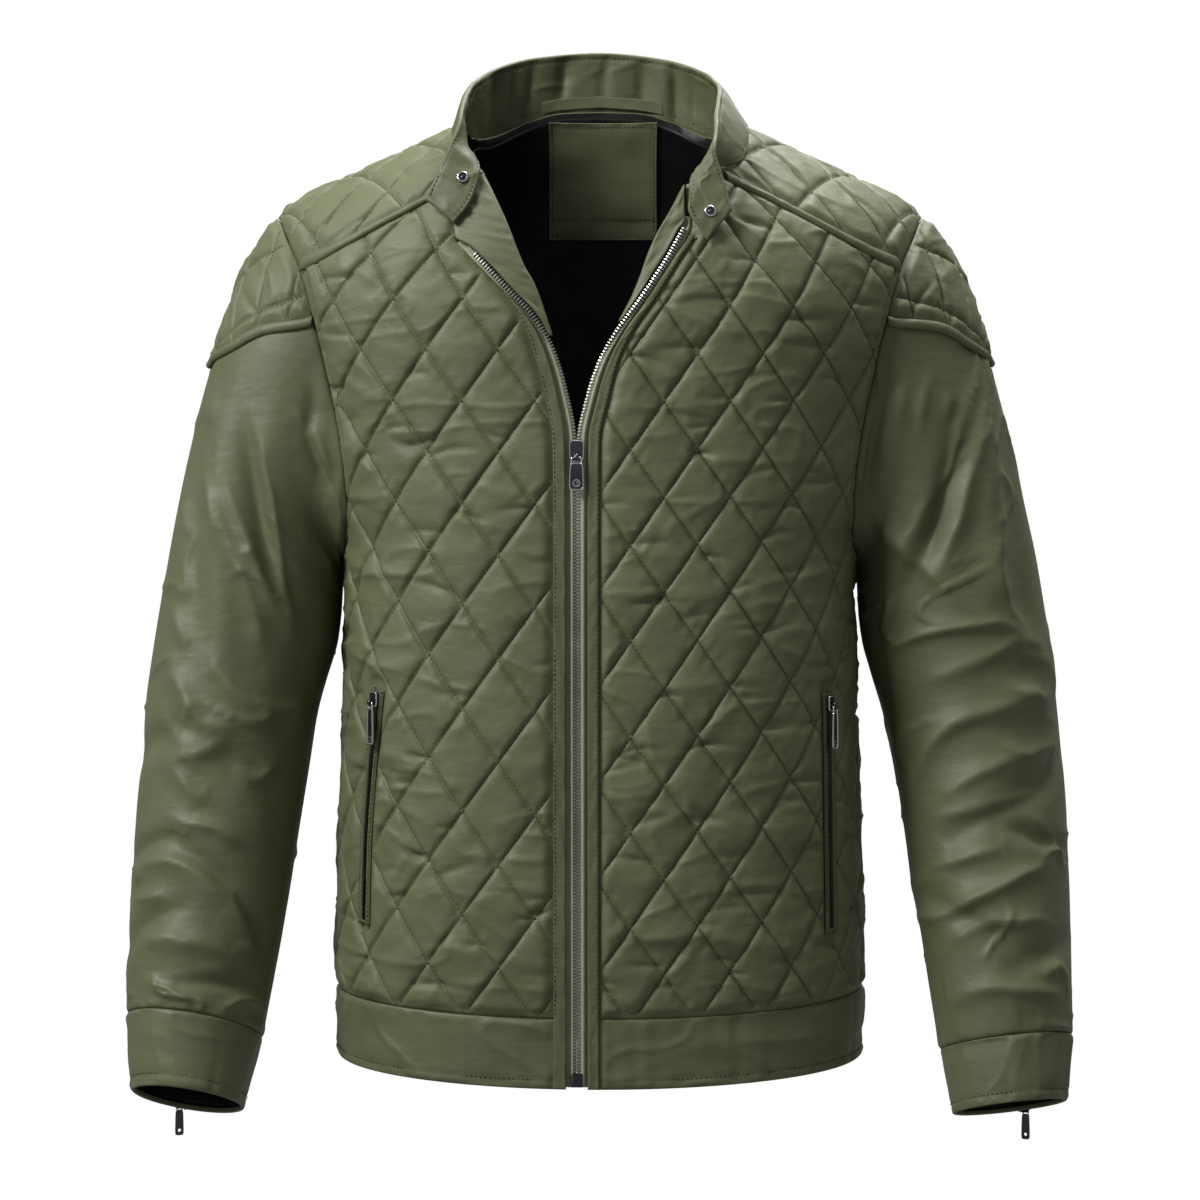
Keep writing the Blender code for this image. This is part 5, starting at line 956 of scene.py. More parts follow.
def noise(x, y, seed=0):
    """Smooth noise from -1 to 1 with one hill or hollow to each unit of x and y."""
    x, y = np.broadcast_arrays(np.asarray(x, float), y)
    i, j = np.floor(x), np.floor(y)
    u, v = smoothstep(0, 1, x - i), smoothstep(0, 1, y - j)

    def corner(a, b):
        value = np.sin((i + a) * 127.1 + (j + b) * 311.7 + seed * 74.7) * 43758.5453
        return 2 * (value - np.floor(value)) - 1

    low = corner(0, 0) * (1 - u) + corner(1, 0) * u
    high = corner(0, 1) * (1 - u) + corner(1, 1) * u
    return low * (1 - v) + high * v


def crumple(x, y, seed, sharp=5):
    """Thin crests that wander over the plane, from 0 to 1."""
    bent = noise(x * 0.6, y * 0.6, seed + 5) * 0.7
    return (1 - np.abs(noise(x + bent, y - bent, seed))) ** sharp


def smooth_line(points, count=13):
    """A line through given points, bent smoothly."""
    points = np.asarray(points, float)
    knots = np.linspace(0, 1, len(points))
    at = np.linspace(0, 1, count)
    if len(points) == 2:
        return points[0] + (points[1] - points[0]) * at[:, None]
    columns = [read([(k, value) for k, value in zip(knots, points[:, i])], 1, at)
               for i in range(points.shape[1])]
    return np.stack(columns, axis=1)


def along_line(line, flat):
    """Signed distance of each point from a line, and its share of the way along it."""
    start, step = line[:-1], np.diff(line, axis=0)
    lengths = np.linalg.norm(step, axis=1)
    offset = flat[:, None] - start[None]
    share = np.clip((offset * step).sum(-1) / lengths ** 2, 0, 1)
    gap = offset - share[..., None] * step
    reach = np.linalg.norm(gap, axis=-1)
    nearest = reach.argmin(axis=1)
    pick = np.arange(len(flat))
    gap = gap[pick, nearest]
    side = np.sign(step[nearest, 0] * gap[:, 1] - step[nearest, 1] * gap[:, 0])
    run = np.concatenate([[0], np.cumsum(lengths)])
    along = (run[nearest] + share[pick, nearest] * lengths[nearest]) / run[-1]
    return reach[pick, nearest] * side, along


def fold_rise(flat, folds):
    """Rise of listed folds: each is a line on the flat cloth, a half width, a height, and a lean
    that makes the side on its right steeper."""
    shape = flat.shape[:-1]
    flat = flat.reshape(-1, 2)
    total = np.zeros(len(flat))
    for line, width, height, lean in folds:
        low, high = line.min(axis=0) - 3 * width, line.max(axis=0) + 3 * width
        near = np.nonzero(((flat > low) & (flat < high)).all(axis=1))[0]
        if not len(near):
            continue
        gap, along = along_line(line, flat[near])
        tilt = 0.5 * lean * np.sin(math.pi * along)
        u = gap / (width * np.where(gap > 0, 1 + tilt, 1 - tilt))
        taper = np.sin(math.pi * (0.06 + 0.88 * along)) ** 0.8
        total[near] += height * taper * np.exp(-1.5 * (np.sqrt(u ** 2 + 0.05) - 0.22))
    return total.reshape(shape)


# ---------------------------------------------------------------- materials
def add_node(tree, kind, **inputs):
    """A shader node with values put in its inputs; an underscore in a name stands for a space."""
    made = tree.nodes.new(kind)
    for name, value in inputs.items():
        made.inputs[name.replace("_", " ")].default_value = value
    return made


def noise_node(tree, coords, scale, detail):
    """The factor of a noise texture in the object's own coordinates."""
    made = add_node(tree, "ShaderNodeTexNoise", Scale=scale, Detail=detail, Roughness=0.55)
    tree.links.new(coords.outputs["Object"], made.inputs["Vector"])
    return made.outputs["Fac"]


def blend_colours(tree, factor, low, high, low_at, high_at):
    """A colour ramp from the low colour at one factor to the high colour at another."""
    ramp = tree.nodes.new("ShaderNodeValToRGB")
    ramp.color_ramp.elements[0].position = low_at
    ramp.color_ramp.elements[0].color = (*low, 1)
    ramp.color_ramp.elements[1].position = high_at
    ramp.color_ramp.elements[1].color = (*high, 1)
    tree.links.new(factor, ramp.inputs["Fac"])
    return ramp.outputs["Color"]


def bump(tree, height, distance, strength, normal=None):
    """The normal of a bump over a height, on top of another normal if there is one."""
    made = add_node(tree, "ShaderNodeBump", Strength=strength, Distance=distance)
    tree.links.new(height, made.inputs["Height"])
    if normal:
        tree.links.new(normal, made.inputs["Normal"])
    return made.outputs["Normal"]


def spread_value(tree, factor, low, high):
    """The middle range of a noise's factor spread between two values."""
    made = add_node(tree, "ShaderNodeMapRange", From_Min=0.3, From_Max=0.7, To_Min=low, To_Max=high)
    tree.links.new(factor, made.inputs["Value"])
    return made.outputs["Result"]


def level_wrinkles(tree, coords):
    """Small wrinkles that lie level on the hanging cloth."""
    squeezed = tree.nodes.new("ShaderNodeMapping")
    squeezed.inputs["Scale"].default_value = (0.42, 0.42, 1.0)
    tree.links.new(coords.outputs["Object"], squeezed.inputs["Vector"])
    made = add_node(tree, "ShaderNodeTexNoise", Scale=115, Detail=2, Roughness=0.5, Distortion=0.4)
    tree.links.new(squeezed.outputs["Vector"], made.inputs["Vector"])
    return made.outputs["Fac"]


def weave(tree, coords, pitch):
    """Crossing threads of a plain weave at a pitch in metres."""
    bands = []
    for direction in ("DIAGONAL", "Z"):
        made = tree.nodes.new("ShaderNodeTexWave")
        made.wave_type = "BANDS"
        made.bands_direction = direction
        made.inputs["Scale"].default_value = 0.314 / pitch
        made.inputs["Distortion"].default_value = 0.6
        tree.links.new(coords.outputs["Object"], made.inputs["Vector"])
        bands.append(made.outputs["Fac"])
    both = tree.nodes.new("ShaderNodeMath")
    both.operation = "MAXIMUM"
    tree.links.new(bands[0], both.inputs[0])
    tree.links.new(bands[1], both.inputs[1])
    return both.outputs["Value"]


# slot, darker and lighter colour, least and greatest roughness, metallic, pitch of the weave (mm), crinkle,
# specular
FINISHES = {
    "quilted": ("shell_quilted", (0.086, 0.092, 0.042), (0.101, 0.108, 0.051), 0.54, 0.66, 0, 0.45, 0.60,
                0.42),
    "plain": ("shell_plain", (0.078, 0.084, 0.038), (0.092, 0.099, 0.047), 0.50, 0.62, 0, 0.40, 0.50, 0.42),
    "patch": ("patch", (0.090, 0.097, 0.047), (0.105, 0.113, 0.056), 0.48, 0.58, 0, 0.45, 0.35, 0.50),
    "lining": ("lining", (0.0015, 0.0015, 0.0018), (0.0035, 0.0035, 0.004), 0.40, 0.52, 0, 0.30, 0.30, 0.22),
    "thread": ("shell_quilted", (0.008, 0.010, 0.004), (0.016, 0.018, 0.008), 0.60, 0.70, 0, 0.20, 0.0, 0.30),
    "tape": ("zip_tape", (0.210, 0.225, 0.145), (0.260, 0.275, 0.185), 0.65, 0.80, 0, 0.70, 0.0, 0.30),
    "metal": ("zip_metal", (0.050, 0.050, 0.062), (0.095, 0.095, 0.110), 0.22, 0.36, 1, 0.0, 0.05, 0.50),
    # rim: bright silver put on the metal parts' edges and rims, a painted highlight
    "rim": ("zip_metal", (0.620, 0.620, 0.640), (0.760, 0.760, 0.780), 0.16, 0.28, 1, 0.0, 0.05, 0.50),
    "teeth": ("zip_teeth", (0.280, 0.280, 0.250), (0.520, 0.520, 0.480), 0.30, 0.44, 1, 0.0, 0.05, 0.50),
}


def make_material(name):
    """The material of one finish."""
    _, low, high, smooth, rough, metallic, pitch, crinkle, specular = FINISHES[name]
    made = bpy.data.materials.new(name)
    made.use_nodes = True
    made.diffuse_color = (*high, 1)
    tree = made.node_tree
    shader = tree.nodes["Principled BSDF"]
    coords = tree.nodes.new("ShaderNodeTexCoord")
    broad = noise_node(tree, coords, 16, 4)
    tree.links.new(blend_colours(tree, broad, low, high, 0.34, 0.66), shader.inputs["Base Color"])
    tree.links.new(spread_value(tree, noise_node(tree, coords, 60, 3), smooth, rough),
                   shader.inputs["Roughness"])
    shader.inputs["Metallic"].default_value = metallic
    shader.inputs["Specular IOR Level"].default_value = specular
    normal = None
    if crinkle:
        normal = bump(tree, noise_node(tree, coords, 95, 3), 0.0006, crinkle)
        normal = bump(tree, level_wrinkles(tree, coords), 0.0011, crinkle, normal)
    if pitch:
        normal = bump(tree, weave(tree, coords, pitch * MM), 0.00006, 0.35, normal)
    else:
        normal = bump(tree, noise_node(tree, coords, 1500, 2), 0.00003, 0.3, normal)
    tree.links.new(normal, shader.inputs["Normal"])
    return made


MATERIALS = {name: make_material(name) for name in FINISHES}


# ---------------------------------------------------------------- pieces
def enclosed(vertices, faces):
    """Volume inside the faces: below 0 where they are wound inward."""
    total = 0.0
    for size in (3, 4):
        corners = np.array([face for face in faces if len(face) == size])
        if len(corners):
            points = vertices[corners]
            for k in range(1, size - 1):
                total += np.einsum("ij,ij->i", points[:, 0], np.cross(points[:, k], points[:, k + 1])).sum()
    return total / 6


def add_piece(name, vertices, faces, finishes, replaced=(), finish_of_face=None, cut=None, body="jacket"):
    """A piece of the dressed jacket; cut, the width, length and area it was cut to, is not used."""
    vertices = np.asarray(vertices, float).reshape(-1, 3)
    if enclosed(vertices, faces) < 0:
        faces = [face[::-1] for face in faces]
    mesh = bpy.data.meshes.new(name)
    mesh.from_pydata(vertices.tolist(), [], faces)
    mesh.shade_smooth()
    for finish in finishes:
        mesh.materials.append(MATERIALS[finish])
    if finish_of_face is not None:
        mesh.polygons.foreach_set("material_index", np.asarray(finish_of_face, dtype=np.int32))
    made = bpy.data.objects.new(name, mesh)
    bpy.context.scene.collection.objects.link(made)
    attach(made, body)
    if replaced:
        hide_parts(*replaced)
    return made


NARROWEST = 10.1 * MM        # a narrow strip is cut at least this wide, its edges sewn in


def cut_of(grid, closed=False):
    """Width, length and area of the plain cloth that a grid of points stands for."""
    if closed:
        grid = np.concatenate([grid, grid[:, :1]], axis=1)
    across = np.linalg.norm(np.diff(grid, axis=1), axis=-1)
    along = np.linalg.norm(np.diff(grid, axis=0), axis=-1)
    first = np.linalg.norm(np.cross(grid[1:, :-1] - grid[:-1, :-1], grid[:-1, 1:] - grid[:-1, :-1]), axis=-1)
    second = np.linalg.norm(np.cross(grid[1:, :-1] - grid[1:, 1:], grid[:-1, 1:] - grid[1:, 1:]), axis=-1)
    area = float((first + second).sum() / 2)
    width, length = max(float(across.sum(axis=1).max()), NARROWEST), float(along.sum(axis=0).max())
    length = max(length, area / width, NARROWEST)
    return width, length, max(area, 0.31 * width * length)


def grid_faces(rows, columns, closed, first=0):
    """Quads over a grid of points."""
    last = columns if closed else columns - 1
    i, j = np.meshgrid(np.arange(rows - 1), np.arange(last), indexing="ij")
    k = (j + 1) % columns
    quads = np.stack([i * columns + j, i * columns + k, (i + 1) * columns + k, (i + 1) * columns + j],
                     axis=-1)
    return [tuple(quad) for quad in (quads.reshape(-1, 4) + first).tolist()]


def slab(name, outer, inner, closed, finishes, replaced=(), inner_finish=0, cut=None):
    """A cloth between two grids of points of one shape, closed at its rims."""
    rows, columns = outer.shape[:2]
    count = rows * columns
    faces = grid_faces(rows, columns, closed)
    inside_faces = [face[::-1] for face in grid_faces(rows, columns, closed, count)]
    finish = [0] * len(faces) + [inner_finish] * len(inside_faces)
    faces += inside_faces
    last = columns if closed else columns - 1
    for row, flip in ((0, 1), ((rows - 1) * columns, -1)):
        for j in range(last):
            k = (j + 1) % columns
            faces.append((row + j, count + row + j, count + row + k, row + k)[::flip])
    if not closed:
        for column, flip in ((0, -1), (columns - 1, 1)):
            for i in range(rows - 1):
                a, b = i * columns + column, (i + 1) * columns + column
                faces.append((a, count + a, count + b, b)[::flip])
    finish += [0] * (len(faces) - len(finish))
    vertices = np.concatenate([outer.reshape(-1, 3), inner.reshape(-1, 3)])
    return add_piece(name, vertices, faces, finishes, replaced, finish, cut)


def edge_steps(length, spacing, half):
    """Shares from 0 to 1 along a length, close together near the two ends."""
    ends = np.array([0, 0.08, 0.3, 0.65, 1.1]) * half
    middle_count = max(2, math.ceil((length - 2 * ends[-1]) / spacing) + 1)
    middle = np.linspace(ends[-1], length - ends[-1], middle_count)
    return np.concatenate([ends[:-1], middle, length - ends[:-1][::-1]]) / length


def rim_distance(grid, closed):
    """Distance of each point of a grid from the cloth's rims."""
    def from_ends(axis):
        steps = np.linalg.norm(np.diff(grid, axis=axis), axis=-1)
        start = np.zeros_like(np.take(steps, [0], axis=axis))
        total = np.concatenate([start, np.cumsum(steps, axis=axis)], axis=axis)
        whole = np.take(total, [-1], axis=axis)
        return np.minimum(total, whole - total)

    return from_ends(0) if closed else np.minimum(from_ends(0), from_ends(1))


def rounded(edge, half):
    """Half thickness of cloth whose rims are folded round."""
    return half * np.sqrt(1 - np.clip(1 - edge / half, 0, 1) ** 2)


def folded_cloth(name, place, a, b, half, rise, inner_rise, closed, finishes, replaced, inner_finish=0):
    """Plain cloth over a grid of places: place(a, b, lift) gives a point off the cloth's middle."""
    a, b = np.broadcast_arrays(a, b)
    middle = place(a, b, np.zeros(a.shape))
    edge = rim_distance(middle, closed)
    thick = rounded(edge, half)
    hold = smoothstep(0, 2.5 * half, edge)
    outer = place(a, b, thick + rise * hold)
    inner = place(a, b, -thick - inner_rise * hold)
    return slab(name, outer, inner, closed, finishes, replaced, inner_finish, cut_of(middle, closed))


# ---------------------------------------------------------------- thread
STITCH_PITCH = 3.3 * MM
STITCH_LENGTH = 2.4 * MM
THREAD_HALF = 0.42 * MM


def spindles(middle, along, out):
    """Stitches as short tapered threads: six points and eight faces each."""
    across = np.cross(along, out)
    ends = along * (STITCH_LENGTH / 2)
    sink = out * (0.25 * MM)
    points = np.stack([middle - ends - sink, middle + across * THREAD_HALF,
                       middle + out * (THREAD_HALF * 0.9),
                       middle - across * THREAD_HALF, middle - out * THREAD_HALF, middle + ends - sink],
                       axis=1)
    faces = []
    for k in range(4):
        m = 1 + (k + 1) % 4
        faces += [(0, 1 + k, m), (5, m, 1 + k)]
    faces = np.array(faces)
    first = np.arange(len(middle))[:, None, None] * 6
    return points.reshape(-1, 3), (faces[None] + first).reshape(-1, 3)


def add_thread(name, runs, slot="thread"):
    """Stitches along runs of places: each run is its points and the directions out of the cloth."""
    middles, alongs, outs = [], [], []
    for points, normals in runs:
        run = np.concatenate([[0], np.cumsum(np.linalg.norm(np.diff(points, axis=0), axis=1))])
        if run[-1] < 2 * STITCH_PITCH:
            continue
        at = np.arange(STITCH_PITCH / 2, run[-1], STITCH_PITCH)
        ahead, behind = (np.stack([np.interp(at + way, run, points[:, k]) for k in range(3)], axis=1)
                         for way in (0.5 * MM, -0.5 * MM))
        out = np.stack([np.interp(at, run, normals[:, k]) for k in range(3)], axis=1)
        along = ahead - behind
        good = np.linalg.norm(along, axis=1) > 1e-6
        middles.append((ahead + behind)[good] / 2)
        alongs.append(along[good] / np.linalg.norm(along[good], axis=1, keepdims=True))
        outs.append(out[good] / np.linalg.norm(out[good], axis=1, keepdims=True))
    middle, along, out = (np.concatenate(part) for part in (middles, alongs, outs))
    points, faces = spindles(middle + out * (0.30 * MM), along, out)
    return add_piece(name, points, [tuple(face) for face in faces.tolist()], [slot])


# ---------------------------------------------------------------- quilted cloth
PUFF_TOP = 3.5 * MM          # rise of a diamond's middle over its stitch lines
PUFF_REACH = (1.6 * MM, 8 * MM)  # the steep swell right beside a stitch line, and the soft one beyond
LATTICE = 22                 # points from one stitch line to the next
CREASES_A_CELL = 2.2         # small creases for each diamond


def fine_rim(outline, spacing=3.0 * MM):
    """The outline with points at most a spacing apart."""
    points = []
    for start, end in zip(outline, np.roll(outline, -1, axis=0)):
        count = max(1, math.ceil(np.linalg.norm(end - start) / spacing))
        points += [start + (end - start) * k / count for k in range(count)]
    return np.array(points)


def lattice(rim, quilt, fine):
    """Points in rows along the stitch lines, closer together near them."""
    steps = np.arange(fine) / fine
    steps = steps - 0.42 * np.sin(2 * math.pi * steps) / (2 * math.pi)
    rows = []
    for phase in quilt_phase(rim, quilt):
        whole = np.arange(math.floor(phase.min()), math.ceil(phase.max()) + 1)
        rows.append((whole[:, None] + steps).ravel())
    rising, falling = np.meshgrid(*rows, indexing="ij")
    points = quilt_place(rising.ravel(), falling.ravel(), quilt)
    low, high = rim.min(axis=0), rim.max(axis=0)
    points = points[((points > low) & (points < high)).all(axis=1)]
    points = points[spread(lambda part: inside(rim, part), points)]
    return points[spread(lambda part: distance_to(rim, part), points) > 1.3 * MM]


def line_spacing(quilt):
    """Length of a diamond's side, and the distance between two stitch lines."""
    width, height = quilt[2] * MM, quilt[3] * MM
    side = math.hypot(width / 2, height / 2)
    return side, width * height / 2 / side


def quilted_rise(flat, quilt, seed):
    """Rise of the padded cloth: soft pillows between the stitch lines, puckered along them."""
    rising, falling = quilt_phase(flat, quilt)
    side, spacing = line_spacing(quilt)
    from_rising = np.abs(rising - np.round(rising)) * spacing
    from_falling = np.abs(falling - np.round(falling)) * spacing
    cell = noise(np.floor(rising) + 0.001, np.floor(falling) + 0.001, seed)

    def beyond(distance):
        steep, soft = (1 - np.exp(-distance / reach) for reach in PUFF_REACH)
        return 0.76 * steep + 0.24 * soft

    swell = beyond(from_rising) * beyond(from_falling)
    pillow = PUFF_TOP * swell * (1 + 0.14 * cell)
    pucker = 0
    for near, place, line in ((from_rising, falling, np.round(rising)),
                              (from_falling, rising, np.round(falling))):
        waves = noise(place * side / (4.6 * MM), near / (16 * MM) + line * 3.7, seed + 2)
        pucker = pucker + waves * np.exp(-near / (6 * MM)) * near / (near + 0.8 * MM)
    fine = noise(flat[..., 0] / (17 * MM), flat[..., 1] / (8 * MM), seed + 3)
    crease = crumple(flat[..., 0] / (46 * MM), flat[..., 1] / (19 * MM), seed + 4)
    return pillow + 1.25 * MM * pucker + (0.40 * MM * fine + 1.5 * MM * crease) * swell


def small_creases(rim, quilt, seed):
    """Short level creases that start at the stitch lines and run out in the diamonds."""
    draw = np.random.default_rng(seed)
    phases = quilt_phase(rim, quilt)
    cells = abs(signed_area(rim)) / (quilt[2] * quilt[3] * MM * MM / 2)
    folds = []
    for _ in range(int(cells * CREASES_A_CELL)):
        family = draw.integers(2)
        own, other = phases[family], phases[1 - family]
        line = float(draw.integers(math.ceil(own.min()), math.floor(own.max()) + 1))
        at = draw.uniform(other.min(), other.max())
        rising, falling = (line, at) if family == 0 else (at, line)
        start = quilt_place(np.array([rising]), np.array([falling]), quilt)
        way = draw.choice((-1, 1))
        length, tilt, arch = draw.uniform(12, 36) * MM, draw.normal(0, 0.16), draw.uniform(-0.05, 0.12)
        reach = np.array([-0.12, 0.2, 0.55, 1.0])[:, None] * length
        points = start + reach * (way * math.cos(tilt), math.sin(tilt))
        points[:, 1] += arch * length * np.sin(math.pi * np.clip(reach[:, 0] / length, 0, 1))
        folds.append((smooth_line(points, 7), draw.uniform(2.2, 3.8) * MM, -draw.uniform(1.2, 3.0) * MM,
                      draw.uniform(0.2, 0.7)))
    return folds


def quilted_cloth(node, chart, outline, quilt, clearance, lean, seed, folds=(), fine=LATTICE, topstitch=()):
    """A quilted piece over its solid, and the thread of its quilting."""
    rim = fine_rim(inset(outline, SEAM_GAP / 2))
    folds = list(folds) + small_creases(rim, quilt, seed)
    flat = np.concatenate([rim, lattice(rim, quilt, fine)])

    def rise_at(places):
        room = spread(lambda part: clearance(part, rim), places)
        rise = quilted_rise(places, quilt, seed) * smoothstep(1.2 * MM, 8 * MM, room)
        for line in topstitch:
            gap = spread(lambda part: distance_to(line, part, False), places)
            rise = rise * (1 - 0.9 * np.exp(-(gap / (2.4 * MM)) ** 2))
            rise = rise - 0.5 * MM * np.exp(-(gap / (1.2 * MM)) ** 2)
            ridge = 1.0 * MM * np.exp(-((gap - 3.4 * MM) / (1.7 * MM)) ** 2)
            rise = rise + ridge * smoothstep(0, 2 * MM, room)
        rise = rise + fold_rise(places, folds) * smoothstep(1.5 * MM, 7 * MM, room)
        return rise - 0.7 * MM * (1 - smoothstep(0, 3 * MM, room)), room

    rise, _ = rise_at(flat)
    a, b = chart.locate(flat)
    middle, normals = chart.surface(a, b), chart.normals(a, b)
    normals[:len(rim)] = lean(middle[:len(rim)], normals[:len(rim)])
    outer = middle + normals * (WALL / 2 + rise)[:, None]
    crossings = quilt_points(rim, quilt)[0]
    a, b = chart.locate(crossings)
    under = chart.surface(a, b) - chart.normals(a, b) * (WALL / 2)
    inner = np.concatenate([middle[:len(rim)] - normals[:len(rim)] * (WALL / 2), under])
    count = len(outer)
    faces = list(triangulate(rim, flat[len(rim):]))
    shown = len(faces)
    faces += [tuple(count + i for i in reversed(face)) for face in triangulate(rim, crossings)]
    lined = len(faces) - shown
    for i in range(len(rim)):
        j = (i + 1) % len(rim)
        faces.append((i, count + i, count + j, j))
    finish = [0] * shown + [1] * lined + [0] * len(rim)
    size = np.ptp(outline, axis=0)
    cut = (float(size[0]), float(size[1]), abs(signed_area(outline)))
    add_piece(node + "_cloth", np.concatenate([outer, inner]), faces, ["quilted", "lining"], [node], finish,
              cut)
    runs = quilting_runs(chart, rim, quilt, rise_at)
    for line in topstitch:
        keep = inside(rim, line)
        places = line[keep]
        rise, _ = rise_at(places)
        runs.append(surface_run(chart, places, rise))
    add_thread(node + "_stitches", runs)


def surface_run(chart, places, rise):
    """Places on the outer face of the cloth, and the surface's normals there."""
    a, b = chart.locate(places)
    normals = chart.normals(a, b)
    return chart.surface(a, b) + normals * (WALL / 2 + rise)[:, None], normals


def quilting_runs(chart, rim, quilt, rise_at):
    """The stitch lines that run over a piece, broken where another piece covers them."""
    phases = quilt_phase(rim, quilt)
    side, _ = line_spacing(quilt)
    runs = []
    for family in (0, 1):
        own, other = phases[family], phases[1 - family]
        at = np.arange(math.floor(other.min()), math.ceil(other.max()), 2.0 * MM / side)
        for line in range(math.ceil(own.min()), math.floor(own.max()) + 1):
            places = (quilt_place(line, at, quilt) if family == 0 else quilt_place(at, line, quilt))
            places = places[inside(rim, places)]
            if len(places) < 5:
                continue
            rise, room = rise_at(places)
            open_cloth = room > 2.0 * MM
            breaks = np.nonzero(np.diff(open_cloth.astype(int)))[0] + 1
            gaps = np.nonzero(np.linalg.norm(np.diff(places, axis=0), axis=1) > 3 * MM)[0] + 1
            for part in np.split(np.arange(len(places)), np.unique(np.concatenate([breaks, gaps]))):
                if len(part) > 4 and open_cloth[part[0]]:
                    runs.append(surface_run(chart, places[part], rise[part]))
    return runs


def armhole_stitch(on_chart, side, first, last):
    """The armhole seam on a chart as a smooth line, which the callers move 7 mm inside."""
    curve = armhole_curve(first, last, sign_of(side))
    line = smooth_line(on_chart(curve[:, 0], curve[:, 1]), 60)
    return line


def make_quilted():
    """Fronts, back, yoke and sleeve heads with their quilting."""
    lean = seam_normals(SLEEVE_CHARTS)
    inset_by = 7 * MM
    for seed, side in enumerate(("right", "left")):
        sign = sign_of(side)
        line = armhole_stitch(on_front, side, ARMPIT_SAMPLE, YOKE_SEAM_SAMPLE)
        line = beside(line, inset_by * sign)
        folds = [(smooth_line(on_front(np.array(points)[:, 0] * MM, np.array(points)[:, 1] * MM)), width * MM,
                  height * MM, tilt) for points, width, height, tilt in FRONT_CREASES[side]]
        quilted_cloth("front_" + side, FRONT_CHART, front_outline(side), QUILT["front_" + side],
                      front_clearance(side), lean, 11 + 10 * seed, folds, topstitch=[line])
    lines = [beside(armhole_stitch(on_back, side, ARMPIT_SAMPLE, YOKE_SEAM_SAMPLE), inset_by * sign_of(side))
             for side in ("right", "left")]
    quilted_cloth("back", BACK_CHART, back_outline(), QUILT["back"], edge_clearance, lean, 41, fine=16,
                  topstitch=lines)
    quilted_cloth("yoke", YOKE_CHART, yoke_outline(), QUILT["yoke"], edge_clearance, lean, 51)
    turns = np.arange(-HEAD_SEAM_SAMPLE, HEAD_SEAM_SAMPLE + 1) / ARMHOLE_SAMPLES
    for side, chart in SLEEVE_CHARTS.items():
        top = chart.flat(turns, np.zeros_like(turns)) + (0, HEAD_EASE)
        lower = chart.flat(turns, section_at(chart, turns, head_depth(turns)))
        quilted_cloth("sleeve_head_" + side, chart, join(top, lower[::-1]), QUILT["sleeve_head"],
                      edge_clearance,
                      lean, 61 if side == "right" else 71)


HEAD_EASE = 0.35 * MM
# x, z of points on the crease as seen from the front; half width, height, lean
FRONT_CREASES = {
    "right": (
        (((-180, -300), (-160, -318), (-128, -322)), 9, 2.2, 0.5),
        (((-175, -372), (-150, -384), (-118, -380)), 8, 1.8, 0.5),
        (((-172, -452), (-150, -446), (-120, -455)), 8, 1.6, 0.4),
        (((-60, -585), (-100, -578), (-140, -590)), 9, 2.0, 0.5),
        (((-30, -540), (-58, -536), (-92, -548)), 8, 1.6, 0.4),
    ),
    "left": (
        (((10, -568), (38, -570), (64, -568), (85, -572), (106, -577)), 8, 2.6, 0.6),
        (((112, -575), (150, -585)), 8, 2.0, 0.5),
        (((5, -474), (45, -484), (82, -487)), 8, 1.8, 0.5),
        (((178, -300), (158, -316), (126, -322)), 9, 2.0, 0.5),
        (((20, -392), (52, -398), (86, -394)), 8, 1.4, 0.4),
    ),
}


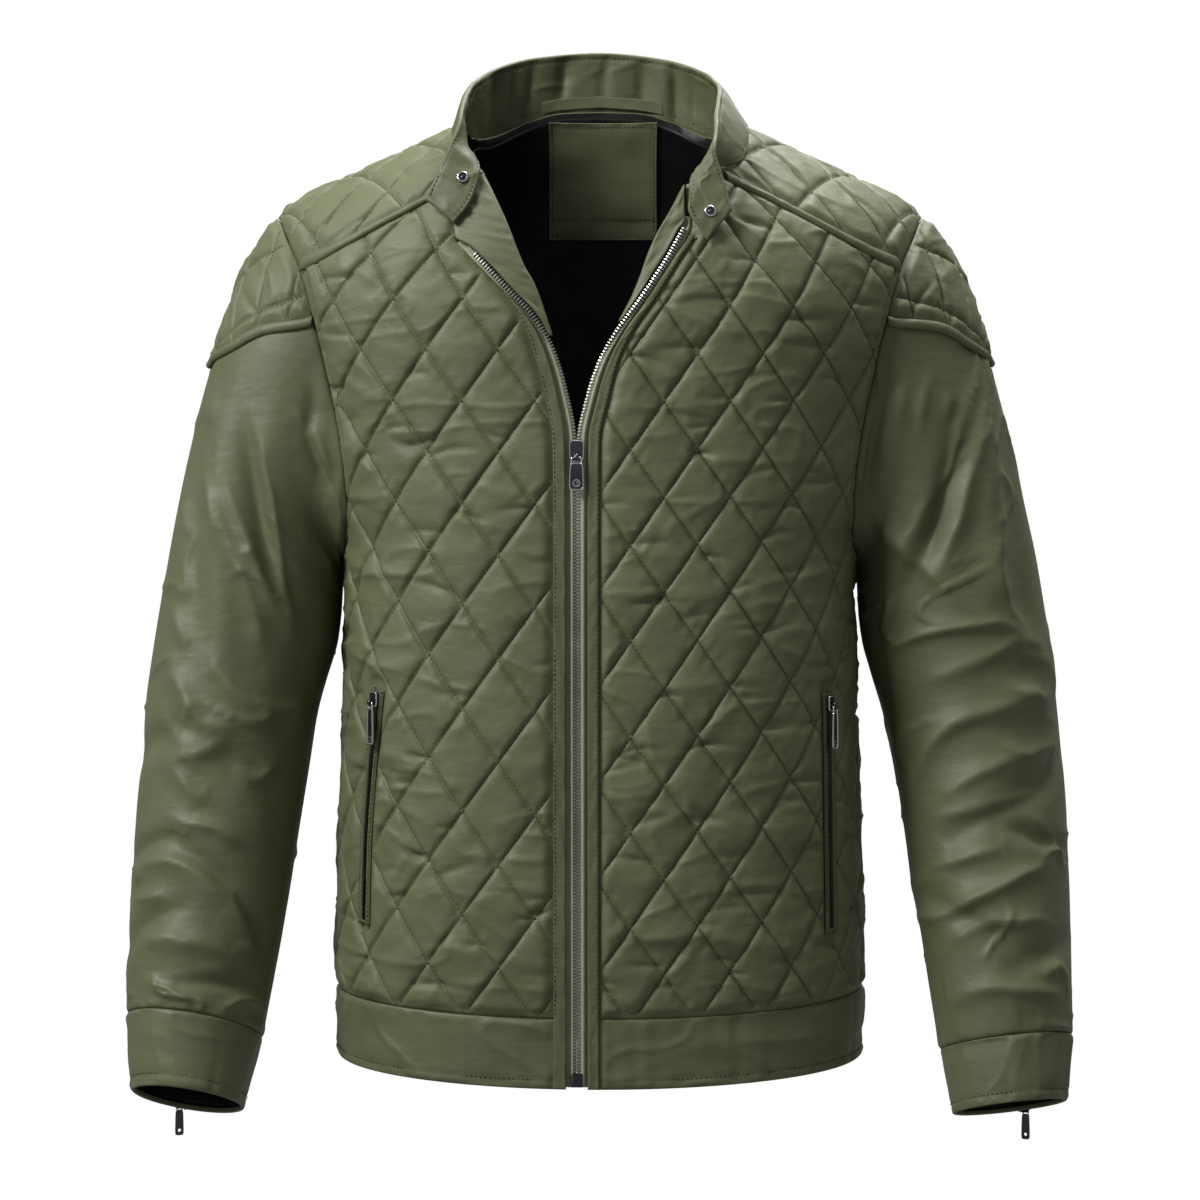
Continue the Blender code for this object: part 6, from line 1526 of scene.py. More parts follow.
# ---------------------------------------------------------------- sleeves
# x, z of points on each crease as seen from the front (or through the sleeve, for the back): half width,
# height, lean
SLEEVE_CREASES = {
    ("right", "front"): (
        (((-279, -244), (-275, -268), (-268, -298)), 9, 4.5, -0.5),
        (((-246, -206), (-239, -233), (-233, -264), (-224, -332), (-219, -364)), 10, 6.5, 0.5),
        (((-265, -250), (-256, -271), (-246, -302), (-233, -339), (-220, -363)), 9, 5.0, 0.6),
        (((-267, -278), (-253, -319), (-241, -360), (-239, -372)), 9, 4.8, -0.5),
        (((-214, -206), (-202, -223), (-188, -254)), 8, 5.0, 0.5),
        (((-202, -192), (-205, -220), (-186, -268)), 9, -7.5, 0.3),
        (((-303, -346), (-294, -365), (-291, -373)), 7, 4.0, 0.5),
        (((-275, -379), (-267, -391), (-250, -408), (-233, -428)), 9, 6.0, 0.6),
        (((-304, -384), (-294, -401), (-277, -425), (-258, -427)), 10, 6.5, 0.6),
        (((-312, -420), (-296, -436), (-276, -441)), 8, 4.4, 0.5),
        (((-303, -452), (-284, -473), (-274, -479)), 8, 5.0, 0.6),
        (((-303, -452), (-280, -445), (-262, -438)), 8, 4.6, 0.5),
        (((-258, -455), (-243, -464), (-232, -457)), 7, 4.2, 0.5),
        (((-301, -493), (-274, -497), (-253, -510)), 8, 5.2, 0.6),
        (((-321, -525), (-304, -521), (-287, -524), (-270, -537), (-256, -551), (-246, -573)), 10, 6.5, 0.6),
        (((-326, -551), (-316, -547), (-304, -546)), 6, 3.6, 0.5),
        (((-321, -576), (-301, -574), (-277, -578), (-260, -586)), 9, 5.8, 0.6),
        (((-314, -604), (-296, -610), (-280, -622)), 7, 3.8, 0.5),
        (((-270, -628), (-251, -617), (-236, -628)), 7, 4.2, 0.5),
    ),
    ("left", "front"): (
        (((216, -186), (212, -200), (211, -214)), 5, 3.0, 0.3),
        (((232, -184), (228, -200), (226, -218)), 5, 3.2, -0.3),
        (((248, -188), (246, -200), (244, -212)), 5, 2.8, 0.3),
        (((197, -196), (190, -235), (187, -274)), 11, -8.5, 0.3),
        (((275, -189), (263, -240), (251, -285), (240, -319)), 11, 5.5, 0.5),
        (((260, -196), (253, -223), (245, -257)), 8, 4.2, -0.5),
        (((286, -268), (280, -315), (286, -339), (303, -360)), 9, 5.0, -0.5),
        (((190, -268), (217, -305), (255, -338), (275, -356)), 10, 5.8, 0.6),
        (((209, -373), (238, -360), (282, -355), (301, -364)), 9, 5.5, 0.6),
        (((235, -394), (262, -384), (296, -368), (315, -373)), 8, 5.0, 0.5),
        (((292, -401), (310, -409), (320, -404)), 7, 4.0, 0.5),
        (((224, -473), (240, -435), (265, -420), (306, -408)), 10, 6.8, 0.6),
        (((243, -478), (269, -459), (298, -449)), 9, 5.5, 0.5),
        (((279, -438), (299, -448), (320, -442), (325, -459)), 7, 4.4, 0.5),
        (((240, -491), (272, -483), (303, -473), (315, -461)), 9, 5.5, 0.6),
        (((304, -493), (320, -510), (327, -527)), 8, 4.4, 0.4),
        (((236, -528), (256, -520), (280, -512)), 8, 4.2, 0.5),
        (((228, -565), (248, -558), (267, -546), (296, -531), (311, -524)), 10, 6.8, 0.6),
        (((248, -578), (275, -563), (310, -562)), 9, 5.4, 0.6),
        (((248, -616), (279, -609), (320, -614)), 8, 5.0, 0.5),
        (((308, -599), (320, -595), (328, -614)), 6, 3.8, 0.4),
    ),
    ("right", "back"): (
        (((-252, -190), (-244, -236), (-238, -290), (-228, -330)), 10, 5.5, 0.5),
        (((-276, -236), (-262, -284), (-240, -334)), 9, 4.8, -0.5),
        (((-214, -196), (-200, -236), (-188, -272)), 10, -7.5, 0.3),
        (((-290, -318), (-268, -346), (-246, -358)), 8, 4.6, 0.5),
        (((-316, -398), (-292, -388), (-262, -384), (-236, -396)), 9, 5.8, 0.6),
        (((-310, -432), (-284, -420), (-250, -424)), 8, 5.0, 0.5),
        (((-318, -464), (-286, -470), (-262, -458), (-240, -446)), 9, 5.6, 0.6),
        (((-308, -506), (-280, -496), (-250, -498)), 8, 5.0, 0.5),
        (((-322, -540), (-296, -552), (-268, -548), (-250, -536)), 9, 5.6, 0.6),
        (((-314, -584), (-288, -592), (-262, -584)), 8, 4.8, 0.5),
        (((-300, -618), (-276, -626), (-252, -616)), 7, 4.0, 0.5),
    ),
    ("left", "back"): (
        (((250, -192), (244, -244), (236, -286), (222, -322)), 10, 5.2, 0.5),
        (((278, -240), (262, -280), (242, -318)), 9, 4.8, -0.5),
        (((214, -198), (200, -236), (188, -270)), 10, -7.5, 0.3),
        (((292, -330), (270, -352), (240, -362)), 8, 4.6, 0.5),
        (((238, -388), (264, -396), (294, -392), (316, -380)), 9, 5.6, 0.6),
        (((246, -424), (276, -430), (308, -418)), 8, 5.0, 0.5),
        (((240, -452), (262, -464), (290, -462), (318, -448)), 9, 5.8, 0.6),
        (((244, -500), (280, -506), (312, -496)), 8, 5.0, 0.5),
        (((250, -538), (272, -550), (300, -552), (324, -540)), 9, 5.6, 0.6),
        (((256, -588), (284, -592), (316, -580)), 8, 4.6, 0.5),
        (((250, -614), (276, -624), (304, -618)), 7, 4.0, 0.5),
    ),
}
SLEEVE_COLUMNS, SLEEVE_STEPS, INSIDE_STEP = 200, 180, 4


def round_and_along(turn, section):
    """Flat place on a sleeve: metres round it and metres along it."""
    return np.stack([turn * SLEEVE_GIRTH, section * SECTION_STEP], axis=-1)


def on_sleeve(side, face, points):
    """Where points seen from the front lie round and along the sleeve, on its front or its back half."""
    chart = SLEEVE_CHARTS[side]
    turn, section = np.meshgrid(np.linspace(0.01, 0.49, 90), np.linspace(0.3, 13.8, 260), indexing="ij")
    turn = turn if face == "front" else -turn
    seen = chart.surface(turn, section)[..., (0, 2)].reshape(-1, 2)
    points = np.asarray(points, float) * MM
    nearest = np.linalg.norm(seen[None] - points[:, None], axis=-1).argmin(axis=1)
    line = round_and_along(turn.ravel()[nearest], section.ravel()[nearest])
    return line[np.concatenate([[True], np.linalg.norm(np.diff(line, axis=0), axis=1) > 0.5 * MM])]


def sleeve_creases(side):
    """The listed creases of a sleeve, as folds on its flat cloth."""
    folds = []
    for face in ("front", "back"):
        for points, width, height, lean in SLEEVE_CREASES[side, face]:
            line = smooth_line(points, 9)
            folds.append((on_sleeve(side, face, line), width * MM, height * MM, lean))
    return folds


def sleeve_rise(side, turns, signed, sections, below):
    """Rise of the sleeve's cloth: broad folds, creases, gathers at both seams and fine wrinkles."""
    broad = sleeve_fold(side, turns % 1.0, sections) * smoothstep(0.3, 1.2, sections)
    flat = round_and_along(signed, sections)
    creases = fold_rise(flat, sleeve_creases(side)) * smoothstep(2 * MM, 16 * MM, below)
    crown = np.exp(-(signed / 0.045) ** 2)
    creases = creases * (1 - 0.6 * crown)
    s, t = flat[..., 0], flat[..., 1]
    under = smoothstep(0.5, 0.44, np.abs(signed))
    seed = 81 if side == "right" else 91
    above_cuff = (CUFF_ROW - sections) * SECTION_STEP
    gathers = noise(s / (8 * MM), t / (40 * MM), seed) * np.exp(-below / (14 * MM)) * 1.2 * MM
    cuff_fade = np.exp(-above_cuff / (15 * MM))
    gathers = gathers + noise(s / (9 * MM), t / (30 * MM), seed + 1) * cuff_fade * 1.6 * MM
    soft = noise(s / (34 * MM), t / (46 * MM), seed + 2) * 0.7 * MM
    fine = noise(s / (13 * MM), t / (21 * MM), seed + 3) * 0.15 * MM
    shown = smoothstep(0.05, 0.6, noise(s / (38 * MM), t / (30 * MM), seed + 6))
    crisp = crumple(s / (40 * MM), t / (24 * MM), seed + 4, 6) * shown * (1 - 0.85 * crown) * 3.0 * MM
    wrinkles = (gathers + soft + fine + crisp) * under
    cuff_hold = smoothstep(0, 0.4, CUFF_ROW - sections)
    top_hold = smoothstep(0, 7 * MM, below)
    seam = np.exp(-((np.abs(np.abs(signed) - 0.5) * SLEEVE_GIRTH) / (1.6 * MM)) ** 2) * 0.6 * MM
    roll = 0.7 * MM * (1 - smoothstep(0, 3 * MM, below)) + 0.7 * MM * (1 - smoothstep(0, 3 * MM, above_cuff))
    soft_folds = (broad + creases) * cuff_hold
    crisp_folds = wrinkles * top_hold * smoothstep(0, 5 * MM, above_cuff)
    return soft_folds + crisp_folds - seam - roll


def lowest_near(rise, reach):
    """The lowest rise within some steps of each point of a tube's grid."""
    for axis in (0, 1):
        rise = np.min([np.roll(rise, step, axis) for step in range(-reach, reach + 1)], axis=0)
    return rise


def make_sleeves():
    """Both sleeves below their heads, with their creases."""
    turns = np.arange(SLEEVE_COLUMNS) / SLEEVE_COLUMNS
    signed = (turns + 0.5) % 1.0 - 0.5
    for side, chart in SLEEVE_CHARTS.items():
        steps = head_depth(signed + 1 / 256) - head_depth(signed - 1 / 256)
        slope = steps / (2 / 256 * SLEEVE_GIRTH)
        gap = SEAM_GAP * np.sqrt(1 + slope ** 2) + UNDERARM_GAP * smoothstep(0.28, 0.42, np.abs(signed))
        top = section_at(chart, signed, head_depth(signed) + gap)
        bottom = CUFF_ROW - SEAM_GAP / 2 / SECTION_STEP
        share = np.linspace(0, 1, SLEEVE_STEPS + 1)[:, None]
        sections = top + (bottom - top) * share
        all_turns, all_signed = (np.broadcast_to(value, sections.shape) for value in (turns, signed))
        plain = chart.surface(all_signed, sections)
        below = np.linalg.norm(plain - plain[:1], axis=-1)
        rise = sleeve_rise(side, all_turns, all_signed, sections, below)
        normals = chart.normals(all_signed, sections)
        at_armhole = head_depth(signed) < 0.1 * MM
        normals[0] = np.where(at_armhole[:, None], armhole_normals(side, turns, chart), normals[0])
        outer = plain + normals * (WALL / 2 + rise)[..., None]
        inner_rise = lowest_near(rise, INSIDE_STEP) - WALL / 2
        inner = (plain + normals * inner_rise[..., None])[::INSIDE_STEP, ::INSIDE_STEP]
        rows, columns = outer.shape[:2]
        few_rows, few = inner.shape[:2]
        count = rows * columns
        faces = grid_faces(rows, columns, True)
        shown = len(faces)
        faces += [face[::-1] for face in grid_faces(few_rows, few, True, count)]
        lined = len(faces) - shown
        for row, inner_row, flip in ((0, 0, 1), (rows - 1, few_rows - 1, -1)):
            for j in range(few):
                near, far = count + inner_row * few + j, count + inner_row * few + (j + 1) % few
                for k in range(INSIDE_STEP):
                    a = row * columns + j * INSIDE_STEP + k
                    b = row * columns + (j * INSIDE_STEP + k + 1) % columns
                    faces.append((a, near, b)[::flip])
                last = row * columns + ((j + 1) * INSIDE_STEP) % columns
                faces.append((last, near, far)[::flip])
        finish = [0] * shown + [1] * lined + [0] * (len(faces) - shown - lined)
        vertices = np.concatenate([outer.reshape(-1, 3), inner.reshape(-1, 3)])
        add_piece("sleeve_" + side + "_cloth", vertices, faces, ["plain", "lining"], ["sleeve_" + side],
                  finish,
                  cut_of(plain, True))


UNDERARM_GAP = 1.1 * MM


# ---------------------------------------------------------------- cuffs and hem
def sleeve_place(side):
    """A function that places points over a sleeve's chart."""
    chart = SLEEVE_CHARTS[side]

    def place(turn, section, lift):
        signed = (turn + 0.5) % 1.0 - 0.5
        return chart.surface(signed, section) + chart.normals(signed, section) * lift[..., None]

    return place


def make_cuffs():
    """The cuffs with their stitched rims, and the linings in them."""
    turns = np.arange(200) / 200
    for side in ("right", "left"):
        place = sleeve_place(side)
        seed = 101 if side == "right" else 111
        start = CUFF_ROW + SEAM_GAP / 2 / SECTION_STEP
        sections = start + (RIM_ROW - start) * edge_steps(45 * MM, 1.6 * MM, WALL / 2)[:, None]
        signed = (turns + 0.5) % 1.0 - 0.5
        s, t = signed * 330 * MM, sections * SECTION_STEP
        near_seam = np.exp(-(sections - start) * SECTION_STEP / (12 * MM))
        near_rim = np.exp(-(RIM_ROW - sections) * SECTION_STEP / (10 * MM))
        gathers = noise(s / (7 * MM), t / (60 * MM), seed) * (1.5 * near_seam + 1.0 * near_rim) * MM
        soft = noise(s / (26 * MM), t / (14 * MM), seed + 1) * 0.7 * MM
        soft = soft + crumple(s / (30 * MM), t / (22 * MM), seed + 2) * 0.8 * MM
        stitched = np.exp(-(((RIM_ROW - sections) * SECTION_STEP - 6.5 * MM) / (1.3 * MM)) ** 2) * 0.6 * MM
        rise = (gathers + soft) * smoothstep(0.5, 0.44, np.abs(signed)) - stitched
        folded_cloth("cuff_" + side + "_cloth", place, turns, sections, WALL / 2, rise, np.zeros_like(rise),
                     True,
                     ["plain"], ["cuff_" + side])
        rim_line = np.full(201, RIM_ROW - 6.5 * MM / SECTION_STEP)
        closed_turns = np.linspace(0, 1, 201)
        level = np.full(201, WALL / 2 - 0.2 * MM)
        points = place(closed_turns, rim_line, level)
        rim_run = (points, place(closed_turns, rim_line, level + 1) - points)
        add_thread("cuff_" + side + "_stitches", [rim_run])
        sections = np.linspace(CUFF_ROW + 0.15, RIM_ROW - 0.06, 20)[:, None]
        outside = -(WALL / 2 + SEAM_GAP + 0.5 * LINING_WALL)

        def lining_place(turn, section, lift):
            return place(turn, section, lift + outside)

        wave = noise(signed * 60, sections * 3, seed + 5) * 0.5 * MM
        folded_cloth("cuff_lining_" + side + "_cloth", lining_place, turns, sections, LINING_WALL / 2,
                     np.zeros_like(wave), np.maximum(wave, 0), True, ["lining"], ["cuff_lining_" + side])


def make_hem():
    """The three pieces of the hem band."""
    half = 1.5 * MM
    pieces = {"hem_band_right": (FRONT_CHART, -1.0), "hem_band_left": (FRONT_CHART, 1.0),
              "hem_band_back": (BACK_CHART, 0)}
    rows = (HEM_BAND - SEAM_GAP / 2) * edge_steps(HEM_BAND, 1.9 * MM, half)
    for seed, (name, (chart, sign)) in enumerate(pieces.items()):
        end_row = chart.locate(np.stack([np.full(rows.shape, 0.29), rows], axis=1))[1]
        ends = chart.flat(np.full(rows.shape, QUARTER), end_row)[:, 0] - SEAM_GAP / 2
        starts = -ends
        if sign:
            z = np.interp(rows, [0, HEM_BAND], [HEM_CENTRE, HEM_CENTRE + HEM_BAND])
            starts = on_front(edge_x(FRONT_EDGE, "right" if sign < 0 else "left", z), z)[:, 0]
            ends = ends * sign
        length = abs(float(ends[0] - starts[0]))
        s = starts[:, None] + (ends - starts)[:, None] * edge_steps(length, 2.2 * MM, half)
        t = np.broadcast_to(rows[:, None], s.shape)
        near_seam = np.exp(-(HEM_BAND - t) / (14 * MM))
        near_edge = np.exp(-t / (14 * MM))
        gathers = noise(s / (8 * MM), t / (70 * MM), 121 + seed) * (1.8 * near_seam + 1.2 * near_edge) * MM
        soft = noise(s / (40 * MM), t / (15 * MM), 131 + seed) * 0.8 * MM
        soft = soft + crumple(s / (44 * MM), t / (24 * MM), 141 + seed) * 1.6 * MM
        stitched = np.exp(-((t - 6.5 * MM) / (1.4 * MM)) ** 2) * 0.6 * MM
        welted = 0
        if sign:
            welted = smoothstep(9 * MM, 13 * MM, np.abs(s - starts[:, None]))
            gathers, soft = gathers * welted, soft * welted

        def place(across, up, lift):
            return chart.place(np.stack([across, up], axis=-1), lift)

        folded_cloth(name + "_cloth", place, s, t, half, gathers + soft - stitched, np.zeros_like(s), False,
                     ["plain"], [name])
        line = np.stack([np.linspace(starts[0], ends[0], 120), np.full(120, 6.5 * MM)], axis=1)
        if sign:
            line = line[np.abs(line[:, 0] - starts[0]) > 10 * MM]
        a, b = chart.locate(line)
        normals = chart.normals(a, b)
        add_thread(name + "_stitches", [(chart.surface(a, b) + normals * (half - 0.3 * MM), normals)])


# ---------------------------------------------------------------- strips laid on the cloth
def cord_strip(node, chart, curve, width, foot, rise, seed):
    """A round piping along a seam, a little uneven."""
    run = np.concatenate([[0], np.cumsum(np.linalg.norm(np.diff(curve, axis=0), axis=1))])
    at = np.linspace(0, run[-1], max(12, int(run[-1] / (1.6 * MM))))
    curve = np.stack([np.interp(at, run, curve[:, k]) for k in range(2)], axis=1)
    swing = np.linspace(0, math.pi, 9)
    across = -np.cos(swing) * width / 2
    high = np.sin(swing) * rise
    uneven = noise(at[:, None] / (5 * MM), swing[None] * 0.8, seed) * 0.22 * MM
    out, under = (np.stack([beside(curve, -float(x)) for x in across], axis=1) for _ in (0, 1))
    top = chart.place(out, foot + high + uneven)
    low = chart.place(under, np.full(top.shape[:2], foot - 0.3 * MM))
    slab(node + "_cloth", top, low, False, ["plain"], [node])


def make_piping():
    """The pipings in the yoke seams and under the sleeve heads."""
    foot = LAID + 0.5 * MM
    for side in ("right", "left"):
        seam = table_curve(YOKE_FRONT_SEAM, 4 * MM, sign_of(side))
        front_seam = trim(on_yoke(seam[:, 0], seam[:, 1], FRONT), 12 * MM, 7 * MM)
        cord_strip("yoke_piping_" + side, YOKE_CHART, front_seam, 5.2 * MM, foot, 2.6 * MM, 151)
        chart = SLEEVE_CHARTS[side]
        turns = np.linspace(-0.186, 0.186, 96)
        curve = chart.flat(turns, section_at(chart, turns, head_depth(turns)))
        cord_strip("head_piping_" + side, chart, curve, 5.2 * MM, foot, 2.6 * MM, 161)
    seam = np.concatenate([table_curve(YOKE_BACK_SEAM, 4 * MM, -1.0)[::-1],
                           table_curve(YOKE_BACK_SEAM, 4 * MM)[1:]])
    cord_strip("yoke_piping_back", YOKE_CHART, trim(on_yoke(seam[:, 0], seam[:, 1], BACK), 7 * MM, 7 * MM),
               5.2 * MM, foot, 2.6 * MM, 171)


def chart_strip(node, chart, left, right, half, low, lift, finish, seed, wave, tilted=False, bulge=0.0):
    """Cloth between two flat curves, its lower face a height over the chart's surface; a tilted one takes its
    lift at the right curve alone. A bulge stands up near the right curve."""
    width = float(np.linalg.norm(right - left, axis=1).max())
    shares = edge_steps(width, 1.2 * MM, half)
    run = np.concatenate([[0], np.cumsum(np.linalg.norm(np.diff(left, axis=0), axis=1))])
    rows = run[-1] * edge_steps(run[-1], 2.2 * MM, half)
    first, second = (np.stack([np.interp(rows, run, curve[:, k]) for k in range(2)], axis=1)
                     for curve in (left, right))
    raised = np.interp(rows, run, np.broadcast_to(lift, (len(left),)))
    flat = first[:, None] + (second - first)[:, None] * shares[None, :, None]

    def place(share, _, height):
        return chart.place(flat, height + low + half + raised[:, None] * (share if tilted else 1))

    across, along = np.meshgrid(shares, rows)
    rise = noise(along / (4.5 * MM) + across * 2.4, across * 1.2, seed) * wave
    rise = rise + noise(along / (19 * MM), across * 2, seed + 1) * wave
    rise = rise + bulge * np.exp(-(((1 - across) * width - 4.8 * MM) / (1.9 * MM)) ** 2)
    folded_cloth(node + "_cloth", place, across, along, half, rise, np.zeros_like(rise), False, [finish],
                 [node])


def make_front_edges():
    """Zip tapes, welts with their stitches, and turned-out facings of both front edges."""
    for seed, side in enumerate(("right", "left")):
        sign = sign_of(side)
        teeth_top = TEETH_LINE[side][0][0] * MM
        under = -(WALL / 2 + SEAM_GAP + 0.4 * MM)
        z = np.linspace(teeth_top + 8 * MM, HEM_CENTRE + 1.5 * MM, 160)
        inner = on_front(edge_x(TEETH_LINE, side, z) - sign * 1.4 * MM, z)
        outer = on_front(edge_x(FRONT_EDGE, side, z) + sign * 6 * MM, z)
        chart_strip("zip_tape_" + side, FRONT_CHART, outer, inner, 0.4 * MM, under - 0.8 * MM, 1.7 * MM,
                    "tape", 181,
                    0.0, True, 2.6 * MM)
        z = np.linspace(WELT_WIDTH[side][0][0] * MM, HEM_CENTRE + 1 * MM, 180)
        edge = edge_x(FRONT_EDGE, side, z)
        width = read(WELT_WIDTH[side], 1, z / MM) * MM
        inner, outer = on_front(edge, z), on_front(edge + sign * width, z)
        chart_strip("welt_" + side, FRONT_CHART, inner, outer, 0.9 * MM, LAID + 0.2 * MM, 0.0, "plain",
                    191 + seed,
                    0.40 * MM)
        z = np.linspace(LAPEL[side][0][0] * MM, LAPEL[side][-1][0] * MM, 80)
        roll = on_front(read(LAPEL[side], 1, z / MM) * MM, z)
        outer = on_front(read(LAPEL[side], 2, z / MM) * MM, z)
        chart_strip("facing_" + side, FRONT_CHART, roll, outer, LAPEL_HALF, -LAPEL_HALF, lapel_lift(side, z),
                    "plain", 201 + seed, 0.8 * MM, True)
        line = welt_line(side, -1.0 * MM, 4 * MM)
        a, b = FRONT_CHART.locate(line)
        normals = FRONT_CHART.normals(a, b)
        add_thread("welt_" + side + "_stitches",
                   [(FRONT_CHART.surface(a, b) + normals * (LAID + 1.85 * MM), normals)])


LAPEL_HALF = 1.5 * MM
# the right facing's outer edge reaches over the front's free edge above the teeth
LAPEL["right"] = ((-44, -79.3, -80.5), (-50, -76.5, -83.5), (-64, -70, -89), (-80, -63, -100),
                  (-88, -60, -99.5),
                  (-96, -57, -88), (-108, -52, -75), (-121.6, -44.5, -62.8), (-145.5, -36, -41.0),
                  (-157, -32.4, -34.8))
TOOTH_PITCH = 2.3 * MM
# cord under the teeth, made near-black as painted shade in the gaps between the teeth: across, out
PAINTED_SHADE_CORD_EDGE = np.array([(-2.2, -0.95), (-2.2, -0.5), (1.4, -0.5), (1.4, -0.95)]) * MM


def make_teeth():
    """Metal teeth: blocks with a narrower head, one row standing between the teeth of the other, over a cord
    made near-black as painted shade.
    """
    # across (head towards the middle), along, out
    corners = np.array([(-1.9, -0.52, -0.9), (-1.9, 0.52, -0.9), (-1.9, 0.52, 0.6), (-1.9, -0.52, 0.6),
                        (0.4, -0.55, -0.9), (0.4, 0.55, -0.9), (0.4, 0.55, 1.0), (0.4, -0.55, 1.0),
                        (1.9, -0.36, -0.6), (1.9, 0.36, -0.6), (1.9, 0.36, 0.3), (1.9, -0.36, 0.3)]) * MM
    quads = np.array([(0, 1, 2, 3), (4, 5, 1, 0), (5, 6, 2, 1), (6, 7, 3, 2), (7, 4, 0, 3),
                      (8, 9, 5, 4), (9, 10, 6, 5), (10, 11, 7, 6), (11, 8, 4, 7), (11, 10, 9, 8)])
    for side in ("right", "left"):
        sign = sign_of(side)
        z = np.linspace(TEETH_LINE[side][0][0] * MM - 1 * MM, ZIP_BOTTOM + 1 * MM, 700)
        points = FRONT_CHART.surface(*torso_at(edge_x(TEETH_LINE, side, z), z))
        run = np.concatenate([[0], np.cumsum(np.linalg.norm(np.diff(points, axis=0), axis=1))])
        shift = 0.0 if side == "right" else TOOTH_PITCH / 2
        at = run[-1] - np.arange(0, run[-1] - TOOTH_PITCH, TOOTH_PITCH) - shift
        height = np.interp(at, run, z)
        angle, row = torso_at(edge_x(TEETH_LINE, side, height), height)
        out = FRONT_CHART.normals(angle, row)
        middle = FRONT_CHART.surface(angle, row) + out * lapel_lift(side, height)[:, None]
        ahead = np.stack([np.interp(at + MM, run, points[:, k]) - np.interp(at - MM, run, points[:, k])
                          for k in range(3)], axis=1)
        along = ahead / np.linalg.norm(ahead, axis=1, keepdims=True)
        head = np.cross(along, out) * sign
        head *= np.sign((head[:, 0] * -sign))[:, None]
        vertices = middle[:, None] + head[:, None] * corners[None, :, :1]
        vertices = vertices + along[:, None] * corners[None, :, 1:2]
        vertices = vertices + out[:, None] * corners[None, :, 2:]
        faces = (quads[None] + np.arange(len(middle))[:, None, None] * len(corners)).reshape(-1, 4)
        faces = [tuple(face) for face in faces.tolist()]
        finish = [0] * len(faces)
        # the cord that the teeth clamp, given the near-black thread finish as painted shade in the gaps
        # between the teeth
        painted_shade_cord = middle[:, None] + head[:, None] * PAINTED_SHADE_CORD_EDGE[None, :, :1]
        painted_shade_cord = painted_shade_cord + out[:, None] * PAINTED_SHADE_CORD_EDGE[None, :, 1:]
        painted_shade_cord_faces = grid_faces(len(middle), len(PAINTED_SHADE_CORD_EDGE), True, vertices.size // 3)
        faces += painted_shade_cord_faces
        finish += [1] * len(painted_shade_cord_faces)
        vertices = np.concatenate([vertices.reshape(-1, 3), painted_shade_cord.reshape(-1, 3)])
        made = add_piece("zip_teeth_" + side + "_metal", vertices, faces, ["teeth", "thread"],
                         ["zip_teeth_" + side],
                         finish)
        made.data.set_sharp_from_angle(angle=math.radians(30))


# ---------------------------------------------------------------- collar
def make_collar():
    """The stand collar, gathered on its inner face at the nape, with its stitches."""
    along = edge_steps(0.64, 2.3 * MM, COLLAR_WALL / 2)
    up = edge_steps(0.05, 1.4 * MM, COLLAR_WALL / 2)
    a, b = np.meshgrid(along, up)
    foot = 8 * MM * smoothstep(0.16, 0.26, a) * smoothstep(0.92, 0.86, a)

    def place(share, height, lift):
        sunk = collar_middle(share, np.zeros_like(share)) - collar_middle(share, np.full_like(share, 0.1))
        sunk = sunk / np.linalg.norm(sunk, axis=-1, keepdims=True) * (foot * (1 - height))[..., None]
        return collar_middle(share, height) + sunk - collar_normals(share, height) * lift[..., None]

    nape = smoothstep(0.33, 0.40, a) * smoothstep(0.67, 0.60, a)
    length = a * 640 * MM
    tucks = 0
    for middle, deep in COLLAR_TUCK_LINES:
        lean = (b - 0.5) * 3 * MM
        tucks = tucks + deep * np.exp(-np.abs(length - (320 * MM + middle * MM) - lean) / (2.6 * MM))
    puffs = noise(length / (17 * MM), b * 0.8, 215) * 1.4
    inner = (1.9 * tucks - 1.6 * puffs) * np.sin(math.pi * b) ** 0.6 * nape * MM
    rise = noise(length / (15 * MM), b * 3, 211) * 0.6 * MM
    rise = rise + crumple(length / (28 * MM), b * 2.2, 212) * 0.9 * MM
    inside_rise = noise(length / (12 * MM), b * 2.5, 213) * 0.6 * MM
    inside_rise = inside_rise + crumple(length / (26 * MM), b * 2, 214) * MM
    rims = np.minimum(b, 1 - b) * 50 * MM
    groove = np.exp(-((rims - 4.2 * MM) / (1.2 * MM)) ** 2) * 0.6 * MM
    bulge = np.sin(math.pi * b) * 0.8 * MM
    folded_cloth("collar_cloth", place, a, b, COLLAR_WALL / 2, rise + bulge - groove,
                 inside_rise - inner - groove, False, ["plain"], ["collar"])
    runs = []
    share = np.linspace(0.012, 0.988, 200)
    for height in (0.915, 0.085):
        for way in (1, -1):
            high = np.full(200, height)
            out = collar_normals(share, high) * way
            runs.append((collar_middle(share, high) + out * (COLLAR_WALL / 2 - 0.35 * MM), out))
    add_thread("collar_stitches", runs)


# place along the collar from the middle of the back (mm), depth of the tuck (mm)
COLLAR_TUCK_LINES = ((-66, 1.8), (-52, 1.6), (-38, 2.0), (-20, 3.2), (2, 2.4), (22, 2.2), (42, 3.0),
                     (56, 1.8),
                     (68, 1.6))


